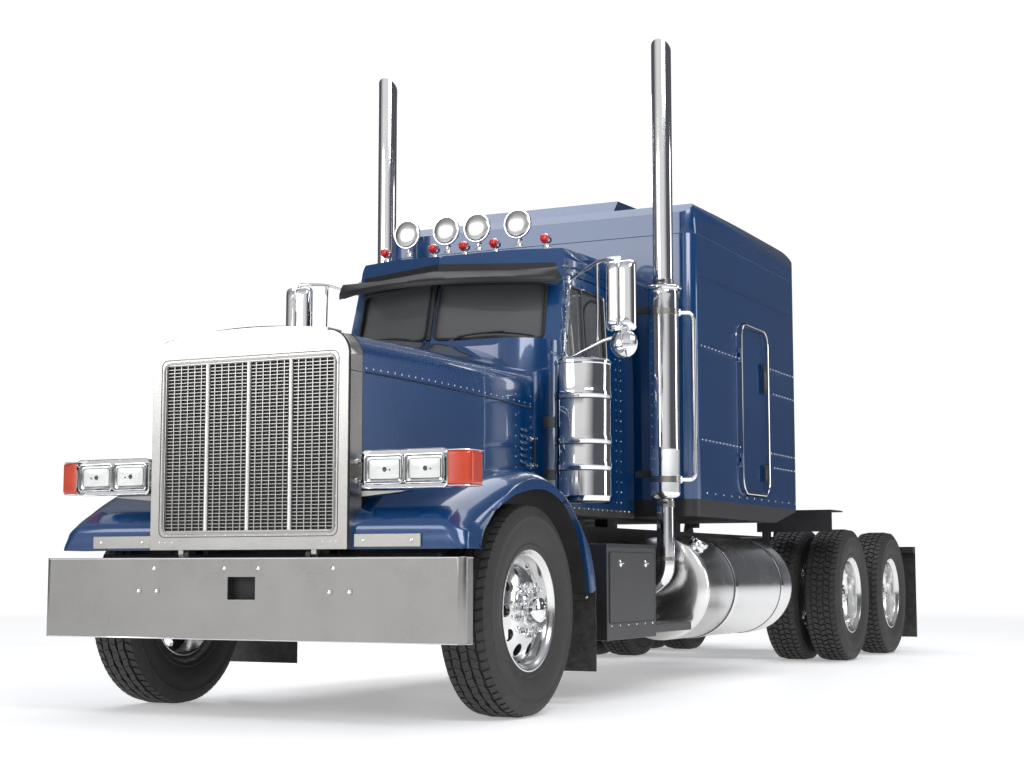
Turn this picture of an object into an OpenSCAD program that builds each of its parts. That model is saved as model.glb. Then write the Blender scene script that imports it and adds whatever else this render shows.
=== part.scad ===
// Conventional tractor unit: long bonnet, sleeper cab, twin stacks and tandem drive axles.
// Millimetres, +Z up, front towards -Y, driver's side towards +X.
// Modules are drawn with Y = 0 at the front axle; place() moves them to the shared frame,
// whose origin is on the ground, on the centreline, midway along the vehicle.

/* [Overall] */
// Front axle to the middle of the tandem
wheelbase = 6630; // [6000:10:8200]
// Front axle to the bumper's face
front_overhang = 820; // [780:5:1050]
// Middle of the tandem to the back of the rear flaps
rear_overhang = 1600; // [1350:10:2200]
// Distance between the two drive axles
tandem_spread = 1320; // [1220:5:1600]

/* [Wheels and tyres] */
// Tyre radius
tyre_r = 525; // [480:1:560]
// Tyre width
tyre_w = 280; // [220:1:300]
// Radius of the rim's flange
rim_r = 305; // [270:1:330]
// Inner radius of the rim's barrel
barrel_r = 268; // [240:1:285]
// Outer face of the steer tyres from the centreline
steer_face = 1174; // [1100:1:1215]
// Outer face of the outer drive tyres from the centreline
drive_face = 1219; // [1150:1:1219]
// Centre distance of the twin tyres
twin_pitch = 340; // [310:1:360]
// Wheel stud circle radius
stud_circle_r = 142.5; // [130:0.5:150]
// Steer wheel disc's face outside the tyre's middle
steer_dish = 120; // [110:1:124]

/* [Steering] */
// Kingpin axis from the centreline
kingpin_x = 860; // [780:1:880]
// Kingpin radius
kingpin_r = 24; // [18:1:30]
// Running clearance on the kingpin
kingpin_gap = 0.5; // [0.3:0.1:1]
// Steering arm from the kingpin to the tie rod
steer_arm = 200; // [150:1:215]
// Tie rod radius
tie_rod_r = 19; // [14:1:26]
// Steering wheel rim radius
steering_wheel_r = 225; // [180:1:250]
// Steering wheel rake from upright
steering_rake = 62; // [45:1:75]

/* [Frame] */
// Width over the frame rails
frame_w = 860; // [800:5:900]
// Frame rail height
rail_h = 270; // [220:5:300]
// Top of the frame rails above the ground
rail_top = 1000; // [960:5:1040]
// Frame rail flange width
rail_flange = 89; // [70:1:100]
// Frame rail metal
rail_t = 10; // [8:1:14]
// Number of crossmembers
crossmember_count = 5; // [3:1:7]

/* [Bumper] */
// Width over the bumper
bumper_w = 2420; // [2200:10:2440]
// Lower edge of the bumper
bumper_low = 385; // [340:1:420]
// Upper edge of the bumper
bumper_high = 782; // [740:1:785]
// Bumper metal
bumper_t = 6; // [4:1:10]
// Bend radius at the bumper's ends
bumper_bend_r = 36; // [20:1:60]
// Length of the returns behind the bumper's face
bumper_return = 90; // [60:1:120]
// Width of the tow eye opening
tow_hole_w = 158; // [100:1:200]
// Height of the tow eye opening
tow_hole_h = 108; // [80:1:140]
// Middle of the tow eye opening
tow_hole_z = 634; // [560:1:690]

/* [Grille] */
// Half width of the grille surround
shell_half_w = 573; // [520:1:600]
// Lower edge of the grille surround
shell_low = 819; // [805:1:860]
// Top of the grille surround at its middle
shell_high = 1905; // [1800:1:1950]
// Depth of the grille surround
shell_d = 130; // [90:1:160]
// Surround's face behind the bumper's face
shell_setback = 31; // [25:1:80]
// Corner radius at the top of the surround
shell_corner_r = 120; // [60:1:160]
// Radius of the surround's crowned top
shell_crown_r = 4200; // [3000:50:8000]
// Half width of the mesh opening
mesh_half_w = 490; // [430:1:510]
// Lower edge of the mesh opening
mesh_low = 912; // [880:1:960]
// Upper edge of the mesh opening
mesh_high = 1736; // [1600:1:1760]
// Surround's metal
shell_t = 12; // [8:1:20]
// Wide bars in the mesh
mesh_bars = 3; // [1:1:5]
// Width of each wide bar
mesh_bar_w = 22; // [12:1:30]

/* [Bonnet] */
// Rear edge of the bonnet from the front axle
hood_rear = 1008; // [900:1:1008]
// Half width at the bonnet's rear edge
hood_rear_half_w = 700; // [640:1:712]
// Top of the bonnet's rear edge
hood_rear_high = 2040; // [1950:1:2045]
// Height of the bonnet's shoulders
hood_shoulder = 1868; // [1780:1:1875]
// Bonnet skin
hood_t = 12; // [8:1:25]
// Lower edge of the bonnet's sides
hood_low = 1120; // [1080:1:1180]
// Edge radius along the bonnet's shoulders
hood_edge_r = 62; // [40:1:100]
// Bonnet hinge axis behind the bumper's face
hood_hinge_back = 50; // [40:1:70]
// Bonnet hinge axis height
hood_hinge_z = 800; // [790:1:805]

/* [Fenders] */
// Outer face of the fenders from the centreline
fender_x = 1188; // [1150:1:1210]
// Radius of the fender's outer curve
fender_r = 748; // [735:1:770]
// Middle of the outer curve behind the axle
fender_y = 66; // [50:1:80]
// Middle of the outer curve above the ground
fender_z = 478; // [440:1:500]
// Radius of the wheel opening
arch_r = 682; // [660:1:690]
// Middle of the wheel opening behind the axle
arch_y = 50; // [30:1:70]
// Middle of the wheel opening above the ground
arch_z = 500; // [480:1:530]
// Lower front edge of the fender
fender_low = 819; // [805:1:860]
// Lower rear edge of the fender
fender_rear_low = 612; // [590:1:680]
// Inner splash wall from the centreline
splash_x = 560; // [540:1:562]
// Splash wall thickness
splash_t = 15; // [8:1:18]

/* [Cab] */
// Half width of the cab at the belt line
cab_half_w = 728; // [718:1:745]
// Half width of the cab at the drip rail
cab_top_half_w = 700; // [690:1:712]
// Front of the cab from the front axle
cab_front = 1022; // [1018:1:1040]
// Cab length
cab_len = 1428; // [1380:1:1470]
// Underside of the cab
cab_low = 1045; // [1030:1:1080]
// Belt line
cab_belt = 1960; // [1900:1:1980]
// Top of the cowl, where the windscreen starts
screen_low = 2050; // [2046:1:2070]
// Windscreen's middle at the cowl, behind the cab's front
screen_back = 14; // [8:1:40]
// Half width of the windscreen
screen_half_w = 630; // [560:1:636]
// Top of the windscreen's glass
screen_high = 2410; // [2350:1:2440]
// Angle that each windscreen half is swept back
screen_sweep = 21; // [10:1:21]
// Rake of the windscreen
screen_rake = 14.5; // [8:0.5:20]
// Drip rail, where roof and walls meet
cab_drip = 2500; // [2470:1:2530]
// Top of the roof at its back
cab_high = 2680; // [2640:1:2720]
// Cab wall and door thickness
cab_wall = 46; // [36:1:60]
// Plan radius of the cab's front corners
cab_corner_r = 300; // [240:1:310]
// Windscreen glass
glass_t = 8; // [5:1:12]

/* [Doors] */
// Front edge of the door
door_front = 1334; // [1332:1:1345]
// Door width
door_w = 740; // [680:1:790]
// Lower edge of the door
door_low = 1130; // [1100:1:1180]
// Upper edge of the door
door_high = 2470; // [2400:1:2480]
// Gap around the doors
door_gap = 6; // [5:0.5:8]
// Extra gap behind the doors, where their leaning tops swing out
door_rear_gap = 5; // [4:0.5:8]
// Frame around the door's window
door_rail = 62; // [45:1:90]

/* [Sleeper] */
// Front of the sleeper from the front axle
sleeper_front = 2520; // [2500:1:2560]
// Sleeper length
sleeper_len = 2265; // [1900:5:2300]
// Sleeper half width
sleeper_half_w = 1120; // [1050:1:1150]
// Underside of the sleeper
sleeper_low = 1060; // [1045:1:1100]
// Roof height at the front
sleeper_front_high = 3080; // [2800:5:3150]
// Roof height at the back
sleeper_rear_high = 3155; // [2850:5:3300]
// Edge radius of the sleeper's roof
sleeper_edge_r = 170; // [100:5:220]
// Sleeper wall and door thickness
sleeper_wall = 50; // [40:1:70]
// Luggage door's front edge behind the sleeper's front
hatch_back = 900; // [500:5:1100]
// Luggage door width
hatch_w = 590; // [400:5:650]
// Lower edge of the luggage door
hatch_low = 1235; // [1180:5:1400]
// Upper edge of the luggage door
hatch_high = 2412; // [1900:5:2450]
// Corner radius of the luggage door
hatch_r = 110; // [60:5:160]

/* [Exhausts] */
// Stack axis from the centreline
stack_x = 1005; // [995:1:1040]
// Stack axis from the front axle
stack_y = 2277; // [2240:1:2320]
// Stack radius
stack_r = 63.5; // [50:0.5:76]
// Top of the stacks
stack_high = 4084; // [3600:1:4200]
// Silencer radius
silencer_r = 95; // [85:1:98]
// Lower end of the silencers
silencer_low = 1157; // [1100:1:1250]
// Upper end of the silencers
silencer_high = 2513; // [2300:1:2700]

/* [Tanks and steps] */
// Fuel tank radius
tank_r = 328; // [280:1:330]
// Fuel tank axis from the centreline
tank_x = 880; // [800:1:885]
// Fuel tank axis above the ground
tank_z = 610; // [590:1:640]
// Front end of the fuel tanks
tank_front = 2440; // [2400:5:2600]
// Fuel tank length
tank_len = 1880; // [1400:10:1980]
// Front face of the step box
step_front = 1040; // [1000:5:1100]
// Length of the step box
step_len = 740; // [600:5:780]
// Lower edge of the step box
step_low = 335; // [300:5:400]
// Upper edge of the step box
step_high = 865; // [800:5:900]
// Air cleaner radius
cleaner_r = 162; // [140:1:163]
// Air cleaner axis from the centreline
cleaner_x = 945; // [940:1:1000]
// Air cleaner axis from the front axle
cleaner_y = 1140; // [1060:1:1142]
// Lower end of the air cleaners
cleaner_low = 1098; // [1060:1:1150]
// Upper end of the air cleaners
cleaner_high = 1886; // [1700:1:1890]

/* [Fifth wheel] */
// Height of the fifth wheel's top plate
fifth_high = 1215; // [1180:5:1260]
// Kingpin lock bore radius
lock_r = 25.8; // [25.5:0.1:27]
// Fifth wheel ahead of the tandem's middle
fifth_ahead = 60; // [0:5:300]
// Top plate thickness
fifth_t = 45; // [35:1:60]
// Half width of the top plate
fifth_half_w = 455; // [420:5:480]

/* [Hidden] */
$fn = 64;
overall_len = front_overhang + wheelbase + rear_overhang;
front_axle_y = front_overhang - overall_len / 2;
bumper_face = -front_overhang;
shell_front = bumper_face + shell_setback;
shell_rear = shell_front + shell_d;
hinge_y = bumper_face + hood_hinge_back;
rear_end = wheelbase + rear_overhang;
drive_y = [wheelbase - tandem_spread / 2, wheelbase + tandem_spread / 2];
steer_x = steer_face - tyre_w / 2;
rail_in = frame_w / 2;
rail_low = rail_top - rail_h;
cab_rear = cab_front + cab_len;
door_rear = door_front + door_w;
door_in = cab_top_half_w - cab_wall - 8;
sleeper_rear = sleeper_front + sleeper_len;
hatch_front = sleeper_front + hatch_back;
roof_step = 88;
fifth_y = wheelbase - fifth_ahead;
knuckle_gap = 2;
seat_gap = 0.3;
sides = [1, -1];

// ---- helpers -------------------------------------------------------------------------------

// Moves a piece from front-axle coordinates to the shared frame.
module place() { translate([0, front_axle_y, 0]) children(); }

// Both sides of the vehicle.
module each_side() { for (s = sides) scale_x(s) children(); }

// The driver's side (1) as drawn, or the other side (-1) mirrored.
module scale_x(s) {
  if (s > 0) children();
  else mirror([1, 0, 0]) children();
}

// A block given by its low and high corners.
module block(a, b) { translate(a) cube(b - a); }

// A bar of radius r along X, Y or Z from point p.
module bar_x(p, len, r) { translate(p) rotate([0, 90, 0]) cylinder(h = len, r = r); }
module bar_y(p, len, r) { translate(p) rotate([-90, 0, 0]) cylinder(h = len, r = r); }
module bar_z(p, len, r) { translate(p) cylinder(h = len, r = r); }

// A rectangle with round corners, from its low corner, w by h.
module round_rect(w, h, r) {
  translate([r, 0]) square([w - 2 * r, h]);
  translate([0, r]) square([w, h - 2 * r]);
  for (x = [r, w - r], y = [r, h - r]) translate([x, y]) circle(r);
}

// Extrudes a profile drawn in (Y, Z) along X, between x0 and x1.
module along_x(x0, x1) {
  translate([x0, 0, 0]) rotate([90, 0, 90]) linear_extrude(x1 - x0) children();
}

// Extrudes a profile drawn in (X, Z) along Y, between y0 and y1.
module along_y(y0, y1) {
  translate([0, y1, 0]) rotate([90, 0, 0]) linear_extrude(y1 - y0) children();
}

// Extrudes a profile drawn in (X, Y) along Z, between z0 and z1.
module along_z(z0, z1) { translate([0, 0, z0]) linear_extrude(z1 - z0) children(); }

// A solid of revolution about an X axis; its profile is drawn as (radius, distance outwards).
module turned_x(p) { translate(p) rotate([90, 0, 90]) rotate_extrude() children(); }

// ---- frame and running gear ----------------------------------------------------------------

rail_front = shell_rear + 40;
rail_rear = rear_end - 60;

// One C-section rail, open towards the centreline.
module rail() {
  along_y(rail_front, rail_rear) difference() {
    translate([rail_in - rail_flange, rail_low]) square([rail_flange, rail_h]);
    translate([rail_in - rail_flange - 1, rail_low + rail_t])
      square([rail_flange + 1 - rail_t, rail_h - 2 * rail_t]);
  }
}

// Bracket that carries the bumper below and ahead of the rail's front end.
module bumper_bracket() {
  bracket_high = bumper_high - 30;
  block([rail_in - rail_flange, bumper_face + bumper_t, bumper_low + 60],
        [rail_in - rail_flange + 30, rail_front + 120, bracket_high]);
  block([rail_in - rail_flange, rail_front, bracket_high - 10],
        [rail_in - rail_flange + 30, rail_front + 120, rail_top - 60]);
  along_x(rail_in - rail_flange, hinge_lug_x - hinge_side_gap) hinge_ear(bracket_high - 20);
  bar_x([rail_in - rail_flange + 5, hinge_y, hood_hinge_z], hinge_lug_x + 30 - rail_in + rail_flange, 6);
}

hinge_side_gap = 5;
hinge_lug_x = rail_in - 58;

// Round-topped ear on the bonnet's hinge axis, standing on height z.
module hinge_ear(z) {
  translate([hinge_y - 14, z]) square([28, hood_hinge_z - z]);
  translate([hinge_y, hood_hinge_z]) circle(14);
}

// Pads on the rails that carry the cab and the sleeper.
module body_mounts() {
  for (y = [cab_front + 160, cab_rear - 200])
    block([rail_in - rail_flange, y, rail_top - 1], [rail_in, y + 90, cab_low - seat_gap]);
  for (y = [sleeper_front + 200, sleeper_rear - 800])
    block([rail_in - rail_flange, y, rail_top - 1], [rail_in, y + 110, sleeper_low - seat_gap]);
}

// Foot on the rail with the pin that carries the fifth wheel's lug.
module fifth_wheel_foot() {
  pivot_z = fifth_high - pivot_drop;
  along_x(lug_out + 5, lug_out + 45) polygon([
    [fifth_y - 100, rail_top - 1], [fifth_y + 100, rail_top - 1], [fifth_y + 36, pivot_z + 26],
    [fifth_y - 36, pivot_z + 26]]);
  bar_x([lug_out - 62, fifth_y, pivot_z], 100, pivot_r);
}

module crossmembers() {
  first = gearbox_rear + 170;
  pitch = (rail_rear - 200 - first) / (crossmember_count - 1);
  web = 12;
  for (i = [0 : crossmember_count - 1]) translate([0, first + i * pitch, 0])
    block([-rail_in + rail_t, 0, rail_low + 60], [rail_in - rail_t, web * 5, rail_top - 60]);
  block([-rail_in + rail_t, rail_front + 130, rail_low + 20],
        [rail_in - rail_t, rail_front + 190, rail_low + 120]);
}

module chassis_frame() {
  color("#17181a") {
    each_side() { rail(); bumper_bracket(); body_mounts(); fifth_wheel_foot(); }
    crossmembers();
  }
}

module front_bumper() {
  color("#b9bab8") difference() {
    along_z(bumper_low, bumper_high) difference() {
      bumper_plan(bumper_w / 2, bumper_face, bumper_bend_r);
      bumper_plan(bumper_w / 2 - bumper_t, bumper_face + bumper_t, bumper_bend_r - bumper_t);
    }
    block([-tow_hole_w / 2, bumper_face - 1, tow_hole_z - tow_hole_h / 2],
          [tow_hole_w / 2, bumper_face + bumper_t + 1, tow_hole_z + tow_hole_h / 2]);
  }
}

// Plan of the bumper: a bar with round front corners, ending at the returns' back edge.
module bumper_plan(half, face, r) {
  back = bumper_face + bumper_return;
  translate([-half + r, face]) square([2 * (half - r), back - face + (face > bumper_face ? 1 : 0)]);
  translate([-half, face + r]) square([2 * half, back - face - r + (face > bumper_face ? 1 : 0)]);
  for (s = sides) translate([s * (half - r), face + r]) circle(r);
}

boss_r = 46;
boss_low = tyre_r - 68;
boss_high = tyre_r + 68;
beam_z = [tyre_r - 110, tyre_r - 15];

module front_axle() {
  color("#1b1c1e") difference() {
    union() {
      block([-620, -45, beam_z[0]], [620, 45, beam_z[1]]);
      each_side() {
        along_y(-45, 45) polygon([[600, beam_z[0]], [700, beam_z[0] + 40], [kingpin_x, boss_low + 5],
                                  [kingpin_x, boss_high - 5], [720, boss_high - 30],
                                  [600, beam_z[1]]]);
        bar_z([kingpin_x, 0, boss_low], boss_high - boss_low, boss_r);
      }
    }
    each_side() bar_z([kingpin_x, 0, boss_low - 1], boss_high - boss_low + 2, kingpin_r + kingpin_gap);
  }
}

spring_x = 470;
spring_w = 76;

// Front leaf packs on the axle beam, and the rear walking beams on their trunnion.
module suspension() {
  color("#202123") {
    each_side() {
      block([spring_x - spring_w / 2, -560, beam_z[1] + 55], [spring_x + spring_w / 2, 640, beam_z[1] + 85]);
      block([spring_x - spring_w / 2, -330, beam_z[1] + 25], [spring_x + spring_w / 2, 330, beam_z[1] + 55]);
      block([spring_x - spring_w / 2, -110, beam_z[1]], [spring_x + spring_w / 2, 110, beam_z[1] + 25]);
      block([rail_in, -560, beam_z[1] + 85], [spring_x + spring_w / 2, -480, rail_low + 120]);
      block([rail_in, 560, beam_z[1] + 85], [spring_x + spring_w / 2, 640, rail_low + 120]);
    }
    each_side() {
      along_x(rail_in + 10, rail_in + 90) polygon([
        [drive_y[0] - 60, tyre_r + 90], [drive_y[0] + 60, tyre_r + 90],
        [wheelbase - 150, tyre_r + 60], [wheelbase + 150, tyre_r + 60],
        [drive_y[1] - 60, tyre_r + 90], [drive_y[1] + 60, tyre_r + 90],
        [drive_y[1] + 60, tyre_r + 170], [wheelbase + 170, tyre_r + 190],
        [wheelbase - 170, tyre_r + 190], [drive_y[0] - 60, tyre_r + 170]]);
      block([rail_in, wheelbase - 130, tyre_r + 190], [rail_in + 90, wheelbase + 130, rail_low + 180]);
    }
  }
}

housing_r = 85;
bowl_r = 215;
drive_disc_x = drive_face - tyre_w / 2 - twin_pitch / 2;

module drive_axles() {
  color("#1b1c1e") for (y = drive_y) translate([0, y, tyre_r]) {
    bar_x([-drive_disc_x + 90, 0, 0], 2 * (drive_disc_x - 90), housing_r);
    rotate([90, 0, 0]) translate([0, 0, -140]) cylinder(h = 320, r = bowl_r);
    each_side() block([rail_in + 12, -55, -housing_r - 5], [rail_in + 88, 55, housing_r + 5]);
  }
}

shaft_r = 45;
gearbox_rear = 2250;

module driveshafts() {
  color("#2a2b2d") {
    difference() {
      union() {
        bar_y([0, gearbox_rear, tyre_r + 190], 900, shaft_r);
        translate([0, gearbox_rear + 900, tyre_r + 190]) {
          cylinder_between([0, 0, 0], [0, drive_y[0] - 170 - gearbox_rear - 900, -190], shaft_r);
          sphere(r = shaft_r + 22);
        }
      }
      block([-100, drive_y[0] - 180 - seat_gap, tyre_r - 100], [100, drive_y[0], tyre_r + 100]);
    }
    bar_y([0, drive_y[0] + 140, tyre_r], tandem_spread - 320, shaft_r);
  }
}

// A round bar between two points in the plane x = 0.
module cylinder_between(a, b, r) {
  run = b - a;
  translate(a) rotate([-90 + atan2(run[2], run[1]), 0, 0]) cylinder(h = norm(run), r = r);
}

// Engine and gearbox as plain masses at their real place and size.
module engine_block() {
  color("#3a3b3d") {
    block([-300, -420, rail_low - 60], [300, 840, 1640]);
    for (y = [-250, 560]) block([-rail_in + rail_t + seat_gap, y, rail_low + 60],
                                [rail_in - rail_t - seat_gap, y + 110, rail_low + 120]);
    block([-230, 840, rail_low - 20], [230, gearbox_rear, rail_top - 10]);
  }
}

radiator_front = shell_rear + 45;

module radiator() {
  color("#0f1011") {
    block([-430, radiator_front, rail_top + seat_gap], [430, radiator_front + 110, mesh_high + 20]);
    block([-300, radiator_front, rail_low + 130], [300, radiator_front + 110, rail_top + 10]);
  }
}

// ---- cab -----------------------------------------------------------------------------------

// Side outline of the cab, shrunk by s on every edge.
module cab_side(s) {
  polygon([[cab_front + s, cab_low + s], [cab_rear - s, cab_low + s],
           [cab_rear - s, cab_high - s], [cab_front + 330, cab_high - 55 - s],
           [cab_front + 170 + s / 2, cab_drip + 90 - s], [cab_front + 90 + s, cab_drip],
           [cab_front + 10 + s, screen_low - s], [cab_front + s, screen_low - 40]]);
}

// Front outline of the cab, shrunk by s.
module cab_face(s) {
  roof_r = 110 - s;
  bottom = cab_half_w - s;
  top = cab_top_half_w - s;
  polygon([[-bottom, cab_low + s], [bottom, cab_low + s], [bottom, cab_belt], [top, cab_drip],
           [-top, cab_drip], [-bottom, cab_belt]]);
  translate([-top, cab_drip - 1]) square([2 * top, cab_high - s - roof_r - cab_drip + 1]);
  translate([-top + roof_r, cab_drip - 1]) square([2 * (top - roof_r), cab_high - s - cab_drip + 1]);
  for (e = sides) translate([e * (top - roof_r), cab_high - s - roof_r]) circle(roof_r);
}

// Plan of the cab with its round front corners, shrunk by s.
module cab_plan(s) {
  r = cab_corner_r - s;
  half = cab_half_w - s;
  translate([-half + r, cab_front + s]) square([2 * (half - r), cab_len - 2 * s]);
  translate([-half, cab_front + s + r]) square([2 * half, cab_len - 2 * s - r]);
  for (e = sides) translate([e * (half - r), cab_front + s + r]) circle(r);
}

// What the two swept halves of the windscreen cut away above the cowl.
module screen_cut(s) {
  intersection() {
    union() for (e = sides)
      translate([0, cab_front + screen_back, screen_low])
        rotate([0, 0, e * screen_sweep]) rotate([-screen_rake, 0, 0])
          translate([-1500, -1500 + s, -600]) cube([3000, 1500, 1600]);
    block([-1200, cab_front - 400, screen_low - s], [1200, cab_rear, cab_high + 100]);
  }
}

module cab_solid(s) {
  difference() {
    intersection() {
      along_x(-cab_half_w - 1, cab_half_w + 1) cab_side(s);
      along_y(cab_front - 1, cab_rear + 1) cab_face(s);
      along_z(cab_low - 1, cab_high + 1) cab_plan(s);
    }
    screen_cut(s);
  }
}

module cab_shell() {
  difference() { cab_solid(0); cab_solid(cab_wall); }
}

pillar_foot = screen_low - 100;

// Where an edge that leans back with the windscreen, at y over the belt line, lies at height z.
function leaning(y, z) = y + (z - pillar_foot) * tan(screen_rake);

// Side outline of the door, whose front edge leans back above the belt; g widens every edge.
module door_outline(g) {
  intersection() {
    translate([door_front - g, door_low - g])
      round_rect(door_w + 2 * g, door_high - door_low + 2 * g, 60 + g);
    polygon([[door_front - g, door_low - g], [door_rear + g, door_low - g],
             [door_rear + g, door_high + g], [leaning(door_front, door_high) - g, door_high + g],
             [door_front - g, pillar_foot]]);
  }
}

// The windscreen's two openings, side by side.
module screen_opening(g) {
  for (s = sides)
    along_y(cab_front - 5, cab_front + 600) scale_x2(s)
      translate([26 - g, screen_low + 18 - g])
        round_rect(screen_half_w - 26 + 2 * g, screen_high - screen_low - 18 + 2 * g, 45 + g);
}

// A flat profile, mirrored for side -1.
module scale_x2(s) {
  if (s > 0) children();
  else mirror([1, 0]) children();
}

walk_half_w = 400;
walk_low = cab_low + cab_wall + 60;
walk_high = 2320;

// Passage between cab and sleeper, through both walls.
module walk_through() {
  along_y(cab_rear - cab_wall - 1, sleeper_front + sleeper_wall + 1)
    translate([-walk_half_w, walk_low])
      round_rect(2 * walk_half_w, walk_high - walk_low, 80);
}

module cab_floor() {
  color("#1f3f8f") intersection() {
    cab_shell();
    block([-cab_half_w, cab_front, cab_low], [cab_half_w, cab_rear, cab_low + cab_wall]);
  }
}

module cab_walls() {
  color("#1f3f8f") difference() {
    intersection() {
      cab_shell();
      block([-cab_half_w, cab_front, cab_low + cab_wall], [cab_half_w, cab_rear, cab_drip]);
    }
    each_side() along_x(door_in, cab_half_w + 1) {
      door_outline(door_gap);
      translate([door_rear_gap, 0]) door_outline(door_gap);
    }
    screen_opening(0);
    walk_through();
  }
  color("#1f3f8f") each_side()
    for (z = door_hinge_z) hinge_frame_half(cab_half_w, door_front, z);
}

hinge_r = 9;
hinge_pin_r = 5.5;
hinge_proud = 10;
door_hinge_z = [1290, 1790];

// Frame half of a hinge before edge y of a door whose face is at x: two barrels and the pin.
module hinge_frame_half(x, y, z) {
  axis_y = y - door_gap / 2;
  bar_z([x + hinge_proud, axis_y, z - 45], 90, hinge_pin_r);
  for (low = [z - 45, z + 17]) {
    bar_z([x + hinge_proud, axis_y, low], 28, hinge_r);
    block([x - 12, axis_y - 40, low], [x + hinge_proud, axis_y - door_gap / 2 - 1, low + 28]);
    block([x + hinge_proud - hinge_r, axis_y - 40, low], [x + hinge_proud, axis_y, low + 28]);
  }
}

// Door half of the same hinge: the middle barrel, bored for the pin.
module hinge_door_half(x, y, z) {
  axis_y = y - door_gap / 2;
  difference() {
    union() {
      bar_z([x + hinge_proud, axis_y, z - 15], 30, hinge_r);
      block([x - 12, y + 1, z - 15], [x + hinge_proud, y + 40, z + 15]);
      block([x + hinge_proud - hinge_r, axis_y, z - 15], [x + hinge_proud, y + 40, z + 15]);
    }
    bar_z([x + hinge_proud, axis_y, z - 16], 32, hinge_pin_r + 0.05);
  }
}

module cab_roof() {
  color("#1f3f8f") intersection() {
    cab_shell();
    block([-cab_half_w, cab_front, cab_drip], [cab_half_w, cab_rear, cab_high]);
  }
}

// Panes follow the windscreen's slope, in the middle of the wall.
module windscreen() {
  inset = cab_wall / 2;
  color("#9aa3ab") intersection() {
    difference() { cab_solid(inset - glass_t / 2); cab_solid(inset + glass_t / 2); }
    screen_opening(0);
  }
}

column_top = [0, cab_front + 430, 1835];
column_x = 390;

module dashboard() {
  dash_low = 1480;
  dash_high = 1985;
  color("#141516") {
    intersection() {
      along_x(-cab_half_w, cab_half_w) polygon([
        [cab_front, dash_low], [cab_front + 200, dash_low], [cab_front + 300, dash_low + 200],
        [cab_front + 300, dash_high - 120], [cab_front + 200, dash_high], [cab_front, dash_high]]);
      cab_solid(cab_wall + seat_gap);
    }
    translate([column_x, column_top[1], column_top[2]])
      rotate([180 - steering_rake, 0, 0]) translate([0, 0, 12 + seat_gap]) cylinder(h = 175, r = 34);
  }
}

// One air-ride seat: pedestal, cushion and back as a closed outline.
module seat() {
  half = 230;
  front = cab_front + 590;
  floor_z = cab_low + cab_wall;
  along_x(-half, half) polygon([
    [front + 120, floor_z], [front + 420, floor_z], [front + 420, floor_z + 330],
    [front + 560, floor_z + 340], [front + 690, 2150], [front + 640, 2230], [front + 560, 2220],
    [front + 430, floor_z + 520], [front + 30, floor_z + 500], [front, floor_z + 440],
    [front + 30, floor_z + 340], [front + 120, floor_z + 330]]);
}

module seats() {
  color("#26272a") for (x = [-column_x, column_x]) translate([x, 0, 0]) seat();
}

visor_half_w = 735;
visor_r = 1190;
visor_front = cab_front - 22;

// Drooping visor that fits round the roof's front and overhangs the windscreen.
module sun_visor() {
  root = cab_front + 420;
  root_z = cab_drip + 36;
  tip_z = root_z - 44;
  color("#0c0c0d") difference() {
    intersection() {
      along_x(-visor_half_w, visor_half_w) polygon([
        [root, root_z], [visor_front + 24, tip_z], [visor_front, tip_z - 30],
        [visor_front + 10, tip_z - 34], [visor_front + 34, tip_z - 12], [root, root_z - 12]]);
      along_z(tip_z - 100, root_z + 10) translate([0, visor_front + visor_r])
        circle(r = visor_r, $fn = 360);
    }
    cab_solid(-seat_gap);
    block([-visor_half_w - 1, root - 160, 0], [visor_half_w + 1, root + 1, root_z + 1]);
  }
}

lamp_y = cab_front + 440;
lamp_r = 90;
disc_x = [-382, -107, 107, 382];
marker_x = [-553, -211, 0, 211, 553];

// Four chrome disc lamps on stems and five bullet markers on the roof.
module roof_lamps() {
  disc_z = cab_high + 122;
  marker_z = cab_high + 22;
  color("#c8c9ca") difference() {
    union() {
      for (x = disc_x) translate([x, lamp_y, 0]) {
        bar_z([0, 0, cab_high - 90], disc_z - lamp_r - cab_high + 100, 14);
        bar_y([0, -32, disc_z], 64, lamp_r);
      }
      for (x = marker_x) translate([x, lamp_y + 15, 0]) {
        bar_z([0, 0, cab_high - 90], 100, 22);
        bar_y([0, -62, marker_z], 124, 31);
      }
    }
    cab_solid(-seat_gap);
  }
}

module air_cleaners() {
  r = cleaner_r;
  color("#c8c9ca") each_side() translate([cleaner_x, cleaner_y, 0]) {
    bar_z([0, 0, cleaner_low], cleaner_high - cleaner_low, r);
    bar_z([0, 0, cleaner_high], 30, r - 40);
    translate([0, 0, 1560]) bracket_to_cab();
    translate([0, 0, 1260]) bracket_to_cab();
  }
}

// Flat bracket from an air cleaner's back to the cab's round front corner.
module bracket_to_cab() {
  corner = [cab_half_w - cab_corner_r - cleaner_x, cab_front + cab_corner_r - cleaner_y];
  run = norm(corner);
  reach = run - cab_corner_r;
  rotate([0, 0, atan2(corner[1], corner[0])])
    difference() {
      translate([cleaner_r - 12, -30, 0]) cube([reach - cleaner_r + 30, 60, 10]);
      translate([run, 0, -1]) cylinder(h = 12, r = cab_corner_r + seat_gap);
    }
}

// ---- sleeper -------------------------------------------------------------------------------

module sleeper_side(s) {
  r = 260 - s;
  high = sleeper_rear_high - s;
  polygon([[sleeper_front + s, sleeper_low + s], [sleeper_rear - 580, sleeper_low + s],
           [sleeper_rear - s, sleeper_low + 108 + s / 2], [sleeper_rear - s, high - r],
           [sleeper_rear - s - r, high], [sleeper_front + 60 + s, sleeper_front_high - s],
           [sleeper_front + s, sleeper_front_high - 60 - s]]);
  translate([sleeper_rear - s - r, high - r]) circle(r);
}

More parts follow.
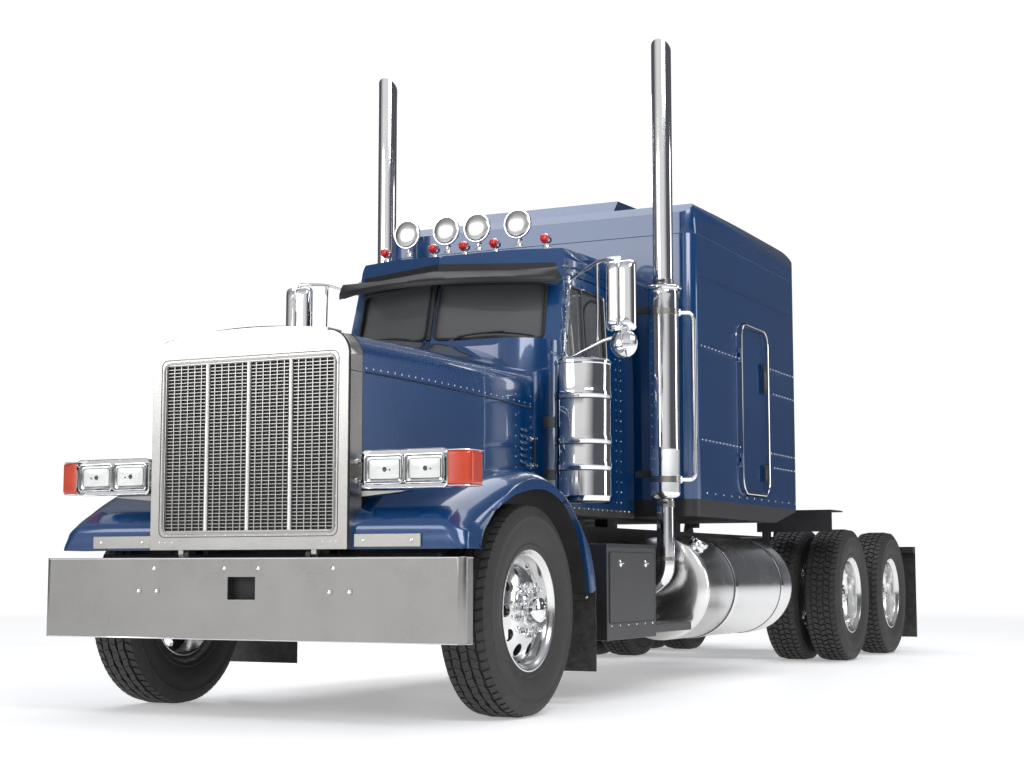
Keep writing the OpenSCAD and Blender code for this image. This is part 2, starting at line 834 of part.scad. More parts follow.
module sleeper_face(s) {
  r = sleeper_edge_r - s;
  half = sleeper_half_w - s;
  top = sleeper_rear_high - s;
  translate([-half, sleeper_low + s]) square([2 * half, top - r - sleeper_low - s]);
  translate([-half + r, sleeper_low + s]) square([2 * (half - r), top - sleeper_low - s]);
  for (e = sides) translate([e * (half - r), top - r]) circle(r);
}

module sleeper_plan(s) {
  translate([-sleeper_half_w + s, sleeper_front + s])
    round_rect(2 * (sleeper_half_w - s), sleeper_len - 2 * s, 90 - s);
}

module sleeper_solid(s) {
  intersection() {
    along_x(-sleeper_half_w, sleeper_half_w) sleeper_side(s);
    along_y(sleeper_front, sleeper_rear) sleeper_face(s);
    along_z(sleeper_low, sleeper_rear_high) sleeper_plan(s);
  }
}

module sleeper_shell() {
  difference() { sleeper_solid(0); sleeper_solid(sleeper_wall); }
}

module hatch_outline(g) {
  translate([hatch_front - g, hatch_low - g])
    round_rect(hatch_w + 2 * g, hatch_high - hatch_low + 2 * g, hatch_r + g);
}

hatch_hinge_z = [hatch_low + 230, hatch_high - 230];
roof_split = sleeper_front_high - sleeper_edge_r - 30;
side_split = sleeper_half_w - 92;
floor_split = sleeper_low + 110;

module sleeper_floor() {
  color("#1f3f8f") intersection() {
    sleeper_shell();
    block([-sleeper_half_w, sleeper_front, sleeper_low], [sleeper_half_w, sleeper_rear, floor_split]);
  }
}

module sleeper_sides() {
  color("#1f3f8f") difference() {
    intersection() {
      sleeper_shell();
      each_side() block([side_split, sleeper_front, floor_split],
                        [sleeper_half_w, sleeper_rear, roof_split]);
    }
    each_side() along_x(side_split - 1, sleeper_half_w + 1) hatch_outline(door_gap);
  }
  color("#1f3f8f") each_side()
    for (z = hatch_hinge_z) hinge_frame_half(sleeper_half_w, hatch_front, z);
}

module sleeper_ends() {
  color("#1f3f8f") difference() {
    intersection() {
      sleeper_shell();
      block([-side_split, sleeper_front, floor_split], [side_split, sleeper_rear, roof_split]);
    }
    walk_through();
  }
}

module sleeper_roof() {
  raised_half_w = 520;
  slope = atan2(sleeper_rear_high - sleeper_front_high, sleeper_len - 320);
  color("#1f3f8f") {
    intersection() {
      sleeper_shell();
      block([-sleeper_half_w, sleeper_front, roof_split],
            [sleeper_half_w, sleeper_rear, sleeper_rear_high]);
    }
    along_x(-raised_half_w, raised_half_w) polygon([
      [sleeper_front + 110, sleeper_front_high], [sleeper_rear - 300, sleeper_rear_high - 4],
      [sleeper_rear - 460, sleeper_rear_high + roof_step],
      [sleeper_front + 200, sleeper_front_high + roof_step + 8]]);
  }
}

// Lower berth across the sleeper's back wall.
module bunk() {
  color("#34373c") intersection() {
    block([-sleeper_half_w, sleeper_rear - 880, sleeper_low], [sleeper_half_w, sleeper_rear, 1720]);
    sleeper_solid(sleeper_wall + seat_gap);
  }
}

// ---- tanks, steps, exhausts, mudguards --------------------------------------------------------

module fuel_tanks() {
  r = tank_r;
  dome = 46;
  color("#c4c5c6") each_side() {
    translate([tank_x, tank_front, tank_z]) rotate([-90, 0, 0]) rotate_extrude() polygon([
      [0, 0], [r - 60, 0], [r - 18, 18], [r, dome], [r, tank_len - dome], [r - 18, tank_len - 18],
      [r - 60, tank_len], [0, tank_len]]);
    bar_z([tank_x + 60, tank_front + 180, tank_z + r - 20], 70, 45);
    for (y = [0.25, 0.75]) block([rail_in, tank_front + y * tank_len - 40, tank_z - 40],
                                 [tank_x - r + 20, tank_front + y * tank_len + 40, rail_low + 60]);
  }
}

step_in = 520;
step_out = 1130;
plate_front = 1870;

// Step boxes under the doors, with a low step plate ahead of each tank.
module side_steps() {
  color("#3c3d3f") each_side() {
    block([step_in, step_front, step_low], [step_out, step_front + step_len, step_high]);
    block([rail_in, step_front + 60, rail_low + 20],
          [step_in + 1, step_front + 140, rail_low + 100]);
    block([rail_in, step_front + step_len - 140, rail_low + 20],
          [step_in + 1, step_front + step_len - 60, rail_low + 100]);
    block([step_in, step_front + step_len - 1, step_low + 20],
          [step_out, tank_front - 60, step_low + 70]);
  }
}

elbow_r = 130;
tail_r = 55;

// Each stack: mitred pipe, silencer, down pipe and an elbow towards the frame.
module exhaust_stacks() {
  elbow_z = 690;
  color("#c8c9ca") each_side() {
    difference() {
      bar_z([stack_x, stack_y, silencer_high - 5], stack_high - silencer_high + 5, stack_r);
      bar_z([stack_x, stack_y, silencer_high + 200], stack_high, stack_r - 3);
      translate([stack_x, stack_y - stack_r, stack_high]) rotate([53, 0, 0])
        translate([-100, -200, 0]) cube([200, 600, 200]);
    }
    bar_z([stack_x, stack_y, silencer_low], silencer_high - silencer_low, silencer_r);
    bar_z([stack_x, stack_y, elbow_z], silencer_low - elbow_z + 1, tail_r);
    translate([stack_x - elbow_r, stack_y, elbow_z]) rotate([-90, 0, 0])
      rotate_extrude(angle = 90) translate([elbow_r, 0]) circle(tail_r);
    bar_x([rail_in + 110, stack_y, elbow_z - elbow_r],
          stack_x - elbow_r - rail_in - 109, tail_r);
    stack_bracket(silencer_low + 250);
    stack_bracket(silencer_high - 250);
  }
}

// Clamp that stands the silencer off the sleeper's front wall.
module stack_bracket(z) {
  block([stack_x - 30, stack_y + silencer_r - 8, z],
        [stack_x + 30, sleeper_front - seat_gap, z + 60]);
}

guard_out = 1205;
guard_in = 600;
flap_front = rear_end - 12;

// Quarter fenders ahead of the drive tyres and the long flaps behind them.
module rear_mudguards() {
  guard_y = drive_y[0] - tyre_r - 70;
  guard_z = 2 * tyre_r + 140;
  color("#121314") each_side() {
    along_x(guard_in, guard_out) polygon([
      [guard_y, guard_z - 170], [guard_y + 12, guard_z - 170], [guard_y + 12, guard_z - 12],
      [guard_y + 330, guard_z - 12], [guard_y + 330, guard_z], [guard_y, guard_z]]);
    bar_x([rail_in, guard_y + 60, guard_z - 230], guard_in + 120 - rail_in, 24);
    block([guard_in + 40, guard_y + 5, guard_z - 255], [guard_in + 90, guard_y + 84, guard_z - 11]);
    block([guard_in, flap_front, 110], [guard_out, flap_front + 12, 935]);
    block([rail_in, flap_front - 80, 880], [guard_out, flap_front, 935]);
  }
}

// ---- bonnet body -----------------------------------------------------------------------------

// Front outline of the grille surround, shrunk by s.
module shell_outline(s) {
  half = shell_half_w - s;
  high = shell_high - s;
  r = shell_corner_r - s;
  drop = 38;
  intersection() {
    union() {
      translate([-half, shell_low]) square([2 * half, high - drop - r - shell_low]);
      translate([-half + r, shell_low]) square([2 * (half - r), high - shell_low]);
      for (e = sides) translate([e * (half - r), high - drop - r]) circle(r);
    }
    translate([0, high - shell_crown_r]) circle(r = shell_crown_r, $fn = 720);
  }
}

module grille_shell() {
  color("#b9bab8") each_side() difference() {
    along_x(hinge_lug_x, hinge_lug_x + 30) hinge_lug();
    bar_x([hinge_lug_x - 1, hinge_y, hood_hinge_z], 32, 6.05);
  }
  color("#b9bab8") difference() {
    along_y(shell_front, shell_rear) shell_outline(0);
    along_y(shell_front + 2 * shell_t, shell_rear + 1) shell_outline_inner();
    along_y(shell_front - 1, shell_rear) translate([-mesh_half_w, mesh_low])
      round_rect(2 * mesh_half_w, mesh_high - mesh_low, 14);
  }
}

// Lug under the surround on the bonnet's hinge axis.
module hinge_lug() {
  translate([hinge_y - 14, hood_hinge_z]) square([28, shell_low + 2 - hood_hinge_z]);
  translate([hinge_y, hood_hinge_z]) circle(14);
}

// Hollow behind the surround's face; its floor lies one metal thickness above the lower edge.
module shell_outline_inner() {
  intersection() {
    shell_outline(shell_t);
    translate([-shell_half_w, shell_low + shell_t]) square([2 * shell_half_w, shell_high]);
  }
}

// Mesh panel with its wide bars, set in the surround's opening.
module grille_mesh() {
  depth = shell_front + 8;
  color("#8f9192") {
    along_y(depth, depth + 12) translate([-mesh_half_w + seat_gap, mesh_low + seat_gap])
      round_rect(2 * (mesh_half_w - seat_gap), mesh_high - mesh_low - 2 * seat_gap, 14);
    for (i = [1 : mesh_bars]) {
      x = -mesh_half_w + i * 2 * mesh_half_w / (mesh_bars + 1);
      block([x - mesh_bar_w / 2, depth - 6, mesh_low + 2], [x + mesh_bar_w / 2, depth, mesh_high - 2]);
    }
  }
}

// Cross-section of the bonnet at its front (t = 0) or rear (t = 1) edge, shrunk by s.
module hood_section(t, s) {
  half = (t > 0 ? hood_rear_half_w : shell_half_w - 6) - s;
  high = (t > 0 ? hood_rear_high : shell_high - 22) - s;
  shoulder = hood_shoulder - s;
  low = hood_low - (s > 0 ? 60 : 0);
  r = hood_edge_r - s;
  y = t > 0 ? hood_rear : shell_rear + 0.5 + seat_gap;
  translate([0, y, 0]) rotate([90, 0, 0]) linear_extrude(0.5) {
    translate([-half, low]) square([2 * half, shoulder - r - low]);
    for (e = sides) translate([e * (half - r), shoulder - r]) circle(r, $fn = 48);
    polygon([for (u = [-1 : 0.1 : 1]) [u * (half - r), shoulder + (high - shoulder) * (1 - u * u)]]);
  }
}

module hood_solid(s) {
  hull() { hood_section(0, s); hood_section(1, s); }
}

module hood() {
  color("#1f3f8f") difference() {
    hood_solid(0);
    hood_solid_inner();
  }
}

// Hollow under the bonnet, run past both of its ends.
module hood_solid_inner() {
  hull() {
    translate([0, -3, 0]) hood_section(0, hood_t);
    translate([0, 3, 0]) hood_section(1, hood_t);
  }
}

// Side outline of the fender without the wheel opening.
module fender_side() {
  nose = shell_front + 40;
  crown = fender_z + fender_r;
  intersection() {
    union() {
      translate([fender_y, fender_z]) circle(fender_r, $fn = 180);
      polygon([[nose, fender_low], [fender_y, fender_low], [fender_y, crown],
               [fender_y - 290, crown - 40], [fender_y - 500, crown - 108],
               [nose + 110, crown - 198], [nose, crown - 280]]);
    }
    union() {
      translate([shell_front, fender_low]) square([fender_y - shell_front, 900]);
      translate([fender_y, fender_rear_low]) square([fender_r + 10, 1200]);
    }
  }
}

// Plan of the fender, with a chamfered front outer corner.
module fender_plan() {
  nose = shell_front + 40;
  polygon([[splash_x, nose], [fender_x - 90, nose], [fender_x - 28, nose + 28],
           [fender_x, nose + 90], [fender_x, 1300], [splash_x, 1300]]);
}

// Front view of the fender: its outer upper edge is round.
module fender_face() {
  r = 120;
  top = fender_z + fender_r + 1;
  translate([splash_x, 500]) square([fender_x - splash_x - r, top - 500]);
  translate([splash_x, 500]) square([fender_x - splash_x, top - 500 - r]);
  translate([fender_x - r, top - r]) circle(r);
}

module front_fenders() {
  color("#1f3f8f") each_side() difference() {
    intersection() {
      along_x(splash_x, fender_x) fender_side();
      along_z(500, 1400) fender_plan();
      along_y(-900, 1300) fender_face();
    }
    along_x(splash_x + splash_t, fender_x + 1) translate([arch_y, arch_z]) circle(arch_r, $fn = 180);
    block([splash_x - 1, shell_front, 500], [shell_half_w + seat_gap, shell_rear + seat_gap, 1400]);
    hood_side_cut();
  }
}

// Room for the bonnet's sides, which stand on the fenders' tops.
module hood_side_cut() {
  hull() {
    translate([0, 0, 0]) hood_section(0, -seat_gap);
    translate([0, 0, 0]) hood_section(1, -seat_gap);
  }
}

module front_mudflaps() {
  flap_y = fender_y + fender_r - 62;
  color("#0e0e0f") each_side() along_y(flap_y, flap_y + 10)
    translate([700, 185]) round_rect(fender_x - 706, fender_rear_low - seat_gap - 185, 30);
}

pod_front = bumper_face + 70;
pod_low = 1100;
pod_high = 1285;
pod_in = 620;
pod_out = 1085;
pod_d = 170;

// Twin rectangular lamps in one bezel, on a bracket from the grille surround.
module headlamps() {
  color("#c8c9ca") each_side() {
    along_y(pod_front, pod_front + pod_d) translate([pod_in, pod_low])
      round_rect(pod_out - pod_in, pod_high - pod_low, 22);
    block([shell_half_w, shell_front + 70, pod_low + 30],
          [pod_in + 1, shell_front + 120, pod_high - 40]);
  }
}

module turn_signals() {
  out = 1198;
  color("#e8641b") each_side()
    along_z(pod_low + 8, pod_high - 8) union() {
      translate([pod_out + seat_gap, pod_front + 30])
        square([out - pod_out - seat_gap, 135]);
      translate([pod_out + seat_gap, pod_front + 5]) square([out - pod_out - seat_gap - 25, 110]);
      translate([out - 25, pod_front + 30]) circle(25);
    }
}

// ---- doors and mirrors -------------------------------------------------------------------------

window_low = cab_belt + 10;

// Window outline inside the door's frame, with the same leaning front edge.
module window_outline() {
  front = door_front + 34;
  rear = door_rear - door_rail;
  high = door_high - door_rail;
  intersection() {
    translate([front, window_low]) round_rect(rear - front, high - window_low, 50);
    polygon([[leaning(front, window_low), window_low], [rear, window_low], [rear, high],
             [leaning(front, high), high]]);
  }
}

module door(s) {
  color("#1f3f8f") scale_x(s) {
    intersection() {
      cab_shell();
      along_x(door_in, cab_half_w + 1) difference() {
        door_outline(0);
        window_outline();
      }
    }
    for (z = door_hinge_z) hinge_door_half(cab_half_w, door_front, z);
  }
}

module door_glass(s) {
  inset = cab_wall / 2;
  color("#9aa3ab") scale_x(s) intersection() {
    difference() { cab_solid(inset - glass_t / 2); cab_solid(inset + glass_t / 2); }
    along_x(door_in, cab_half_w + 1) window_outline();
  }
}

mirror_y = door_front + 10;
mirror_x = 1100;
mirror_half_w = 90;
mirror_low = 2090;
mirror_high = 2504;
spotter_z = 2016;
spotter_r = 84;
arm_high = 2440;
arm_low = 1942;
arm_r = 12;

// West-coast mirror: flat head, round spotter below it, and a tube loop from the door.
module side_mirror(s) {
  color("#c8c9ca") scale_x(s) difference() {
    union() {
      along_y(mirror_y - 24, mirror_y + 24) translate([mirror_x - mirror_half_w, mirror_low])
        round_rect(2 * mirror_half_w, mirror_high - mirror_low, 30);
      bar_y([mirror_x, mirror_y - 20, spotter_z], 40, spotter_r);
      bar_z([mirror_x, mirror_y, arm_low], mirror_low - arm_low + 10, arm_r);
      mirror_arm(leaning(door_front, arm_high) + 34, arm_high);
      mirror_arm(door_front + 40, arm_low);
    }
    cab_solid(-seat_gap);
  }
}

// Tube from its foot on the door's frame, at y and z, to the mirror head.
module mirror_arm(y, z) {
  lean = (cab_half_w - cab_top_half_w) / (cab_drip - cab_belt);
  face = cab_half_w - max(0, z - cab_belt) * lean;
  run = [mirror_x - face + 6, mirror_y - y];
  translate([face - 6, y, z]) rotate([0, 0, atan2(run[1], run[0])]) rotate([0, 90, 0])
    cylinder(h = norm(run), r = arm_r);
  bar_x([face - 6, y, z], 18, 16);
}

module luggage_door(s) {
  color("#1f3f8f") scale_x(s) {
    intersection() {
      sleeper_shell();
      along_x(side_split, sleeper_half_w + 1) hatch_outline(0);
    }
    for (z = hatch_hinge_z) hinge_door_half(sleeper_half_w, hatch_front, z);
  }
}

// ---- steering ----------------------------------------------------------------------------------

ear_t = 42;
hub_r = 105;
spindle_r = 45;
arm_z = tyre_r - 55;

// Knuckle: two ears on the kingpin, web, spindle and steering arm to the rear.
module knuckle(s) {
  pin_low = boss_low - knuckle_gap - ear_t;
  pin_high = boss_high + knuckle_gap;
  web_x = kingpin_x + boss_r + 5;
  color("#232427") scale_x(s) {
    bar_z([kingpin_x, 0, pin_low], pin_high + ear_t - pin_low, kingpin_r);
    for (z = [pin_low, pin_high]) {
      bar_z([kingpin_x, 0, z], ear_t, boss_r - 4);
      block([kingpin_x, -boss_r + 4, z], [web_x + 20, boss_r - 4, z + ear_t]);
    }
    block([web_x, -boss_r + 4, pin_low], [web_x + 28, boss_r - 4, pin_high + ear_t]);
    bar_x([web_x + 20, 0, tyre_r], steer_x + steer_dish - 30 - web_x - 20, spindle_r);
    block([web_x, boss_r - 6, arm_z - 16], [web_x + 26, 120, arm_z + 16]);
    along_z(arm_z - 16, arm_z + 16) polygon([[web_x, 90], [web_x + 26, 110],
      [kingpin_x + 20, steer_arm + 14], [kingpin_x - 24, steer_arm + 14],
      [kingpin_x - 24, steer_arm - 24], [kingpin_x + 6, steer_arm - 30]]);
  }
}

// Tie rod with its two ball joints under the steering arms.
module tie_rod() {
  ball_r = 30;
  rod_z = arm_z - 16 - seat_gap - ball_r;
  color("#2a2b2d") {
    bar_x([-kingpin_x, steer_arm, rod_z], 2 * kingpin_x, tie_rod_r);
    each_side() bar_z([kingpin_x, steer_arm, rod_z - ball_r], 2 * ball_r, ball_r);
  }
}

module steering_wheel() {
  rim = 16;
  color("#111213") translate([column_x, column_top[1], column_top[2]])
    rotate([180 - steering_rake, 0, 0]) {
      rotate_extrude() translate([steering_wheel_r, 0]) circle(rim);
      translate([0, 0, -30]) cylinder(h = 42, r = 48);
      for (a = [30, 150, 270]) rotate([0, 0, a]) translate([20, -14, -8])
        cube([steering_wheel_r - 20, 28, 12]);
    }
}

// ---- wheels ------------------------------------------------------------------------------------

// Tyre profile as (radius, distance outwards), about the tyre's middle.
module tyre_profile() {
  w = tyre_w / 2;
  bead = rim_r - 14;
  lip = w - 40 - seat_gap;
  polygon([[bead, -lip], [rim_r + seat_gap, -lip], [rim_r + 40, -w + 8], [rim_r + 90, -w], [tyre_r - 60, -w + 4],
           [tyre_r - 22, -w + 14], [tyre_r - 4, -w + 34], [tyre_r, -w + 60], [tyre_r, w - 60],
           [tyre_r - 4, w - 34], [tyre_r - 22, w - 14], [tyre_r - 60, w - 4], [rim_r + 90, w],
           [rim_r + 40, w - 8], [rim_r + seat_gap, lip], [bead, lip]]);
}

module tyre(x) { turned_x([x, 0, tyre_r]) tyre_profile(); }

// Rim section: barrel with its flanges, and a dished disc whose face lies at distance d.
module rim_profile(d) {
  w = tyre_w / 2 - 40;
  seat_r = rim_r - 14 - seat_gap;
  dish_r = stud_circle_r + 66;
  polygon([[barrel_r, -w - 14], [rim_r, -w - 14], [rim_r, -w], [seat_r, -w], [seat_r, w],
           [rim_r, w], [rim_r, w + 14], [barrel_r, w + 14]]);
  polygon([[barrel_r + 6, w - 16], [barrel_r + 6, w + 12], [dish_r + 8, d], [hub_r - 5, d],
           [hub_r - 5, d - 22], [dish_r, d - 22]]);
}

// A rim about x with ten hand holes; out = -1 turns its disc towards the centreline.
module rim_with_disc(x, d, out) {
  translate([x, 0, 0]) scale_x(out) difference() {
    turned_x([0, 0, tyre_r]) rim_profile(d);
    for (a = [0 : 36 : 324]) translate([0, 0, tyre_r]) rotate([a, 0, 0])
      bar_x([d - 90, 0, stud_circle_r + 92], 180, 24);
  }
}

// Steer wheel: disc near the outer face, and a hub that runs on the knuckle's spindle.
module steer_rim() {
  web_x = kingpin_x + boss_r + 5;
  face = steer_x + steer_dish;
  rim_with_disc(steer_x, steer_dish, 1);
  turned_x([0, 0, tyre_r]) polygon([
    [spindle_r + 0.5, web_x + 40], [hub_r, web_x + 40], [hub_r, face + 6],
    [hub_r - 15, face + 52], [0, face + 60], [0, face - 20], [spindle_r + 0.5, face - 20]]);
}

// Drive wheel pair: both rims bolted back to back on one hub.
module drive_rims() {
  outer = drive_face - tyre_w / 2;
  rim_with_disc(outer, twin_pitch / 2, -1);
  rim_with_disc(outer - twin_pitch, twin_pitch / 2, 1);
  turned_x([0, 0, tyre_r]) polygon([
    [housing_r + 0.5, drive_disc_x - 120], [hub_r + 10, drive_disc_x - 120],
    [hub_r + 10, drive_disc_x + 36], [hub_r - 12, drive_disc_x + 46],
    [hub_r - 12, drive_disc_x + 165], [0, drive_disc_x + 175],
    [0, drive_disc_x - 60], [housing_r + 0.5, drive_disc_x - 60]]);
}

module steer_rim_at(s) { color("#c8c9ca") scale_x(s) steer_rim(); }
module steer_tyre_at(s) { color("#141415") scale_x(s) tyre(steer_x); }
module drive_rims_at(s, y) { color("#c8c9ca") translate([0, y, 0]) scale_x(s) drive_rims(); }
module drive_tyres_at(s, y) {
  outer = drive_face - tyre_w / 2;
  color("#141415") translate([0, y, 0]) scale_x(s) for (x = [outer, outer - twin_pitch]) tyre(x);
}

// ---- fifth wheel -------------------------------------------------------------------------------

pivot_drop = 95;
pivot_r = 19.45;
lug_out = fifth_half_w - 70;

// Top plate with its throat and lock bore, on a pivot bar between two feet.
module fifth_wheel() {
  plate_low = fifth_high - fifth_t;
  color("#1d1e20") translate([0, fifth_y, 0]) difference() {
    union() {
      along_z(plate_low, fifth_high) difference() {
        union() {
          translate([-fifth_half_w, -330]) round_rect(2 * fifth_half_w, 560, 120);
          translate([-250, 0]) square([500, 500]);
        }
        polygon([[-lock_r + 2, 60], [lock_r - 2, 60], [lock_r + 12, 160], [150, 501], [-150, 501],
                 [-lock_r - 12, 160]]);
      }
      bar_z([0, 0, plate_low - 40], 60, lock_r + 45);
      each_side() block([lug_out - 60, -50, fifth_high - pivot_drop - 30],
                        [lug_out, 50, plate_low + 1]);
    }
    bar_z([0, 0, plate_low - 41], fifth_t + 42, lock_r);
    bar_x([-fifth_half_w, 0, fifth_high - pivot_drop], 2 * fifth_half_w, pivot_r + 0.05);
  }
}

place() chassis_frame();
place() front_bumper();
place() front_axle();
place() suspension();
place() drive_axles();
place() driveshafts();
place() engine_block();
place() radiator();
place() cab_floor();
place() cab_walls();
place() cab_roof();
place() windscreen();
place() dashboard();
place() seats();
place() sun_visor();
place() roof_lamps();
place() air_cleaners();
place() sleeper_floor();
place() sleeper_sides();
place() sleeper_ends();
place() sleeper_roof();
place() bunk();
place() fuel_tanks();
place() side_steps();
place() exhaust_stacks();
place() rear_mudguards();
place() hood();
place() front_fenders();
place() front_mudflaps();
place() grille_shell();
place() grille_mesh();
place() headlamps();
place() turn_signals();
place() door(1);  // door_left
place() door(-1);  // door_right
place() door_glass(1);  // door_glass_left
place() door_glass(-1);  // door_glass_right
place() side_mirror(1);  // mirror_left
place() side_mirror(-1);  // mirror_right
place() luggage_door(1);  // luggage_door_left
place() luggage_door(-1);  // luggage_door_right
place() knuckle(1);  // knuckle_left
place() knuckle(-1);  // knuckle_right
place() tie_rod();
place() steering_wheel();
place() steer_rim_at(1);  // steer_rim_left
place() steer_rim_at(-1);  // steer_rim_right
place() steer_tyre_at(1);  // steer_tyre_left
place() steer_tyre_at(-1);  // steer_tyre_right
place() drive_rims_at(1, drive_y[0]);  // drive_rims_front_left
place() drive_rims_at(-1, drive_y[0]);  // drive_rims_front_right
place() drive_rims_at(1, drive_y[1]);  // drive_rims_rear_left
place() drive_rims_at(-1, drive_y[1]);  // drive_rims_rear_right
place() drive_tyres_at(1, drive_y[0]);  // drive_tyres_front_left
place() drive_tyres_at(-1, drive_y[0]);  // drive_tyres_front_right
place() drive_tyres_at(1, drive_y[1]);  // drive_tyres_rear_left
place() drive_tyres_at(-1, drive_y[1]);  // drive_tyres_rear_right
place() fifth_wheel();
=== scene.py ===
"""Semi truck tractor unit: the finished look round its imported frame.

The frame gives every place and size. Each operator below makes one group of pieces in metres, in
the shared frame, and each piece rides on the body that carries it.
"""

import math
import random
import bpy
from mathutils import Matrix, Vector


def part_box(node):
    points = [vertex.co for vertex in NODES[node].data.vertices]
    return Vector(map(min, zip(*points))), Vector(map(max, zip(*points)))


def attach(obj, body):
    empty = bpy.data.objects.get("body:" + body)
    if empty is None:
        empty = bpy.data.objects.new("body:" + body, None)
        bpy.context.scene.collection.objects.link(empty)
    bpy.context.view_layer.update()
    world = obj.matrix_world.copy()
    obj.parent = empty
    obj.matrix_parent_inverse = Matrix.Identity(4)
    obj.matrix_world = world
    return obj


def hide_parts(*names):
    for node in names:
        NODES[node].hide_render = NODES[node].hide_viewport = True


bl_info = {
    "name": "Semi Truck Tractor Unit",
    "version": (1, 0, 0),
    "blender": (4, 5, 0),
    "location": "3D View > Sidebar > Truck",
    "description": "Builds the painted, chromed and upholstered tractor unit round its frame",
    "category": "Add Mesh",
}

import bmesh
import bpy
from mathutils import Matrix, Vector

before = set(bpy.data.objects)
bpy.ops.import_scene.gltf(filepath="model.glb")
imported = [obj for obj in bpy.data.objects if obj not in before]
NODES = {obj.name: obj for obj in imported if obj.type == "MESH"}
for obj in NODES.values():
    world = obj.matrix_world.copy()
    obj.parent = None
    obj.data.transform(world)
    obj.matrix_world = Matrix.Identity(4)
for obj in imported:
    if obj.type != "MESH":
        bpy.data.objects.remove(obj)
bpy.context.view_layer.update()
SIDES = (1, -1)
SIDE_NAME = {1: "left", -1: "right"}
ORIGIN = Vector((0, 0, 0))
X_AXIS, Y_AXIS, Z_AXIS = Vector((1, 0, 0)), Vector((0, 1, 0)), Vector((0, 0, 1))
TIP = 0.0001  # radius that closes a turned profile at its axis
CAMERA_AT = (4.794, -11.403, 0.721)


def middle(node):
    """Centre of a node's box."""
    low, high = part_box(node)
    return (low + high) / 2


AXLE_Y = middle("front_axle").y
STEER_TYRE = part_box("steer_tyre_left")
TYRE_R = (STEER_TYRE[1].z - STEER_TYRE[0].z) / 2
TYRE_W = STEER_TYRE[1].x - STEER_TYRE[0].x


def ahead(y):
    """Shared-frame Y of a point y metres behind the front axle."""
    return AXLE_Y + y


# ---- shader node groups --------------------------------------------------------------------


class Wiring:
    """Short hand for adding and linking nodes in one tree."""

    def __init__(self, tree):
        self.tree = tree
        self.nodes = tree.nodes
        self.links = tree.links

    def add(self, kind, **settings):
        node = self.nodes.new(kind)
        for key, value in settings.items():
            setattr(node, key, value)
        return node

    def link(self, source, target):
        self.links.new(source, target)

    def feed(self, socket, value):
        if isinstance(value, bpy.types.NodeSocket):
            self.link(value, socket)
        else:
            socket.default_value = value

    def math(self, operation, a, b=0.0, clamp=False):
        node = self.add("ShaderNodeMath", operation=operation, use_clamp=clamp)
        self.feed(node.inputs[0], a)
        self.feed(node.inputs[1], b)
        return node.outputs[0]

    def span(self, value, low, high, to_low=0.0, to_high=1.0):
        node = self.add("ShaderNodeMapRange")
        self.feed(node.inputs["Value"], value)
        self.feed(node.inputs["From Min"], low)
        self.feed(node.inputs["From Max"], high)
        self.feed(node.inputs["To Min"], to_low)
        self.feed(node.inputs["To Max"], to_high)
        return node.outputs["Result"]

    def blend(self, factor, a, b):
        node = self.add("ShaderNodeMix", data_type="RGBA")
        self.feed(node.inputs["Factor"], factor)
        self.feed(node.inputs["A"], a)
        self.feed(node.inputs["B"], b)
        return node.outputs["Result"]

    def noise(self, vector, scale, detail=3.0, roughness=0.5):
        node = self.add("ShaderNodeTexNoise")
        self.feed(node.inputs["Vector"], vector)
        self.feed(node.inputs["Scale"], scale)
        self.feed(node.inputs["Detail"], detail)
        self.feed(node.inputs["Roughness"], roughness)
        return node.outputs["Fac"]

    def place(self):
        """The piece's own coordinates, in metres of the shared frame."""
        return self.add("ShaderNodeTexCoord").outputs["Object"]

    def height(self, vector):
        node = self.add("ShaderNodeSeparateXYZ")
        self.feed(node.inputs[0], vector)
        return node.outputs


def new_group(name, inputs, outputs):
    """An empty shader node group with named sockets, and its wiring."""
    tree = bpy.data.node_groups.new(name, "ShaderNodeTree")
    for label, kind, default in inputs:
        socket = tree.interface.new_socket(name=label, in_out="INPUT", socket_type=kind)
        if default is not None:
            socket.default_value = default
    for label, kind in outputs:
        tree.interface.new_socket(name=label, in_out="OUTPUT", socket_type=kind)
    wiring = Wiring(tree)
    return tree, wiring, wiring.add("NodeGroupInput"), wiring.add("NodeGroupOutput")


FLOAT, COLOUR, VECTOR = "NodeSocketFloat", "NodeSocketColor", "NodeSocketVector"


def make_drift():
    """Slow change of tone over a surface, with a finer mottle in it."""
    tree, w, came, out = new_group(
        "SurfaceDrift",
        [("Broad Scale", FLOAT, 2.0), ("Fine Scale", FLOAT, 60.0), ("Fine Share", FLOAT, 0.3)],
        [("Mask", FLOAT)],
    )
    place = w.place()
    broad = w.noise(place, came.outputs["Broad Scale"], 4.0, 0.55)
    fine = w.noise(place, came.outputs["Fine Scale"], 5.0, 0.65)
    share = came.outputs["Fine Share"]
    total = w.math(
        "ADD", w.math("MULTIPLY", broad, w.math("SUBTRACT", 1.0, share)), w.math("MULTIPLY", fine, share)
    )
    w.link(w.span(total, 0.3, 0.7), out.inputs["Mask"])
    return tree


def make_dust():
    """Road dust: thick near the ground, broken by noise."""
    tree, w, came, out = new_group(
        "RoadDust",
        [("Top", FLOAT, 1.2), ("Amount", FLOAT, 0.5), ("Grain Scale", FLOAT, 18.0)],
        [("Mask", FLOAT)],
    )
    place = w.place()
    level = w.height(place)[2]
    low = w.span(level, 0.0, came.outputs["Top"], 1.0, 0.0)
    grain = w.span(w.noise(place, came.outputs["Grain Scale"], 6.0, 0.7), 0.35, 0.7)
    mask = w.math("MULTIPLY", w.math("MULTIPLY", low, grain), came.outputs["Amount"], clamp=True)
    w.link(mask, out.inputs["Mask"])
    return tree


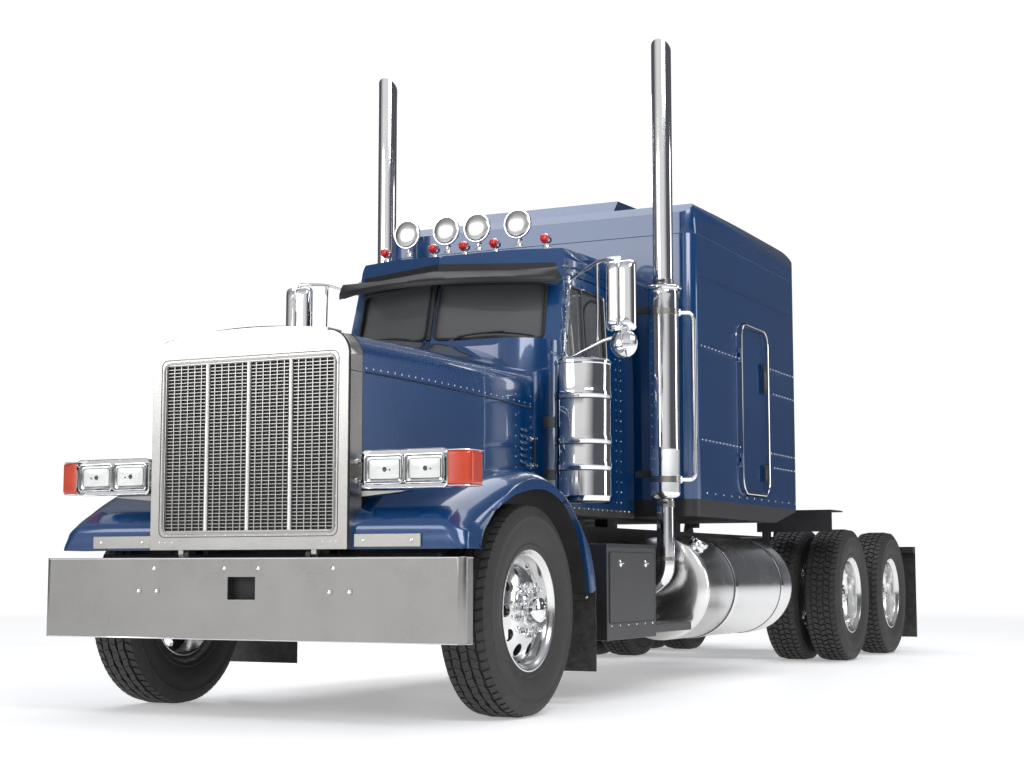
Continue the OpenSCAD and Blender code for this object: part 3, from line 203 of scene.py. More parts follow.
def make_brushed():
    """Fine parallel lines of brushed or rolled metal, long in one direction."""
    tree, w, came, out = new_group(
        "BrushedLines",
        [("Squeeze", VECTOR, (1.0, 40.0, 40.0)), ("Scale", FLOAT, 30.0)],
        [("Height", FLOAT), ("Mask", FLOAT)],
    )
    squeeze = w.add("ShaderNodeVectorMath", operation="MULTIPLY")
    w.link(w.place(), squeeze.inputs[0])
    w.link(came.outputs["Squeeze"], squeeze.inputs[1])
    lines = w.noise(squeeze.outputs[0], came.outputs["Scale"], 4.0, 0.6)
    w.link(lines, out.inputs["Height"])
    w.link(w.span(lines, 0.35, 0.65), out.inputs["Mask"])
    return tree


def make_grain():
    """Moulded or cast grain: small cells over fine noise."""
    tree, w, came, out = new_group(
        "MouldGrain",
        [("Cell Scale", FLOAT, 900.0), ("Noise Scale", FLOAT, 300.0)],
        [("Height", FLOAT), ("Mask", FLOAT)],
    )
    place = w.place()
    cells = w.add("ShaderNodeTexVoronoi", feature="SMOOTH_F1")
    w.link(place, cells.inputs["Vector"])
    w.link(came.outputs["Cell Scale"], cells.inputs["Scale"])
    noise = w.noise(place, came.outputs["Noise Scale"], 4.0, 0.6)
    w.link(w.math("ADD", cells.outputs["Distance"], noise), out.inputs["Height"])
    w.link(noise, out.inputs["Mask"])
    return tree


def make_weave():
    """Woven cloth: two crossing sets of threads, each over and under the other."""
    tree, w, came, out = new_group(
        "ClothWeave",
        [("Threads", FLOAT, 420.0)],
        [("Height", FLOAT), ("Mask", FLOAT)],
    )
    place = w.place()
    parts = w.height(place)
    run = w.math("MULTIPLY", parts[0], came.outputs["Threads"])
    fall = w.math("ADD", parts[1], parts[2])
    cross = w.math("MULTIPLY", fall, came.outputs["Threads"])
    warp = w.math("ABSOLUTE", w.math("SINE", w.math("MULTIPLY", run, math.pi)))
    weft = w.math("ABSOLUTE", w.math("SINE", w.math("MULTIPLY", cross, math.pi)))
    turn = w.math("FLOOR", run)
    other = w.math("FLOOR", cross)
    even = w.math("PINGPONG", w.math("ADD", turn, other), 1.0)
    over = w.math("MULTIPLY", warp, even)
    under = w.math("MULTIPLY", weft, w.math("SUBTRACT", 1.0, even))
    height = w.math("ADD", over, under)
    w.link(height, out.inputs["Height"])
    w.link(w.span(w.noise(place, 240.0, 4.0), 0.35, 0.65), out.inputs["Mask"])
    return tree


def make_wear():
    """Scuffs and hairline scratches that break a gloss."""
    tree, w, came, out = new_group(
        "FineScratches",
        [("Scale", FLOAT, 9.0), ("Width", FLOAT, 0.012), ("Amount", FLOAT, 0.5)],
        [("Mask", FLOAT)],
    )
    place = w.place()
    bent = w.add("ShaderNodeVectorMath", operation="ADD")
    twist = w.add("ShaderNodeTexNoise")
    w.link(place, twist.inputs["Vector"])
    twist.inputs["Scale"].default_value = 3.0
    w.link(place, bent.inputs[0])
    w.link(twist.outputs["Color"], bent.inputs[1])
    cells = w.add("ShaderNodeTexVoronoi", feature="DISTANCE_TO_EDGE")
    w.link(bent.outputs[0], cells.inputs["Vector"])
    w.link(came.outputs["Scale"], cells.inputs["Scale"])
    line = w.span(cells.outputs["Distance"], 0.0, came.outputs["Width"], 1.0, 0.0)
    patch = w.span(w.noise(place, 5.0, 4.0), 0.5, 0.62)
    mask = w.math("MULTIPLY", w.math("MULTIPLY", line, patch), came.outputs["Amount"], clamp=True)
    w.link(mask, out.inputs["Mask"])
    return tree


GROUPS = {}


def make_groups():
    GROUPS.update(
        drift=make_drift(),
        dust=make_dust(),
        brushed=make_brushed(),
        grain=make_grain(),
        weave=make_weave(),
        scratches=make_wear(),
    )


# ---- finishes ------------------------------------------------------------------------------

FINISHES = {}


def start_finish(name):
    """A material with an empty Principled shader, and its wiring."""
    material = bpy.data.materials.new(name)
    material.use_nodes = True
    w = Wiring(material.node_tree)
    w.nodes.clear()
    shader = w.add("ShaderNodeBsdfPrincipled")
    out = w.add("ShaderNodeOutputMaterial")
    w.link(shader.outputs["BSDF"], out.inputs["Surface"])
    FINISHES[name] = material
    return w, shader


def use(w, name, **values):
    node = w.add("ShaderNodeGroup")
    node.node_tree = GROUPS[name]
    for key, value in values.items():
        w.feed(node.inputs[key.replace("_", " ")], value)
    return node.outputs


def bump(w, shader, height, strength, distance):
    node = w.add("ShaderNodeBump")
    node.inputs["Strength"].default_value = strength
    node.inputs["Distance"].default_value = distance
    w.link(height, node.inputs["Height"])
    w.link(node.outputs["Normal"], shader.inputs["Normal"])


def rgb(colour, factor=1.0):
    return (colour[0] * factor, colour[1] * factor, colour[2] * factor, 1.0)


def make_paint(name, colour, dust_top, roughness=0.24):
    """Deep two-stage body paint: flake under a clear coat, with faint orange peel."""
    w, shader = start_finish(name)
    drift = use(w, "drift", Broad_Scale=1.3, Fine_Scale=900.0, Fine_Share=0.35)
    dust = use(w, "dust", Top=dust_top, Amount=0.22, Grain_Scale=14.0)
    tone = w.blend(drift["Mask"], rgb(colour, 0.86), rgb(colour, 1.16))
    w.feed(shader.inputs["Base Color"], w.blend(dust["Mask"], tone, rgb((0.12, 0.11, 0.1))))
    w.feed(
        shader.inputs["Roughness"],
        w.math("ADD", w.span(drift["Mask"], 0, 1, roughness - 0.03, roughness + 0.03), dust["Mask"]),
    )
    shader.inputs["Metallic"].default_value = 0.15
    shader.inputs["Coat Weight"].default_value = 1.0
    shader.inputs["Coat Roughness"].default_value = 0.03
    peel = w.noise(w.place(), 130.0, 2.0)
    bump(w, shader, peel, 0.015, 0.0004)


def make_metal(name, colour, roughness, squeeze=None, scale=30.0, spread=0.06, depth=0.1, marks=0.3):
    """Bare metal, mirror bright or brushed, with smudges and hairlines in its gloss."""
    w, shader = start_finish(name)
    drift = use(w, "drift", Broad_Scale=5.0, Fine_Scale=80.0, Fine_Share=0.4)
    scratch = use(w, "scratches", Scale=14.0, Width=0.01, Amount=marks)
    w.feed(shader.inputs["Base Color"], w.blend(drift["Mask"], rgb(colour, 0.93), rgb(colour)))
    rough = w.span(drift["Mask"], 0, 1, roughness, roughness + spread)
    rough = w.math("ADD", rough, w.math("MULTIPLY", scratch["Mask"], 0.2), clamp=True)
    if squeeze:
        lines = use(w, "brushed", Squeeze=squeeze, Scale=scale)
        rough = w.math("ADD", rough, w.math("MULTIPLY", lines["Mask"], 0.08), clamp=True)
        bump(w, shader, lines["Height"], depth, 0.0004)
    else:
        bump(w, shader, w.noise(w.place(), 40.0, 2.0), 0.02, 0.0008)
    w.feed(shader.inputs["Roughness"], rough)
    shader.inputs["Metallic"].default_value = 1.0


def make_satin(name, colour, roughness, cells=None, grit=0.3, dust_top=1.3, dust_amount=0.5, metallic=0.0):
    """Satin paint, cast iron, rubber or moulded plastic, by its grain and dust."""
    w, shader = start_finish(name)
    drift = use(w, "drift", Broad_Scale=4.0, Fine_Scale=120.0, Fine_Share=0.5)
    dust = use(w, "dust", Top=dust_top, Amount=dust_amount, Grain_Scale=22.0)
    tone = w.blend(drift["Mask"], rgb(colour, 0.75), rgb(colour, 1.3))
    w.feed(shader.inputs["Base Color"], w.blend(dust["Mask"], tone, rgb((0.13, 0.115, 0.1))))
    rough = w.span(drift["Mask"], 0, 1, roughness - 0.06, roughness + 0.06)
    w.feed(shader.inputs["Roughness"], w.math("ADD", rough, w.math("MULTIPLY", dust["Mask"], 0.3),
                                              clamp=True))
    shader.inputs["Metallic"].default_value = metallic
    grain = use(w, "grain", Cell_Scale=cells or 600.0, Noise_Scale=(cells or 600.0) / 3)
    bump(w, shader, grain["Height"], grit, 0.0006)


def make_lens(name, colour, glow, ribs):
    """Tinted moulded lens with ribs on its inner face."""
    w, shader = start_finish(name)
    drift = use(w, "drift", Broad_Scale=9.0, Fine_Scale=150.0, Fine_Share=0.3)
    tone = w.blend(drift["Mask"], rgb(colour, 0.8), rgb(colour, 1.1))
    w.feed(shader.inputs["Base Color"], tone)
    w.feed(shader.inputs["Emission Color"], tone)
    shader.inputs["Emission Strength"].default_value = glow
    w.feed(shader.inputs["Roughness"], w.span(drift["Mask"], 0, 1, 0.1, 0.18))
    shader.inputs["Coat Weight"].default_value = 0.6
    line = w.math("SINE", w.math("MULTIPLY", w.height(w.place())[2], ribs))
    bump(w, shader, line, 0.35, 0.0008)


def make_glass(name, colour, tint, clear):
    """Clear or tinted safety glass."""
    w, shader = start_finish(name)
    drift = use(w, "drift", Broad_Scale=3.0, Fine_Scale=70.0, Fine_Share=0.3)
    w.feed(shader.inputs["Base Color"], w.blend(drift["Mask"], rgb(colour, tint), rgb(colour, tint * 1.03)))
    shader.inputs["Roughness"].default_value = 0.0
    shader.inputs["Transmission Weight"].default_value = clear
    shader.inputs["IOR"].default_value = 1.45
    FINISHES[name].use_backface_culling = False


def make_cloth(name, colour, fleck, threads):
    """Woven seat cloth with a lighter fleck and a soft sheen."""
    w, shader = start_finish(name)
    weave = use(w, "weave", Threads=threads)
    drift = use(w, "drift", Broad_Scale=7.0, Fine_Scale=260.0, Fine_Share=0.6)
    base = w.blend(weave["Height"], rgb(colour, 0.55), rgb(colour, 1.2))
    mask = w.math("MULTIPLY", drift["Mask"], weave["Mask"])
    w.feed(shader.inputs["Base Color"], w.blend(w.math("MULTIPLY", mask, 0.45), base, rgb(fleck)))
    w.feed(shader.inputs["Roughness"], w.span(weave["Height"], 0, 1, 0.95, 0.8))
    shader.inputs["Sheen Weight"].default_value = 0.3
    bump(w, shader, weave["Height"], 0.5, 0.0009)


def make_tyre():
    """Tyre rubber: its tone drifts over the surface, and it is dustier towards the ground."""
    w, shader = start_finish("tyre_rubber")
    drift = use(w, "drift", Broad_Scale=6.0, Fine_Scale=180.0, Fine_Share=0.5)
    dust = use(w, "dust", Top=1.1, Amount=0.35, Grain_Scale=30.0)
    tone = w.blend(drift["Mask"], rgb((0.014, 0.014, 0.015)), rgb((0.028, 0.027, 0.026)))
    w.feed(shader.inputs["Base Color"], w.blend(dust["Mask"], tone, rgb((0.075, 0.068, 0.06))))
    w.feed(shader.inputs["Roughness"], w.span(drift["Mask"], 0, 1, 0.5, 0.72))
    grain = use(w, "grain", Cell_Scale=420.0, Noise_Scale=160.0)
    bump(w, shader, grain["Height"], 0.3, 0.0006)


def make_finishes(colours):
    make_groups()
    blue = tuple(colours.body_blue)
    make_paint("body_blue", blue, 1.0)
    # Black of the visor blade; on the back plates over the windscreen header it is painted shadow.
    make_satin("visor_black_and_painted_shade", (0.004, 0.004, 0.0045), 0.5, 900.0, 0.1, 0.1, 0.05)
    make_metal("bright_chrome", (0.84, 0.84, 0.85), 0.03)
    make_metal("stainless", tuple(colours.stainless), 0.24, (1.0, 60.0, 60.0), 22.0, 0.07, 0.08, 0.5)
    bright = tuple(1.4 * c for c in colours.stainless)
    make_metal("surround_steel", bright, 0.24, (1.0, 60.0, 60.0), 22.0, 0.07, 0.08, 0.5)
    make_metal("bar_steel", (0.95, 0.95, 0.93), 0.3, None, 30.0, 0.05, 0.1, 0.1)
    make_metal("tank_aluminium", (0.78, 0.775, 0.76), 0.14, (1.0, 30.0, 1.0), 30.0, 0.07, 0.08, 0.6)
    make_metal("rim_aluminium", (0.74, 0.74, 0.73), 0.16, None, 30.0, 0.07, 0.1, 0.5)
    make_metal("dark_steel", (0.12, 0.12, 0.125), 0.38, None, 30.0, 0.12, 0.1, 0.5)
    make_satin("frame_black", (0.016, 0.016, 0.018), 0.42, 500.0, 0.15, 1.2, 0.4)
    make_satin("cast_grey", (0.055, 0.056, 0.06), 0.6, 260.0, 0.5, 1.3, 0.7, 0.3)
    make_satin("radiator_black", (0.01, 0.01, 0.011), 0.7, 700.0, 0.2, 1.0, 0.4)
    make_satin("cab_plastic", (0.022, 0.023, 0.025), 0.55, 1400.0, 0.4, 0.5, 0.1)
    make_satin("trim_grey", (0.1, 0.1, 0.105), 0.7, 900.0, 0.35, 0.5, 0.1)
    make_satin("flap_rubber", (0.013, 0.013, 0.014), 0.6, 300.0, 0.35, 1.0, 0.5)
    make_satin("diamond_plate", (0.2, 0.2, 0.2), 0.32, 60.0, 0.8, 0.9, 0.4, 0.9)
    make_lens("amber", (0.5, 0.036, 0.004), 0.05, 900.0)
    make_lens("red_lens", (0.6, 0.012, 0.008), 0.12, 1400.0)
    make_lens("lamp_white", (0.86, 0.86, 0.85), 0.7, 1100.0)
    make_metal("lamp_cover", (0.5, 0.5, 0.5), 0.22, None, 30.0, 0.05, 0.1, 0.1)
    make_glass("window_glass", (0.2, 0.205, 0.205), 1.0, 0.5)
    make_metal("mirror_glass", (0.9, 0.91, 0.92), 0.01, None, 30.0, 0.01, 0.1, 0.1)
    make_glass("lamp_glass", (0.95, 0.96, 0.96), 1.0, 1.0)
    make_cloth("seat_cloth", (0.075, 0.08, 0.095), (0.2, 0.21, 0.24), 420.0)
    make_cloth("bunk_cloth", (0.13, 0.13, 0.15), (0.24, 0.24, 0.26), 300.0)
    make_tyre()


# ---- mesh building -------------------------------------------------------------------------


class Build:
    """Gathers vertices and faces of one piece; each face remembers its finish."""

    def __init__(self):
        self.points, self.faces, self.marks, self.finishes = [], [], [], []

    def put(self, points, faces, finish):
        """Adds a set of points and the faces between them."""
        if finish not in self.finishes:
            self.finishes.append(finish)
        mark = self.finishes.index(finish)
        base = len(self.points)
        self.points.extend(Vector(p) for p in points)
        self.faces.extend([base + i for i in face] for face in faces)
        self.marks.extend([mark] * len(faces))

    def box(self, low, high, finish):
        (a, b, c), (d, e, f) = low, high
        points = [(a, b, c), (d, b, c), (d, e, c), (a, e, c), (a, b, f), (d, b, f), (d, e, f), (a, e, f)]
        self.put(points, BOX_FACES, finish)

    def grid(self, rows, finish, closed=False):
        """Quads between rows of points of one length; closed joins each row's ends."""
        n = len(rows[0])
        faces = []
        for i in range(len(rows) - 1):
            for j in range(n if closed else n - 1):
                k = (j + 1) % n
                faces.append((i * n + j, i * n + k, (i + 1) * n + k, (i + 1) * n + j))
        self.put([p for row in rows for p in row], faces, finish)

    def loft(self, rows, finish, caps=True):
        """Closed rings joined in order, with flat caps at both ends."""
        self.grid(rows, finish, closed=True)
        if caps:
            n = len(rows[0])
            self.put(rows[0], [tuple(reversed(range(n)))], finish)
            self.put(rows[-1], [tuple(range(n))], finish)

    def extrude(self, outline, axis, start, end, finish):
        """A flat outline of two coordinates, drawn out along an axis from start to end."""
        rows = [[insert(p, axis, at) for p in outline] for at in (start, end)]
        self.loft(rows, finish)

    def lathe(self, profile, centre, axis, finish, count=48, sweep=math.tau, turn=0.0):
        """Profile points (radius, along) turned round an axis through centre."""
        centre = Vector(centre)
        along, side, up = axes_of(axis)
        whole = abs(sweep - math.tau) < 1e-6
        steps = count if whole else count + 1
        rows = []
        for r, h in profile:
            row = []
            for i in range(steps):
                a = turn + sweep * i / count
                row.append(centre + along * h + (side * math.cos(a) + up * math.sin(a)) * r)
            rows.append(row)
        self.grid(rows, finish, closed=whole)

    def tube(self, path, r, finish, count=12, closed=False):
        """A round tube along a path; r is one radius or one for each point."""
        path = [Vector(p) for p in path]
        n = len(path)
        radii = r if isinstance(r, (list, tuple)) else [r] * n
        across = None
        rows = []
        for i, at in enumerate(path):
            if closed:
                run = path[(i + 1) % n] - path[i - 1]
            else:
                run = path[min(i + 1, n - 1)] - path[max(i - 1, 0)]
            run.normalize()
            if across is None:
                across = run.orthogonal().normalized()
            across = (across - run * across.dot(run)).normalized()
            over = run.cross(across)
            rows.append(
                [
                    at + (across * math.cos(math.tau * k / count) + over * math.sin(math.tau * k / count))
                    * radii[i]
                    for k in range(count)
                ]
            )
        if closed:
            rows.append(rows[0])
        self.loft(rows, finish, caps=not closed)

    def dome(self, at, normal, r, finish, count=8, flat=0.55):
        """A low domed head, such as a rivet's, standing on a surface."""
        profile = [(r, 0.0), (r * 0.86, r * flat * 0.55), (r * 0.5, r * flat * 0.9), (TIP, r * flat)]
        self.lathe(profile, at, normal, finish, count)

    def bolt(self, at, normal, r, h, finish, washer=True):
        """A hexagon head on its washer."""
        if washer:
            self.lathe([(r * 1.35, 0), (r * 1.35, h * 0.16), (TIP, h * 0.17)], at, normal, finish, 20)
        self.lathe([(r, 0), (r, h * 0.82), (r * 0.86, h), (TIP, h)], at, normal, finish, 6)

    def mirrored(self):
        """This piece's copy on the other side of the centreline."""
        other = Build()
        other.finishes = list(self.finishes)
        other.points = [Vector((-p.x, p.y, p.z)) for p in self.points]
        other.faces = [list(reversed(f)) for f in self.faces]
        other.marks = list(self.marks)
        return other

    def shifted(self, offset):
        other = Build()
        other.finishes = list(self.finishes)
        other.points = [p + Vector(offset) for p in self.points]
        other.faces = [list(f) for f in self.faces]
        other.marks = list(self.marks)
        return other

    def take(self, other):
        """Adds all of another build."""
        for mark, finish in enumerate(other.finishes):
            faces = [f for f, m in zip(other.faces, other.marks) if m == mark]
            if finish not in self.finishes:
                self.finishes.append(finish)
            base = len(self.points)
            self.faces.extend([base + i for i in face] for face in faces)
            self.marks.extend([self.finishes.index(finish)] * len(faces))
            self.points.extend(other.points)

    def finish(self, name, body, slot=None, replaces=(), bevel=0.0, angle=35.0, subdivide=0, weld=True):
        """Makes the object, shades it, and sets the body it rides on."""
        mesh = bpy.data.meshes.new(name)
        mesh.from_pydata(self.points, [], self.faces)
        mesh.validate()
        for label in self.finishes:
            mesh.materials.append(FINISHES[label])
        if len(mesh.polygons) == len(self.marks):
            mesh.polygons.foreach_set("material_index", self.marks)
        piece = bpy.data.objects.new(name, mesh)
        bpy.context.scene.collection.objects.link(piece)
        if weld:
            join = piece.modifiers.new("join", "WELD")
            join.merge_threshold = 0.00002
            apply_modifiers(piece)
        clean_up(piece, angle, subdivide == 0)
        if bevel:
            edge = piece.modifiers.new("edges", "BEVEL")
            edge.width, edge.segments = bevel, 2
            edge.limit_method, edge.angle_limit = "ANGLE", math.radians(angle)
            edge.use_clamp_overlap = True
            edge.harden_normals = True
        if subdivide:
            smooth = piece.modifiers.new("smooth", "SUBSURF")
            smooth.levels = smooth.render_levels = subdivide
        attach(piece, body)
        if replaces:
            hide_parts(*replaces)
        return piece


BOX_FACES = [(0, 3, 2, 1), (4, 5, 6, 7), (0, 1, 5, 4), (1, 2, 6, 5), (2, 3, 7, 6), (3, 0, 4, 7)]


def apply_modifiers(piece):
    """Puts the result of a piece's modifiers into its mesh."""
    graph = bpy.context.evaluated_depsgraph_get()
    made = bpy.data.meshes.new_from_object(piece.evaluated_get(graph))
    piece.modifiers.clear()
    old = piece.data
    piece.data = made
    bpy.data.meshes.remove(old)


def clean_up(piece, angle, sharpen=True):
    """Outward faces and smooth shading with the sharp edges kept."""
    work = bmesh.new()
    work.from_mesh(piece.data)
    bmesh.ops.recalc_face_normals(work, faces=work.faces)
    work.to_mesh(piece.data)
    work.free()
    piece.data.shade_smooth()
    if sharpen:
        piece.data.set_sharp_from_angle(angle=math.radians(angle))


def insert(pair, axis, at):
    """A point from two coordinates and its place along the third axis."""
    a, b = pair
    return Vector({"x": (at, a, b), "y": (a, at, b), "z": (a, b, at)}[axis])


def axes_of(axis):
    """The axis and two directions square to it, for a right-handed turn."""
    along = Vector(axis).normalized()
    side = Z_AXIS.cross(along)
    if side.length < 1e-6:
        side = X_AXIS.copy()
    side.normalize()
    return along, side, along.cross(side)


def arc(centre, r, start, end, count):
    """Points of an arc in two coordinates, angles in degrees."""
    made = []
    for i in range(count + 1):
        a = math.radians(start + (end - start) * i / count)
        made.append((centre[0] + r * math.cos(a), centre[1] + r * math.sin(a)))
    return made


def round_rectangle(low, high, r, count=6):
    """Outline of a rectangle with round corners."""
    (a, b), (c, d) = low, high
    return (
        arc((c - r, b + r), r, -90, 0, count)
        + arc((c - r, d - r), r, 0, 90, count)
        + arc((a + r, d - r), r, 90, 180, count)
        + arc((a + r, b + r), r, 180, 270, count)
    )


def curve_through(points, steps=8, closed=False):
    """A smooth path through points."""
    points = [Vector(p) for p in points]
    n = len(points)
    made = []
    for i in range(n if closed else n - 1):
        if closed:
            p0, p1, p2, p3 = (points[(i + k - 1) % n] for k in range(4))
        else:
            p0 = points[max(i - 1, 0)]
            p1, p2 = points[i], points[i + 1]
            p3 = points[min(i + 2, n - 1)]
        for k in range(steps):
            t = k / steps
            made.append(
                0.5
                * (
                    2 * p1
                    + (p2 - p0) * t
                    + (2 * p0 - 5 * p1 + 4 * p2 - p3) * t * t
                    + (3 * p1 - 3 * p2 + p3 - p0) * t ** 3
                )
            )
    if not closed:
        made.append(points[-1])
    return made


def rounded_path(corners, r, steps=6):
    """A path of straight runs with its corners turned on radius r."""
    corners = [Vector(c) for c in corners]
    made = [corners[0]]
    for before, at, after in zip(corners, corners[1:], corners[2:]):
        into, out = (before - at), (after - at)
        cut = min(r, into.length / 2.05, out.length / 2.05)
        a, b = at + into.normalized() * cut, at + out.normalized() * cut
        for i in range(steps + 1):
            t = i / steps
            made.append(a * (1 - t) ** 2 + at * 2 * t * (1 - t) + b * t * t)
    made.append(corners[-1])
    return made


def row_of(start, end, pitch):
    """Evenly spaced points from start to end."""
    start, end = Vector(start), Vector(end)
    count = max(1, round((end - start).length / pitch))
    return [start.lerp(end, i / count) for i in range(count + 1)]


def dress(node, finish, bevel=0.0, angle=40.0):
    """Gives a frame node its finish, and eases its edges with modifiers."""
    piece = NODES[node]
    piece.data.materials.clear()
    piece.data.materials.append(FINISHES[finish])
    if bevel:
        join = piece.modifiers.new("join", "WELD")
        join.merge_threshold = 0.00002
        edge = piece.modifiers.new("edges", "BEVEL")
        edge.width, edge.segments = bevel, 3
        edge.limit_method, edge.angle_limit = "ANGLE", math.radians(angle)
        edge.use_clamp_overlap = True
        edge.harden_normals = True
    return piece


# ---- sizes and colours a user may change -----------------------------------------------------


class TruckColours(bpy.types.PropertyGroup):
    """Colours of the painted and bright parts, as linear red, green and blue."""

    body_blue: bpy.props.FloatVectorProperty(
        name="Body paint", description="Colour of the cab, sleeper, bonnet and fenders",
        default=(0.0002, 0.042, 0.15), min=0.0, max=1.0, size=3, subtype="COLOR",
    )
    stainless: bpy.props.FloatVectorProperty(
        name="Stainless steel", description="Colour of the bumper and the grille surround",
        default=(0.33, 0.324, 0.31), min=0.0, max=1.0, size=3, subtype="COLOR",
    )
    floor: bpy.props.FloatVectorProperty(
        name="Floor", description="Colour of the studio floor",
        default=(0.93, 0.93, 0.935), min=0.0, max=1.0, size=3, subtype="COLOR",
    )


class TruckSizes(bpy.types.PropertyGroup):
    """Sizes of the details added round the frame."""

    rivet_radius: bpy.props.FloatProperty(
        name="Rivet radius", description="Radius of a body rivet's head",
        default=0.0065, min=0.003, max=0.02, unit="LENGTH",
    )
    rivet_pitch: bpy.props.FloatProperty(
        name="Rivet pitch", description="Distance between body rivets in a row",
        default=0.062, min=0.02, max=0.3, unit="LENGTH",
    )
    lug_nuts: bpy.props.IntProperty(
        name="Lug nuts", description="Number of nuts that hold a wheel", default=10, min=6, max=12,
    )
    hand_holes: bpy.props.IntProperty(
        name="Hand holes", description="Number of round holes in a wheel disc", default=10, min=5, max=12,
    )
    tread_depth: bpy.props.FloatProperty(
        name="Tread depth", description="Depth of the tyre's grooves",
        default=0.014, min=0.004, max=0.02, unit="LENGTH",
    )
    slot_rows: bpy.props.IntProperty(
        name="Slot rows", description="Rows of slots in the grille mesh", default=48, min=20, max=80,
    )
    slot_columns: bpy.props.IntProperty(
        name="Slot columns", description="Columns of slots between two wide bars", default=6, min=3, max=10,
    )
    camera_lens: bpy.props.FloatProperty(
        name="Camera lens", description="Focal length of the camera", default=60.05, unit="CAMERA",
    )
    camera_yaw: bpy.props.FloatProperty(
        name="Camera turn", description="Turn of the camera to the left of straight ahead",
        default=math.radians(25.92), subtype="ANGLE", unit="ROTATION",
    )
    camera_pitch: bpy.props.FloatProperty(
        name="Camera pitch", description="Tilt of the camera above the horizon",
        default=math.radians(6.218), subtype="ANGLE", unit="ROTATION",
    )


def colours():
    return bpy.context.scene.truck_colours


def sizes():
    return bpy.context.scene.truck_sizes


def done():
    return {"FINISHED"}


# ---- bonnet --------------------------------------------------------------------------------

HOOD_LOW, HOOD_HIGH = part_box("hood")
SURROUND_LOW, SURROUND_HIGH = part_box("grille_shell")
FENDER_LOW, FENDER_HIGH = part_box("front_fenders")
BONNET_SHOULDER = HOOD_HIGH.z - 0.172
BONNET_EDGE_R = 0.12
BONNET_SKIN = 0.012
FRONT_HALF = SURROUND_HIGH.x - 0.006
FRONT_CROWN = SURROUND_HIGH.z - 0.022


def bonnet_ring(t, inset=0.0, count=12):
    """Outline of the bonnet's section from its left low edge over the top; t is 0 in front, 1 at the cab."""
    half = FRONT_HALF + (HOOD_HIGH.x - FRONT_HALF) * t - inset
    crown = FRONT_CROWN + (HOOD_HIGH.z - FRONT_CROWN) * t - inset
    shoulder = BONNET_SHOULDER - inset
    r = BONNET_EDGE_R - inset
    low = HOOD_LOW.z
    ring = [(half, low + (shoulder - r - low) * i / 6) for i in range(6)]
    flank = arc((half - r, shoulder - r), r, 0, 62, count)
    ring += flank
    start_x, start_z = flank[-1]
    rise = crown - shoulder
    for i in range(1, 17):
        u = 1 - i / 16
        x = start_x * u
        crown_z = shoulder + rise * (1 - (x / (half - r)) ** 2) if x < half - r else shoulder
        ease = min(1.0, (1 - u) * 3.2)
        ring.append((x, start_z + (crown_z - start_z) * (1 - (1 - ease) ** 3)))
    other = [(-x, z) for x, z in reversed(ring[:-1])]
    return ring + other


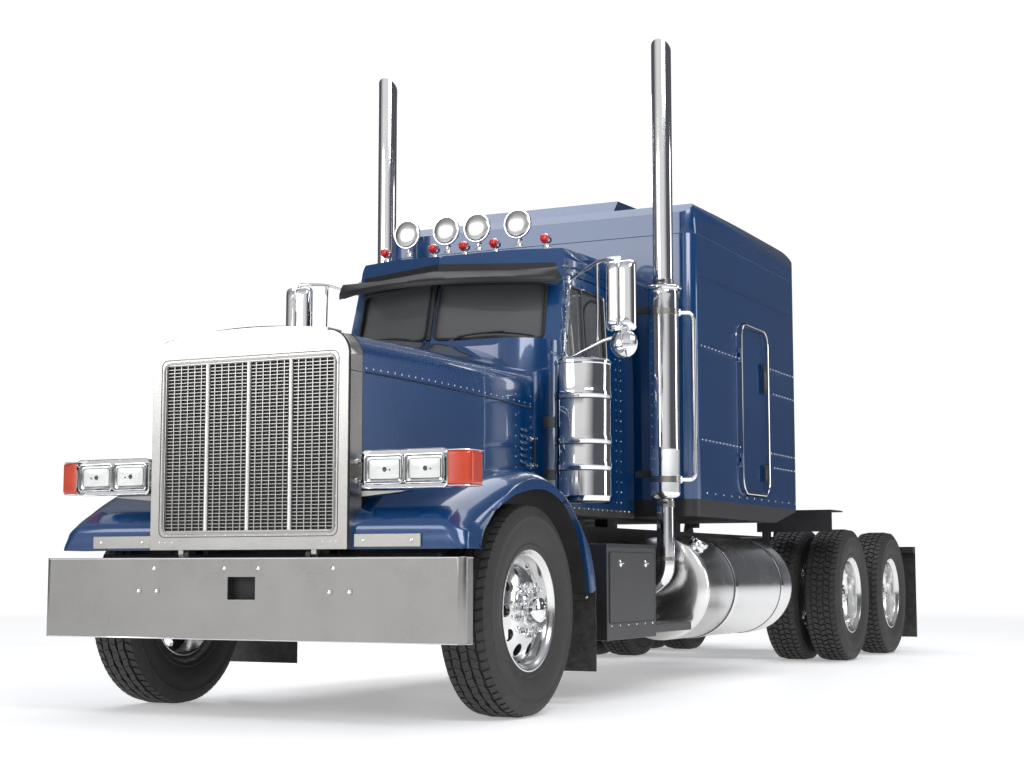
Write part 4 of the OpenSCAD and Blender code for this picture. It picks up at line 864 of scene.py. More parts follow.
class TRUCK_OT_bonnet(bpy.types.Operator):
    """Bonnet skin with its side seam, rivets, latches and louvres"""

    bl_idname = "truck.bonnet"
    bl_label = "Bonnet"

    def execute(self, context):
        skin = Build()
        front, rear = HOOD_LOW.y, HOOD_HIGH.y
        lengths = [i / 20 for i in range(21)]
        outer = [[Vector((x, front + (rear - front) * t, z)) for x, z in bonnet_ring(t)] for t in lengths]
        inner = [
            [Vector((x, front + (rear - front) * t, z)) for x, z in bonnet_ring(t, BONNET_SKIN)]
            for t in lengths
        ]
        skin.grid(outer, "body_blue")
        skin.grid(inner, "frame_black")
        for a, b in ((outer[0], inner[0]), (outer[-1], inner[-1])):
            skin.grid([a, b], "body_blue")
        for k in (0, -1):
            skin.grid([[row[k] for row in outer], [row[k] for row in inner]], "body_blue")
        skin.finish("bonnet_skin", "hood", "body_blue", ("hood",), angle=30)
        self.trim(front, rear)
        return done()

    def side_x(self, y, z, stand=0.0):
        """How far out the bonnet's side is at a height, and a little proud of it."""
        t = (y - HOOD_LOW.y) / (HOOD_HIGH.y - HOOD_LOW.y)
        half = FRONT_HALF + (HOOD_HIGH.x - FRONT_HALF) * t
        edge = BONNET_SHOULDER - BONNET_EDGE_R
        if z > edge:
            up = min(z - edge, BONNET_EDGE_R * 0.98)
            half -= BONNET_EDGE_R - math.sqrt(BONNET_EDGE_R ** 2 - up ** 2)
        return half + stand

    def seam_z(self, y):
        """Height of the side seam; it falls a little towards the cab."""
        t = (y - HOOD_LOW.y) / (HOOD_HIGH.y - HOOD_LOW.y)
        return SURROUND_HIGH.z - 0.235 - 0.045 * t ** 2

    def trim(self, front, rear):
        trim = Build()
        r = sizes().rivet_radius
        ys = [front + 0.03 + (rear - front - 0.06) * i / 24 for i in range(25)]
        for s in SIDES:
            seam = [(s * self.side_x(y, self.seam_z(y), 0.0005), y, self.seam_z(y)) for y in ys]
            trim.tube(seam, 0.0028, "radiator_black", 6)
            lip = [(s * self.side_x(y, self.seam_z(y), 0.001), y, self.seam_z(y) + 0.006) for y in ys]
            trim.tube(lip, 0.0025, "body_blue", 6)
            count = round((rear - front) / sizes().rivet_pitch)
            for i in range(count):
                y = front + 0.04 + (rear - front - 0.08) * i / (count - 1)
                z = self.seam_z(y) + 0.024
                trim.dome((s * self.side_x(y, z, -0.0005), y, z), (s, 0, 0), r * 0.8, "bright_chrome")
            for i in range(9):
                z = HOOD_LOW.z + 0.11 + i * 0.058
                for y in (rear - 0.2, rear - 0.035):
                    trim.dome((s * self.side_x(y, z, -0.0005), y, z), (s, 0, 0), r * 0.75, "bright_chrome")
            self.louvres(trim, s, rear)
            self.latch(trim, s, rear)
        bead = [
            Vector((x * 1.001, front + 0.004, z + 0.001)) for x, z in bonnet_ring(0.0)
        ]
        trim.tube(bead, 0.0045, "radiator_black", 6)
        ridge = [
            (0, front + 0.01 + (rear - front - 0.02) * i / 20, 0) for i in range(21)
        ]
        ridge = [
            Vector((0, y, FRONT_CROWN + (HOOD_HIGH.z - FRONT_CROWN) * (y - front) / (rear - front) + 0.001))
            for _, y, _ in ridge
        ]
        trim.tube(ridge, 0.004, "bright_chrome", 8)
        trim.finish("bonnet_trim", "hood", "bright_chrome")

    def louvres(self, trim, s, rear):
        """A stack of pressed vents low on the bonnet's rear side."""
        for i in range(6):
            z = HOOD_LOW.z + 0.2 + i * 0.036
            x = self.side_x(rear - 0.12, z)
            for y0, y1 in ((rear - 0.155, rear - 0.075),):
                rows = []
                for k, y in enumerate((y0, y0 + 0.012, y1 - 0.012, y1)):
                    swell = 0.0 if k in (0, 3) else 0.011
                    rows.append([(s * (x - 0.001), y, z - 0.013), (s * (x + swell), y, z - 0.009),
                                 (s * (x + swell * 0.9), y, z - 0.002), (s * (x - 0.001), y, z + 0.013)])
                trim.grid(rows, "body_blue")

    def latch(self, trim, s, rear):
        """Rubber hold-down with its two chromed brackets."""
        y = rear - 0.015
        x = self.side_x(y, HOOD_LOW.z + 0.25)
        for z in (HOOD_LOW.z + 0.185, HOOD_LOW.z + 0.335):
            plate = Build()
            plate.extrude(round_rectangle((y - 0.02, z - 0.016), (y + 0.012, z + 0.016), 0.006), "x",
                          x - 0.001, x + 0.004, "bright_chrome")
            plate.lathe([(0.006, 0), (0.006, 0.02), (0.009, 0.021), (0.009, 0.026), (TIP, 0.027)],
                        (x + 0.003, y - 0.004, z), (1, 0, 0), "bright_chrome", 14)
            trim.take(plate if s > 0 else plate.mirrored())
        strap = [(s * (x + 0.016), y - 0.004, HOOD_LOW.z + 0.18 + 0.16 * i / 8) for i in range(9)]
        trim.tube(strap, [0.008 if i in (0, 8) else 0.0055 for i in range(9)], "flap_rubber", 10)


# ---- fenders -------------------------------------------------------------------------------


class TRUCK_OT_fenders(bpy.types.Operator):
    """Front fenders: rounded nose, arch lip, steel foot plates and rubber flaps"""

    bl_idname = "truck.fenders"
    bl_label = "Front fenders"

    arch_centre = (0.05, 0.5)
    arch_r = 0.682
    crown_centre = (0.066, 0.478)
    crown_r = 0.748

    def top_line(self, count=44):
        """Side outline of the fender's top, from the nose's foot round to the rear tip."""
        nose_y = FENDER_LOW.y - AXLE_Y
        low = FENDER_LOW.z + (0.819 - 0.612)
        cy, cz = self.crown_centre
        crown = cz + self.crown_r
        front = curve_through(
            [(0, nose_y, low), (0, nose_y, low + 0.06), (0, nose_y + 0.012, crown - 0.28),
             (0, nose_y + 0.11, crown - 0.198), (0, cy - 0.5, crown - 0.108), (0, cy - 0.29, crown - 0.04),
             (0, cy - 0.06, crown - 0.003)], 6,
        )
        line = [(p.y, p.z) for p in front]
        end = math.degrees(math.asin((FENDER_LOW.z - cz) / self.crown_r))
        return line + arc((cy, cz), self.crown_r, 88, end, count)[1:]

    def arch_point(self, y, z):
        """The point of the wheel arch that faces a point of the top line."""
        ay, az = self.arch_centre
        run = Vector((y - ay, z - az)).normalized()
        at = Vector((ay, az)) + run * (self.arch_r - 0.004)
        low = FENDER_LOW.z + (0.819 - 0.612)
        if y < -0.4 and at.y < low:
            at.y = low
            at.x = ay - math.sqrt(max(0.0, self.arch_r ** 2 - (low - az) ** 2))
        return at.x, at.y

    def execute(self, context):
        inner_x, outer_x = SURROUND_HIGH.x - 0.012, FENDER_HIGH.x
        line = self.top_line()
        r = 0.125
        for s in SIDES:
            skin = Build()
            rows = []
            for index, (y, z) in enumerate(line):
                before = line[max(index - 1, 0)]
                after = line[min(index + 1, len(line) - 1)]
                run = Vector((after[0] - before[0], after[1] - before[1])).normalized()
                inward = Vector((run.y, -run.x))
                back = min(max((y - (FENDER_LOW.y - AXLE_Y)) / 0.5, 0.0), 1.0)
                rise = min(max((z - 0.83) / 0.2, 0.0), 1.0)
                edge_r = 0.05 + (r - 0.05) * rise + 0.05 * rise * (1 - back)
                pull = 0.012 + 0.03 * rise * (1 - back)
                tip = outer_x - pull
                inner = min(inner_x, tip - 0.2)
                row = [(s * inner, ahead(y), z), (s * ((inner + tip) / 2), ahead(y), z)]
                for k in range(9):
                    a = math.pi / 2 * k / 8
                    x = tip - edge_r + edge_r * math.sin(a)
                    drop = edge_r * (1 - math.cos(a)) * (0.55 if y > 0.4 else 0.8)
                    p = Vector((y, z)) + inward * drop
                    row.append((s * x, ahead(p.x), p.y))
                ay, az = self.arch_point(y, z)
                side_y, side_z = row[-1][1] - AXLE_Y, row[-1][2]
                for share in (0.35, 0.7, 0.95):
                    row.append((s * tip, ahead(side_y + (ay - side_y) * share),
                                side_z + (az - side_z) * share))
                row.append((s * (tip - 0.004), ahead(ay), az))
                row.append((s * (tip - 0.03), ahead(ay), az))
                rows.append(row)
            skin.grid(rows, "body_blue")
            self.close_inside(skin, rows)
            skin.finish("fender_" + SIDE_NAME[s], "hood", "body_blue",
                        ("front_fenders",), angle=50)
            self.plates(s)
            self.flap(s)
        return done()

    def close_inside(self, skin, rows):
        """The dark liner under the skin, from the arch back to the splash panel."""
        liner = []
        for row in rows:
            x, y, z = row[-1]
            inner = row[0][0]
            liner.append([(x, y, z), ((x + inner) / 2, y, z), (inner, y, z), row[0]])
        skin.grid(liner, "frame_black")
        skin.grid([[row[0] for row in rows[:1]] + [rows[0][-1]], [rows[0][1], rows[0][-2]]], "body_blue")

    def plates(self, s):
        """Bright foot plate low on the fender's face, with its two bolts."""
        plate = Build()
        y = FENDER_LOW.y - 0.012
        plate.extrude(round_rectangle((s * 0.7735 - 0.1795, 0.829), (s * 0.7735 + 0.1795, 0.89), 0.004), "y",
                      y, y + 0.014, "surround_steel")
        for dx in (-0.13, 0.13):
            plate.dome((s * 0.7735 + dx, y, 0.86), (0, -1, 0), 0.01, "bright_chrome", 12)
        plate.finish("fender_plate_" + SIDE_NAME[s], "hood", "polished", bevel=0.002)

    def flap(self, s):
        """Rubber flap hung behind the wheel, with its steel clamp bar and bolts."""
        low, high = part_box("front_mudflaps")
        flap = Build()
        inner = 0.7
        rows = []
        for i in range(13):
            z = low.z + (high.z - low.z) * i / 12
            sag = 0.0035 * math.sin(i * 1.1)
            rows.append(
                [Vector((s * (inner + (high.x - inner) * k / 10),
                         low.y + 0.001 + sag * math.sin(k * 0.8) + 0.003, z))
                 for k in range(11)]
            )
        flap.grid(rows, "flap_rubber")
        flap.grid([[p + Vector((0, 0.006, 0)) for p in row] for row in rows], "flap_rubber")
        for a in (rows[0], rows[-1]):
            flap.grid([a, [p + Vector((0, 0.006, 0)) for p in a]], "flap_rubber")
        for k in (0, -1):
            flap.grid([[row[k] for row in rows], [row[k] + Vector((0, 0.006, 0)) for row in rows]],
                      "flap_rubber")
        bar_low, bar_high = sorted((s * (inner + 0.02), s * (high.x - 0.03)))
        flap.box((bar_low, low.y - 0.001, high.z - 0.05), (bar_high, low.y + 0.004, high.z - 0.014),
                 "surround_steel")
        for i in range(5):
            x = s * (inner + 0.05 + i * 0.095)
            flap.dome((x, low.y - 0.001, high.z - 0.032), (0, -1, 0), 0.009, "bright_chrome", 10)
        flap.finish("front_flap_" + SIDE_NAME[s], "hood", "flap_rubber", ("front_mudflaps",), angle=40)


# ---- grille --------------------------------------------------------------------------------


def surround_outline():
    """Outer edge of the grille surround from one foot over its crowned top to the other."""
    half, top, low = SURROUND_HIGH.x, SURROUND_HIGH.z, SURROUND_LOW.z + 0.09
    r, drop = 0.12, 0.038
    edge = [(half, low + (top - drop - r - low) * i / 6) for i in range(6)]
    edge += arc((half - r, top - drop - r), r, 0, 70, 10)
    x0, z0 = edge[-1]
    edge += [(x0 * (1 - i / 12), z0 + (top - z0) * (1 - (1 - i / 12) ** 2)) for i in range(1, 13)]
    return edge + [(-x, z) for x, z in reversed(edge[:-1])]


class TRUCK_OT_grille(bpy.types.Operator):
    """Grille: slotted mesh, three wide bars, framed surround with its rivets"""

    bl_idname = "truck.grille"
    bl_label = "Grille"

    def execute(self, context):
        low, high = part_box("grille_mesh")
        half = high.x
        face = low.y + 0.006
        bars = 3
        mesh = Build()
        columns = sizes().slot_columns * (bars + 1)
        rows = sizes().slot_rows
        pitch = (high.z - low.z) / rows
        depth = high.y - face
        for i in range(rows + 1):
            z = low.z + i * pitch
            t = 0.0016
            outline = [(face + 0.002, z - t), (face + 0.004, z - t - 0.0003), (face + depth * 0.9, z - 0.001),
                       (face + depth * 0.9, z + 0.001), (face + 0.004, z + t + 0.0003), (face + 0.002, z + t)]
            mesh.extrude(outline, "x", -half, half, "surround_steel")
        for i in range(columns + 1):
            x = -half + 2 * half * i / columns
            w = 0.0021
            outline = [(x - w, face + 0.001), (x + w, face + 0.001), (x + w * 0.6, face + depth * 0.8),
                       (x - w * 0.6, face + depth * 0.8)]
            mesh.extrude(outline, "z", low.z, high.z, "surround_steel")
        for i in range(1, bars + 1):
            x = -half + 2 * half * i / (bars + 1)
            outline = [(x - 0.0125, face + 0.006)] + arc((x, face + 0.002), 0.0125, 200, 340, 8) + [
                (x + 0.0125, face + 0.006)]
            mesh.extrude(outline, "z", low.z + 0.001, high.z - 0.001, "bar_steel")
        mesh.box((-half, face + depth * 0.92, low.z), (half, face + depth, high.z), "radiator_black")
        mesh.finish("grille_slots", "hood", "polished", ("grille_mesh",), angle=30, weld=False)
        self.frame(half, low, high)
        dress("grille_shell", "surround_steel", 0.004)
        return done()

    def frame(self, half, low, high):
        """Raised bead round the opening, black outer edge and small rivets."""
        rim = Build()
        face = SURROUND_LOW.y
        for grow, r, finish in ((0.012, 0.0055, "surround_steel"), (0.03, 0.002, "dark_steel")):
            path = [
                (x, face - 0.0005, z)
                for x, z in round_rectangle((-half - grow, low.z - grow), (half + grow, high.z + grow),
                                            0.035, 8)
            ]
            rim.tube(path, r, finish, 8, closed=True)
        head = sizes().rivet_radius * 0.62
        spots = []
        for z in (low.z - 0.021, high.z + 0.021):
            spots += [(x, face, z) for x, _, _ in row_of((-half + 0.02, 0, 0), (half - 0.02, 0, 0), 0.122)]
        for x in (-half - 0.021, half + 0.021):
            spots += [(x, face, p.z) for p in row_of((0, 0, low.z + 0.03), (0, 0, high.z - 0.03), 0.135)]
        for spot in spots:
            rim.dome(spot, (0, -1, 0), head, "bright_chrome")
        for s in SIDES:
            for x in (0.44, 0.48, 0.515):
                rim.dome((s * x, face, low.z - 0.055), (0, -1, 0), head, "bright_chrome")
        outline = surround_outline()
        rim.tube([(x * 1.0005, face + 0.011, z) for x, z in outline], 0.0055, "radiator_black", 6)
        edge = SURROUND_HIGH.y - 0.001
        for s in SIDES:
            seam = SURROUND_HIGH.z - 0.235
            rim.tube([(s * (SURROUND_HIGH.x + 0.0003), face + 0.008, seam),
                      (s * (SURROUND_HIGH.x + 0.0003), edge, seam)], 0.002, "radiator_black", 6)
            for i in range(12):
                z = SURROUND_LOW.z + 0.08 + i * 0.08
                rim.dome((s * SURROUND_HIGH.x, edge - 0.018, z), (s, 0, 0), head * 0.8, "bright_chrome")
        rim.finish("grille_frame", "hood", "polished")


# ---- lamps ---------------------------------------------------------------------------------


class TRUCK_OT_lamps(bpy.types.Operator):
    """Headlamp pods with twin rectangular lamps, and the wrap-round turn signals"""

    bl_idname = "truck.lamps"
    bl_label = "Headlamps and turn signals"

    def execute(self, context):
        low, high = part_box("headlamps")
        pod_in, pod_out = 0.62, high.x
        for s in SIDES:
            pod = Build()
            self.housing(pod, pod_in, pod_out, low, high)
            mid = (pod_in + pod_out) / 2
            gap = 0.012
            for a, b in ((pod_in + 0.022, mid - gap / 2), (mid + gap / 2, pod_out - 0.02)):
                self.lamp(pod, a, b, low, high)
            self.bracket(pod, pod_in, low, high)
            made = pod if s > 0 else pod.mirrored()
            name = "headlamp_" + SIDE_NAME[s]
            made.finish(name, "hood", "bright_chrome", ("headlamps",) if s > 0 else (), angle=30)
            self.signal(s)
        return done()

    def housing(self, pod, a, b, low, high):
        """Chromed shell, domed to the rear, with a frame round its open face."""
        rings = []
        depth = high.y - low.y
        for y, shrink in ((0.0, 0.004), (0.004, 0.0), (0.05, 0.0), (0.1, 0.006), (0.14, 0.022), (0.162, 0.05),
                          (depth - 0.001, 0.075)):
            r = 0.026 + shrink * 0.4
            ring = round_rectangle((a + shrink, low.z + shrink * 0.8),
                                   (b - shrink, high.z - shrink * 0.8), r, 6)
            rings.append([Vector((x, low.y + y, z)) for x, z in ring])
        pod.grid(rings, "bright_chrome", closed=True)
        pod.put(rings[-1], [tuple(range(len(rings[-1])))], "bright_chrome")
        back = [Vector((x, low.y + 0.03, z)) for x, z in
                round_rectangle((a + 0.005, low.z + 0.005), (b - 0.005, high.z - 0.005), 0.022, 6)]
        pod.grid([rings[0], [Vector((p.x, low.y + 0.006, p.z)) for p in back], back], "bright_chrome",
                 closed=True)
        pod.put(back, [tuple(range(len(back)))], "bright_chrome")

    def lamp(self, pod, a, b, low, high):
        """One rectangular lamp: bezel, stepped reflector, bulb and crowned glass."""
        bottom, top = low.z + 0.026, high.z - 0.026
        face = low.y + 0.002
        rim = [Vector((x, face, z)) for x, z in round_rectangle((a, bottom), (b, top), 0.016, 6)]
        pod.tube(rim, 0.0042, "bright_chrome", 8, closed=True)
        steps = ((0.0, 0.004), (0.012, 0.009), (0.013, 0.02), (0.022, 0.024), (0.026, 0.04))
        rings = []
        for y, shrink in steps:
            ring = round_rectangle((a + shrink, bottom + shrink), (b - shrink, top - shrink), 0.01, 6)
            rings.append([Vector((x, face + y, z)) for x, z in ring])
        pod.grid(rings[:4], "bright_chrome", closed=True)
        pod.grid(rings[3:], "lamp_white", closed=True)
        for ring in (rings[0], rings[2]):
            pod.tube([p - Y_AXIS * 0.0015 for p in ring], 0.0018, "radiator_black", 6, closed=True)
        pod.put(rings[-1], [tuple(range(len(rings[-1])))], "lamp_white")
        cx, cz = (a + b) / 2, (bottom + top) / 2
        bulb = [(TIP, 0.0), (0.006, 0.001), (0.009, 0.006), (0.009, 0.014), (0.012, 0.02)]
        pod.lathe(bulb, (cx, face + 0.004, cz), (0, 1, 0), "dark_steel", 16)
        pod.dome((cx + 0.03, face + 0.012, cz - 0.003), (0, -1, 0), 0.005, "dark_steel", 10)
        rows = []
        n = 12
        for i in range(n + 1):
            row = []
            for k in range(n + 1):
                u, v = i / n * 2 - 1, k / n * 2 - 1
                crown = 0.005 * (1 - u * u) * (1 - v * v)
                x = cx + u * (b - a - 0.01) / 2
                z = cz + v * (top - bottom - 0.01) / 2
                row.append((x, face + 0.0035 - crown, z))
            rows.append(row)
        pod.grid(rows, "lamp_glass")
        pod.grid([[Vector(p) + Vector((0, 0.003, 0)) for p in row] for row in rows], "lamp_glass")

    def bracket(self, pod, a, low, high):
        """Chromed arm and its fin from the grille surround to the pod."""
        x0 = SURROUND_HIGH.x + 0.0005
        y = low.y + 0.06
        for z in (low.z + 0.045, high.z - 0.05):
            pod.tube([(x0, y, z), (a + 0.01, y, z)], 0.011, "bright_chrome", 12)
            pod.lathe([(0.02, 0), (0.02, 0.005), (0.0115, 0.009)], (x0, y, z), (1, 0, 0), "bright_chrome", 18)
        pod.box((x0, y + 0.004, low.z + 0.03), (a + 0.002, y + 0.02, high.z - 0.045), "stainless")
        fin = [(a - 0.01, low.z - 0.006), (a + 0.235, low.z - 0.008), (a + 0.2, low.z - 0.014),
               (a - 0.01, low.z - 0.032)]
        pod.extrude(fin, "y", low.y + 0.03, low.y + 0.12, "stainless")

    def signal(self, s):
        """Amber lens that wraps round the fender side of the pod."""
        low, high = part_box("turn_signals")
        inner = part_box("headlamps")[1].x + 0.001
        outer = high.x
        lens = Build()
        rings = []
        n = 26
        for i in range(n + 1):
            z = low.z + (high.z - low.z) * i / n
            rim = abs(i / n * 2 - 1)
            ease = 0.012 * max(0.0, (rim - 0.8) / 0.2) ** 2
            rib = 0.0012 * (i % 2)
            ring = [(inner, low.y + ease + 0.002), (inner + 0.035, low.y + ease),
                    (outer - 0.045, low.y + 0.008 + ease)]
            ring += arc((outer - 0.034 - ease, low.y + 0.042 + ease), 0.034 - rib, -80, 0, 6)
            ring += [(outer - ease - rib, high.y - 0.03), (outer - 0.012 - ease, high.y - 0.004),
                     (inner, high.y - 0.004)]
            rings.append([Vector((s * x, y, z)) for x, y in ring])
        lens.loft(rings, "amber")
        lens.finish("turn_signal_" + SIDE_NAME[s], "hood", "amber", ("turn_signals",) if s > 0 else (),
                    angle=50)
        trim = Build()
        for z in (low.z + 0.002, high.z - 0.002):
            path = [(s * inner, low.y - 0.001, z), (s * (outer - 0.04), low.y + 0.005, z),
                    (s * (outer - 0.002), low.y + 0.045, z), (s * (outer - 0.004), high.y - 0.012, z)]
            trim.tube(curve_through(path, 5), 0.0028, "bright_chrome", 8)
        ends = sorted((s * inner, s * (outer - 0.02)))
        trim.box((ends[0], high.y - 0.012, low.z + 0.004), (ends[1], high.y - 0.003, high.z - 0.004),
                 "cab_plastic")
        trim.finish("turn_signal_trim_" + SIDE_NAME[s], "hood", "bright_chrome")


# ---- bumper --------------------------------------------------------------------------------


class TRUCK_OT_bumper(bpy.types.Operator):
    """Bumper: brushed face with its rivets, bolts and folded hems"""

    bl_idname = "truck.bumper"
    bl_label = "Bumper"

    def execute(self, context):
        low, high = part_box("front_bumper")
        dress("front_bumper", "stainless", 0.0035)
        trim = Build()
        r = 0.0115
        for s in SIDES:
            for x, z in ((0.52, 0.731), (0.098, 0.731)):
                trim.dome((s * x, low.y + 0.0005, z), (0, -1, 0), r, "bright_chrome", 16)
            for x, z in ((0.5, 0.62), (0.61, 0.62)):
                trim.lathe([(0.017, 0), (0.017, 0.0025), (TIP, 0.003)], (s * x, low.y, z), (0, -1, 0),
                           "stainless", 20)
                trim.dome((s * x, low.y - 0.0025, z), (0, -1, 0), r, "bright_chrome", 16)
        for z in (low.z + 0.004, high.z - 0.004):
            trim.tube([(-high.x + 0.03, low.y + 0.002, z), (high.x - 0.03, low.y + 0.002, z)], 0.0035,
                      "bright_chrome", 8)
            for s in SIDES:
                trim.tube([(s * (high.x - 0.002), low.y + 0.03, z), (s * (high.x - 0.002), high.y, z)],
                          0.0035,
                          "bright_chrome", 8)
        hook = Build()
        hook.box((-0.079, low.y + 0.05, 0.57), (0.079, low.y + 0.056, 0.7), "radiator_black")
        trim.take(hook)
        trim.finish("bumper_trim", "chassis", "bright_chrome")
        # Black plate behind the bumper's top edge, across the gap under the bonnet and fenders: painted
        # shade.
        painted_shade_backing = Build()
        painted_shade_backing.box((-0.98, ahead(-0.645), 0.69), (0.98, ahead(-0.605), 0.8), "radiator_black")
        painted_shade_backing.finish("bumper_backing_painted_shade", "chassis", "frame_black")
        return done()


# ---- wheels --------------------------------------------------------------------------------


class Wheel:
    """One tyre and rim in its own frame: axis along +X, face towards +X, centre of tyre at 0."""

    def __init__(self, lugged):
        self.r, self.w = TYRE_R, TYRE_W
        self.lugged = lugged
        self.depth = sizes().tread_depth

    def tyre(self):
        """Sidewalls with rings and blocks, shoulder lugs and grooved or block tread."""
        made = Build()
        steps = 112
        half = self.w / 2
        rim_r = 0.288
        base = self.r - self.depth
        side = [
            (rim_r, -0.098), (rim_r + 0.004, -0.112), (rim_r + 0.02, -0.118), (rim_r + 0.03, -0.121),
            (rim_r + 0.033, -0.1235), (rim_r + 0.039, -0.1235), (rim_r + 0.042, -0.1215),
            (rim_r + 0.075, -0.1325), (rim_r + 0.11, -0.1385), (rim_r + 0.14, -0.1395),
                (rim_r + 0.165, -0.138),
            (rim_r + 0.168, -0.1395), (rim_r + 0.174, -0.139), (rim_r + 0.177, -0.136),
                (self.r - 0.035, -0.132),
        ]
        scale = half / 0.14
        left = [(r, x * scale) for r, x in side]
        for profile in (left, [(r, -x) for r, x in reversed(left)]):
            made.lathe(profile, ORIGIN, X_AXIS, "tyre_rubber", steps)
        made.lathe([(rim_r, -0.098 * scale), (rim_r - 0.002, 0), (rim_r, 0.098 * scale)], ORIGIN, X_AXIS,
                   "tyre_rubber", 64)
        shoulder = (self.r - 0.035, 0.132 * scale)
        made.lathe([(shoulder[0], -shoulder[1]), (base, -0.118 * scale), (base + 0.001, 0),
                    (base, 0.118 * scale),
                    (shoulder[0], shoulder[1])], ORIGIN, X_AXIS, "tyre_rubber", steps)
        self.tread(made, base, 0.121 * scale, shoulder)
        return made

    def tread(self, made, base, edge, shoulder):
        """Ribs with zig-zag sides; the drive tyres have open blocks between cross grooves."""
        ribs = 5
        pitch = 2 * edge / ribs
        blocks = 66
        for k in range(ribs):
            centre = -edge + pitch * (k + 0.5)
            half = pitch / 2 - 0.0052
            outer_rib = k in (0, ribs - 1)
            cut = (0.26 if outer_rib or self.lugged else 0.07)
            for i in range(blocks):
                skew = 0.25 * (1 if k % 2 else -1)
                a0 = math.tau * (i + (0.5 if k % 2 else 0)) / blocks
                a1 = a0 + math.tau / blocks * (1 - cut)
                top = self.r - (0.0035 if outer_rib else 0.0)
                zig = 0.004 * (1 if i % 2 else -1) * (0 if outer_rib else 1)
                corners = []
                for x, a in ((centre - half + zig, a0), (centre + half + zig, a0 + skew * math.tau / blocks),
                             (centre + half - zig, a1 + skew * math.tau / blocks), (centre - half - zig, a1)):
                    corners.append((x, a))
                self.block(made, corners, base - 0.001, top, shoulder if outer_rib else None, centre)

    def block(self, made, corners, low, high, shoulder, centre):
        """One tread block between two radii, its outer rib running down over the shoulder."""
        bottom = [Vector((x, math.cos(a) * low, math.sin(a) * low)) for x, a in corners]
        top = []
        for x, a in corners:
            r = high
            if shoulder and (x - centre) * centre > 0:
                r = high - 0.006
            top.append(Vector((x - (x - centre) * 0.06, math.cos(a) * r, math.sin(a) * r)))
        made.put(bottom + top, [(4, 5, 6, 7), (0, 1, 5, 4), (1, 2, 6, 5), (2, 3, 7, 6), (3, 0, 4, 7)],
                 "tyre_rubber")
        if shoulder:
            s = 1 if centre > 0 else -1
            out = [c for c in corners if (c[0] - centre) * centre > 0]
            a0, a1 = sorted(c[1] for c in out)
            r0, x0 = shoulder
            foot = [Vector((s * (x0 + 0.003), math.cos(a) * (r0 - 0.012), math.sin(a) * (r0 - 0.012)))
                    for a in (a0, a1)]
            inner = [Vector((s * (x0 - 0.006), math.cos(a) * (r0 - 0.012), math.sin(a) * (r0 - 0.012)))
                     for a in (a0, a1)]
            crest = [Vector((s * abs(out[0][0]), math.cos(a) * (high - 0.006), math.sin(a) * (high - 0.006)))
                     for a in (a0, a1)]
            back = [Vector((s * (abs(out[0][0]) - 0.008), math.cos(a) * (low - 0.004),
                            math.sin(a) * (low - 0.004)))
                    for a in (a0, a1)]
            points = foot + crest + inner + back
            made.put(points, [(0, 1, 3, 2), (0, 2, 6, 4), (1, 5, 7, 3), (4, 6, 7, 5)], "tyre_rubber")

    def rim(self, disc_out):
        """Polished rim whose disc face stands disc_out from the tyre's middle."""
        made = Build()
        flange = 0.3045
        lip = 0.112 * self.w / 0.28
        made.lathe(
            [(0.2635, -lip + 0.01), (0.2665, -lip + 0.012), (0.286, -lip), (flange, -lip - 0.004),
             (flange + 0.001, -lip),
             (0.289, -lip + 0.006), (0.272, -lip + 0.02), (0.268, 0), (0.272, lip - 0.02),
             (0.289, lip - 0.006),
             (flange + 0.001, lip), (flange - 0.001, lip + 0.004), (flange - 0.008, lip + 0.005),
             (0.2865, lip - 0.002), (0.281, lip - 0.012), (0.268, lip - 0.022), (0.262, lip - 0.05),
             (0.258, -0.02), (0.26, -lip + 0.014), (0.2635, -lip + 0.01)],
            ORIGIN, X_AXIS, "rim_aluminium", 96)
        self.disc(made, disc_out)
        return made

    def disc(self, made, face):
        """Dished disc between rim and hub, with its round hand holes cut through."""
        holes = sizes().hand_holes
        hole_r, ring_r = 0.031, 0.203
        thick = 0.02 if face > 0 else -0.02
        inner_r, outer_r = 0.141, 0.2605
        per = 16

        def dish(r):
            t = min(max((r - inner_r) / (outer_r - inner_r), 0.0), 1.0)
            return face - (0.052 * t ** 1.6) * (1 if face > 0 else -1)

        def at(r, a, back=0.0):
            return Vector((dish(r) - back, math.cos(a) * r, math.sin(a) * r))

        for i in range(holes):
            mid = math.tau * i / holes
            wedge = math.tau / holes
            hole, frame_ring = [], []
            for k in range(per):
                a = math.tau * k / per
                u, v = math.cos(a), math.sin(a)
                y, z = ring_r + u * hole_r, v * hole_r
                hole.append((math.hypot(y, z), mid + math.atan2(z, y)))
                reach = 1 / max(abs(u), abs(v))
                r = ring_r + u * reach * (outer_r - inner_r) / 2 + (u * reach) * 0.0
                r = min(max(r, inner_r), outer_r)
                r = (inner_r + outer_r) / 2 + u * reach * (outer_r - inner_r) / 2
                frame_ring.append((r, mid + v * reach * wedge / 2))
            edge = [(r + (ring_r - r) * -0.0, a) for r, a in hole]
            for back, flip in ((0.0, 1), (thick, -1)):
                rows = [[at(r, a, back) for r, a in frame_ring],
                        [at((r + q[0]) / 2, (a + q[1]) / 2, back) for (r, a), q in zip(frame_ring, hole)],
                        [at(r, a, back) for r, a in hole]]
                made.grid(rows if flip > 0 else rows[::-1], "rim_aluminium", closed=True)
            made.grid([[at(r, a, 0.0) for r, a in edge], [at(r, a, thick) for r, a in edge]], "rim_aluminium",
                      closed=True)
        sign = 1 if face > 0 else -1
        made.lathe([(inner_r, dish(inner_r)), (inner_r - 0.006, face + sign * 0.003),
                    (0.1, face + sign * 0.003),
                    (0.06, face + sign * 0.003)], ORIGIN, X_AXIS, "rim_aluminium", 64)
        made.lathe([(inner_r, dish(inner_r) - thick), (0.06, face - thick)], ORIGIN, X_AXIS,
                   "rim_aluminium", 48)
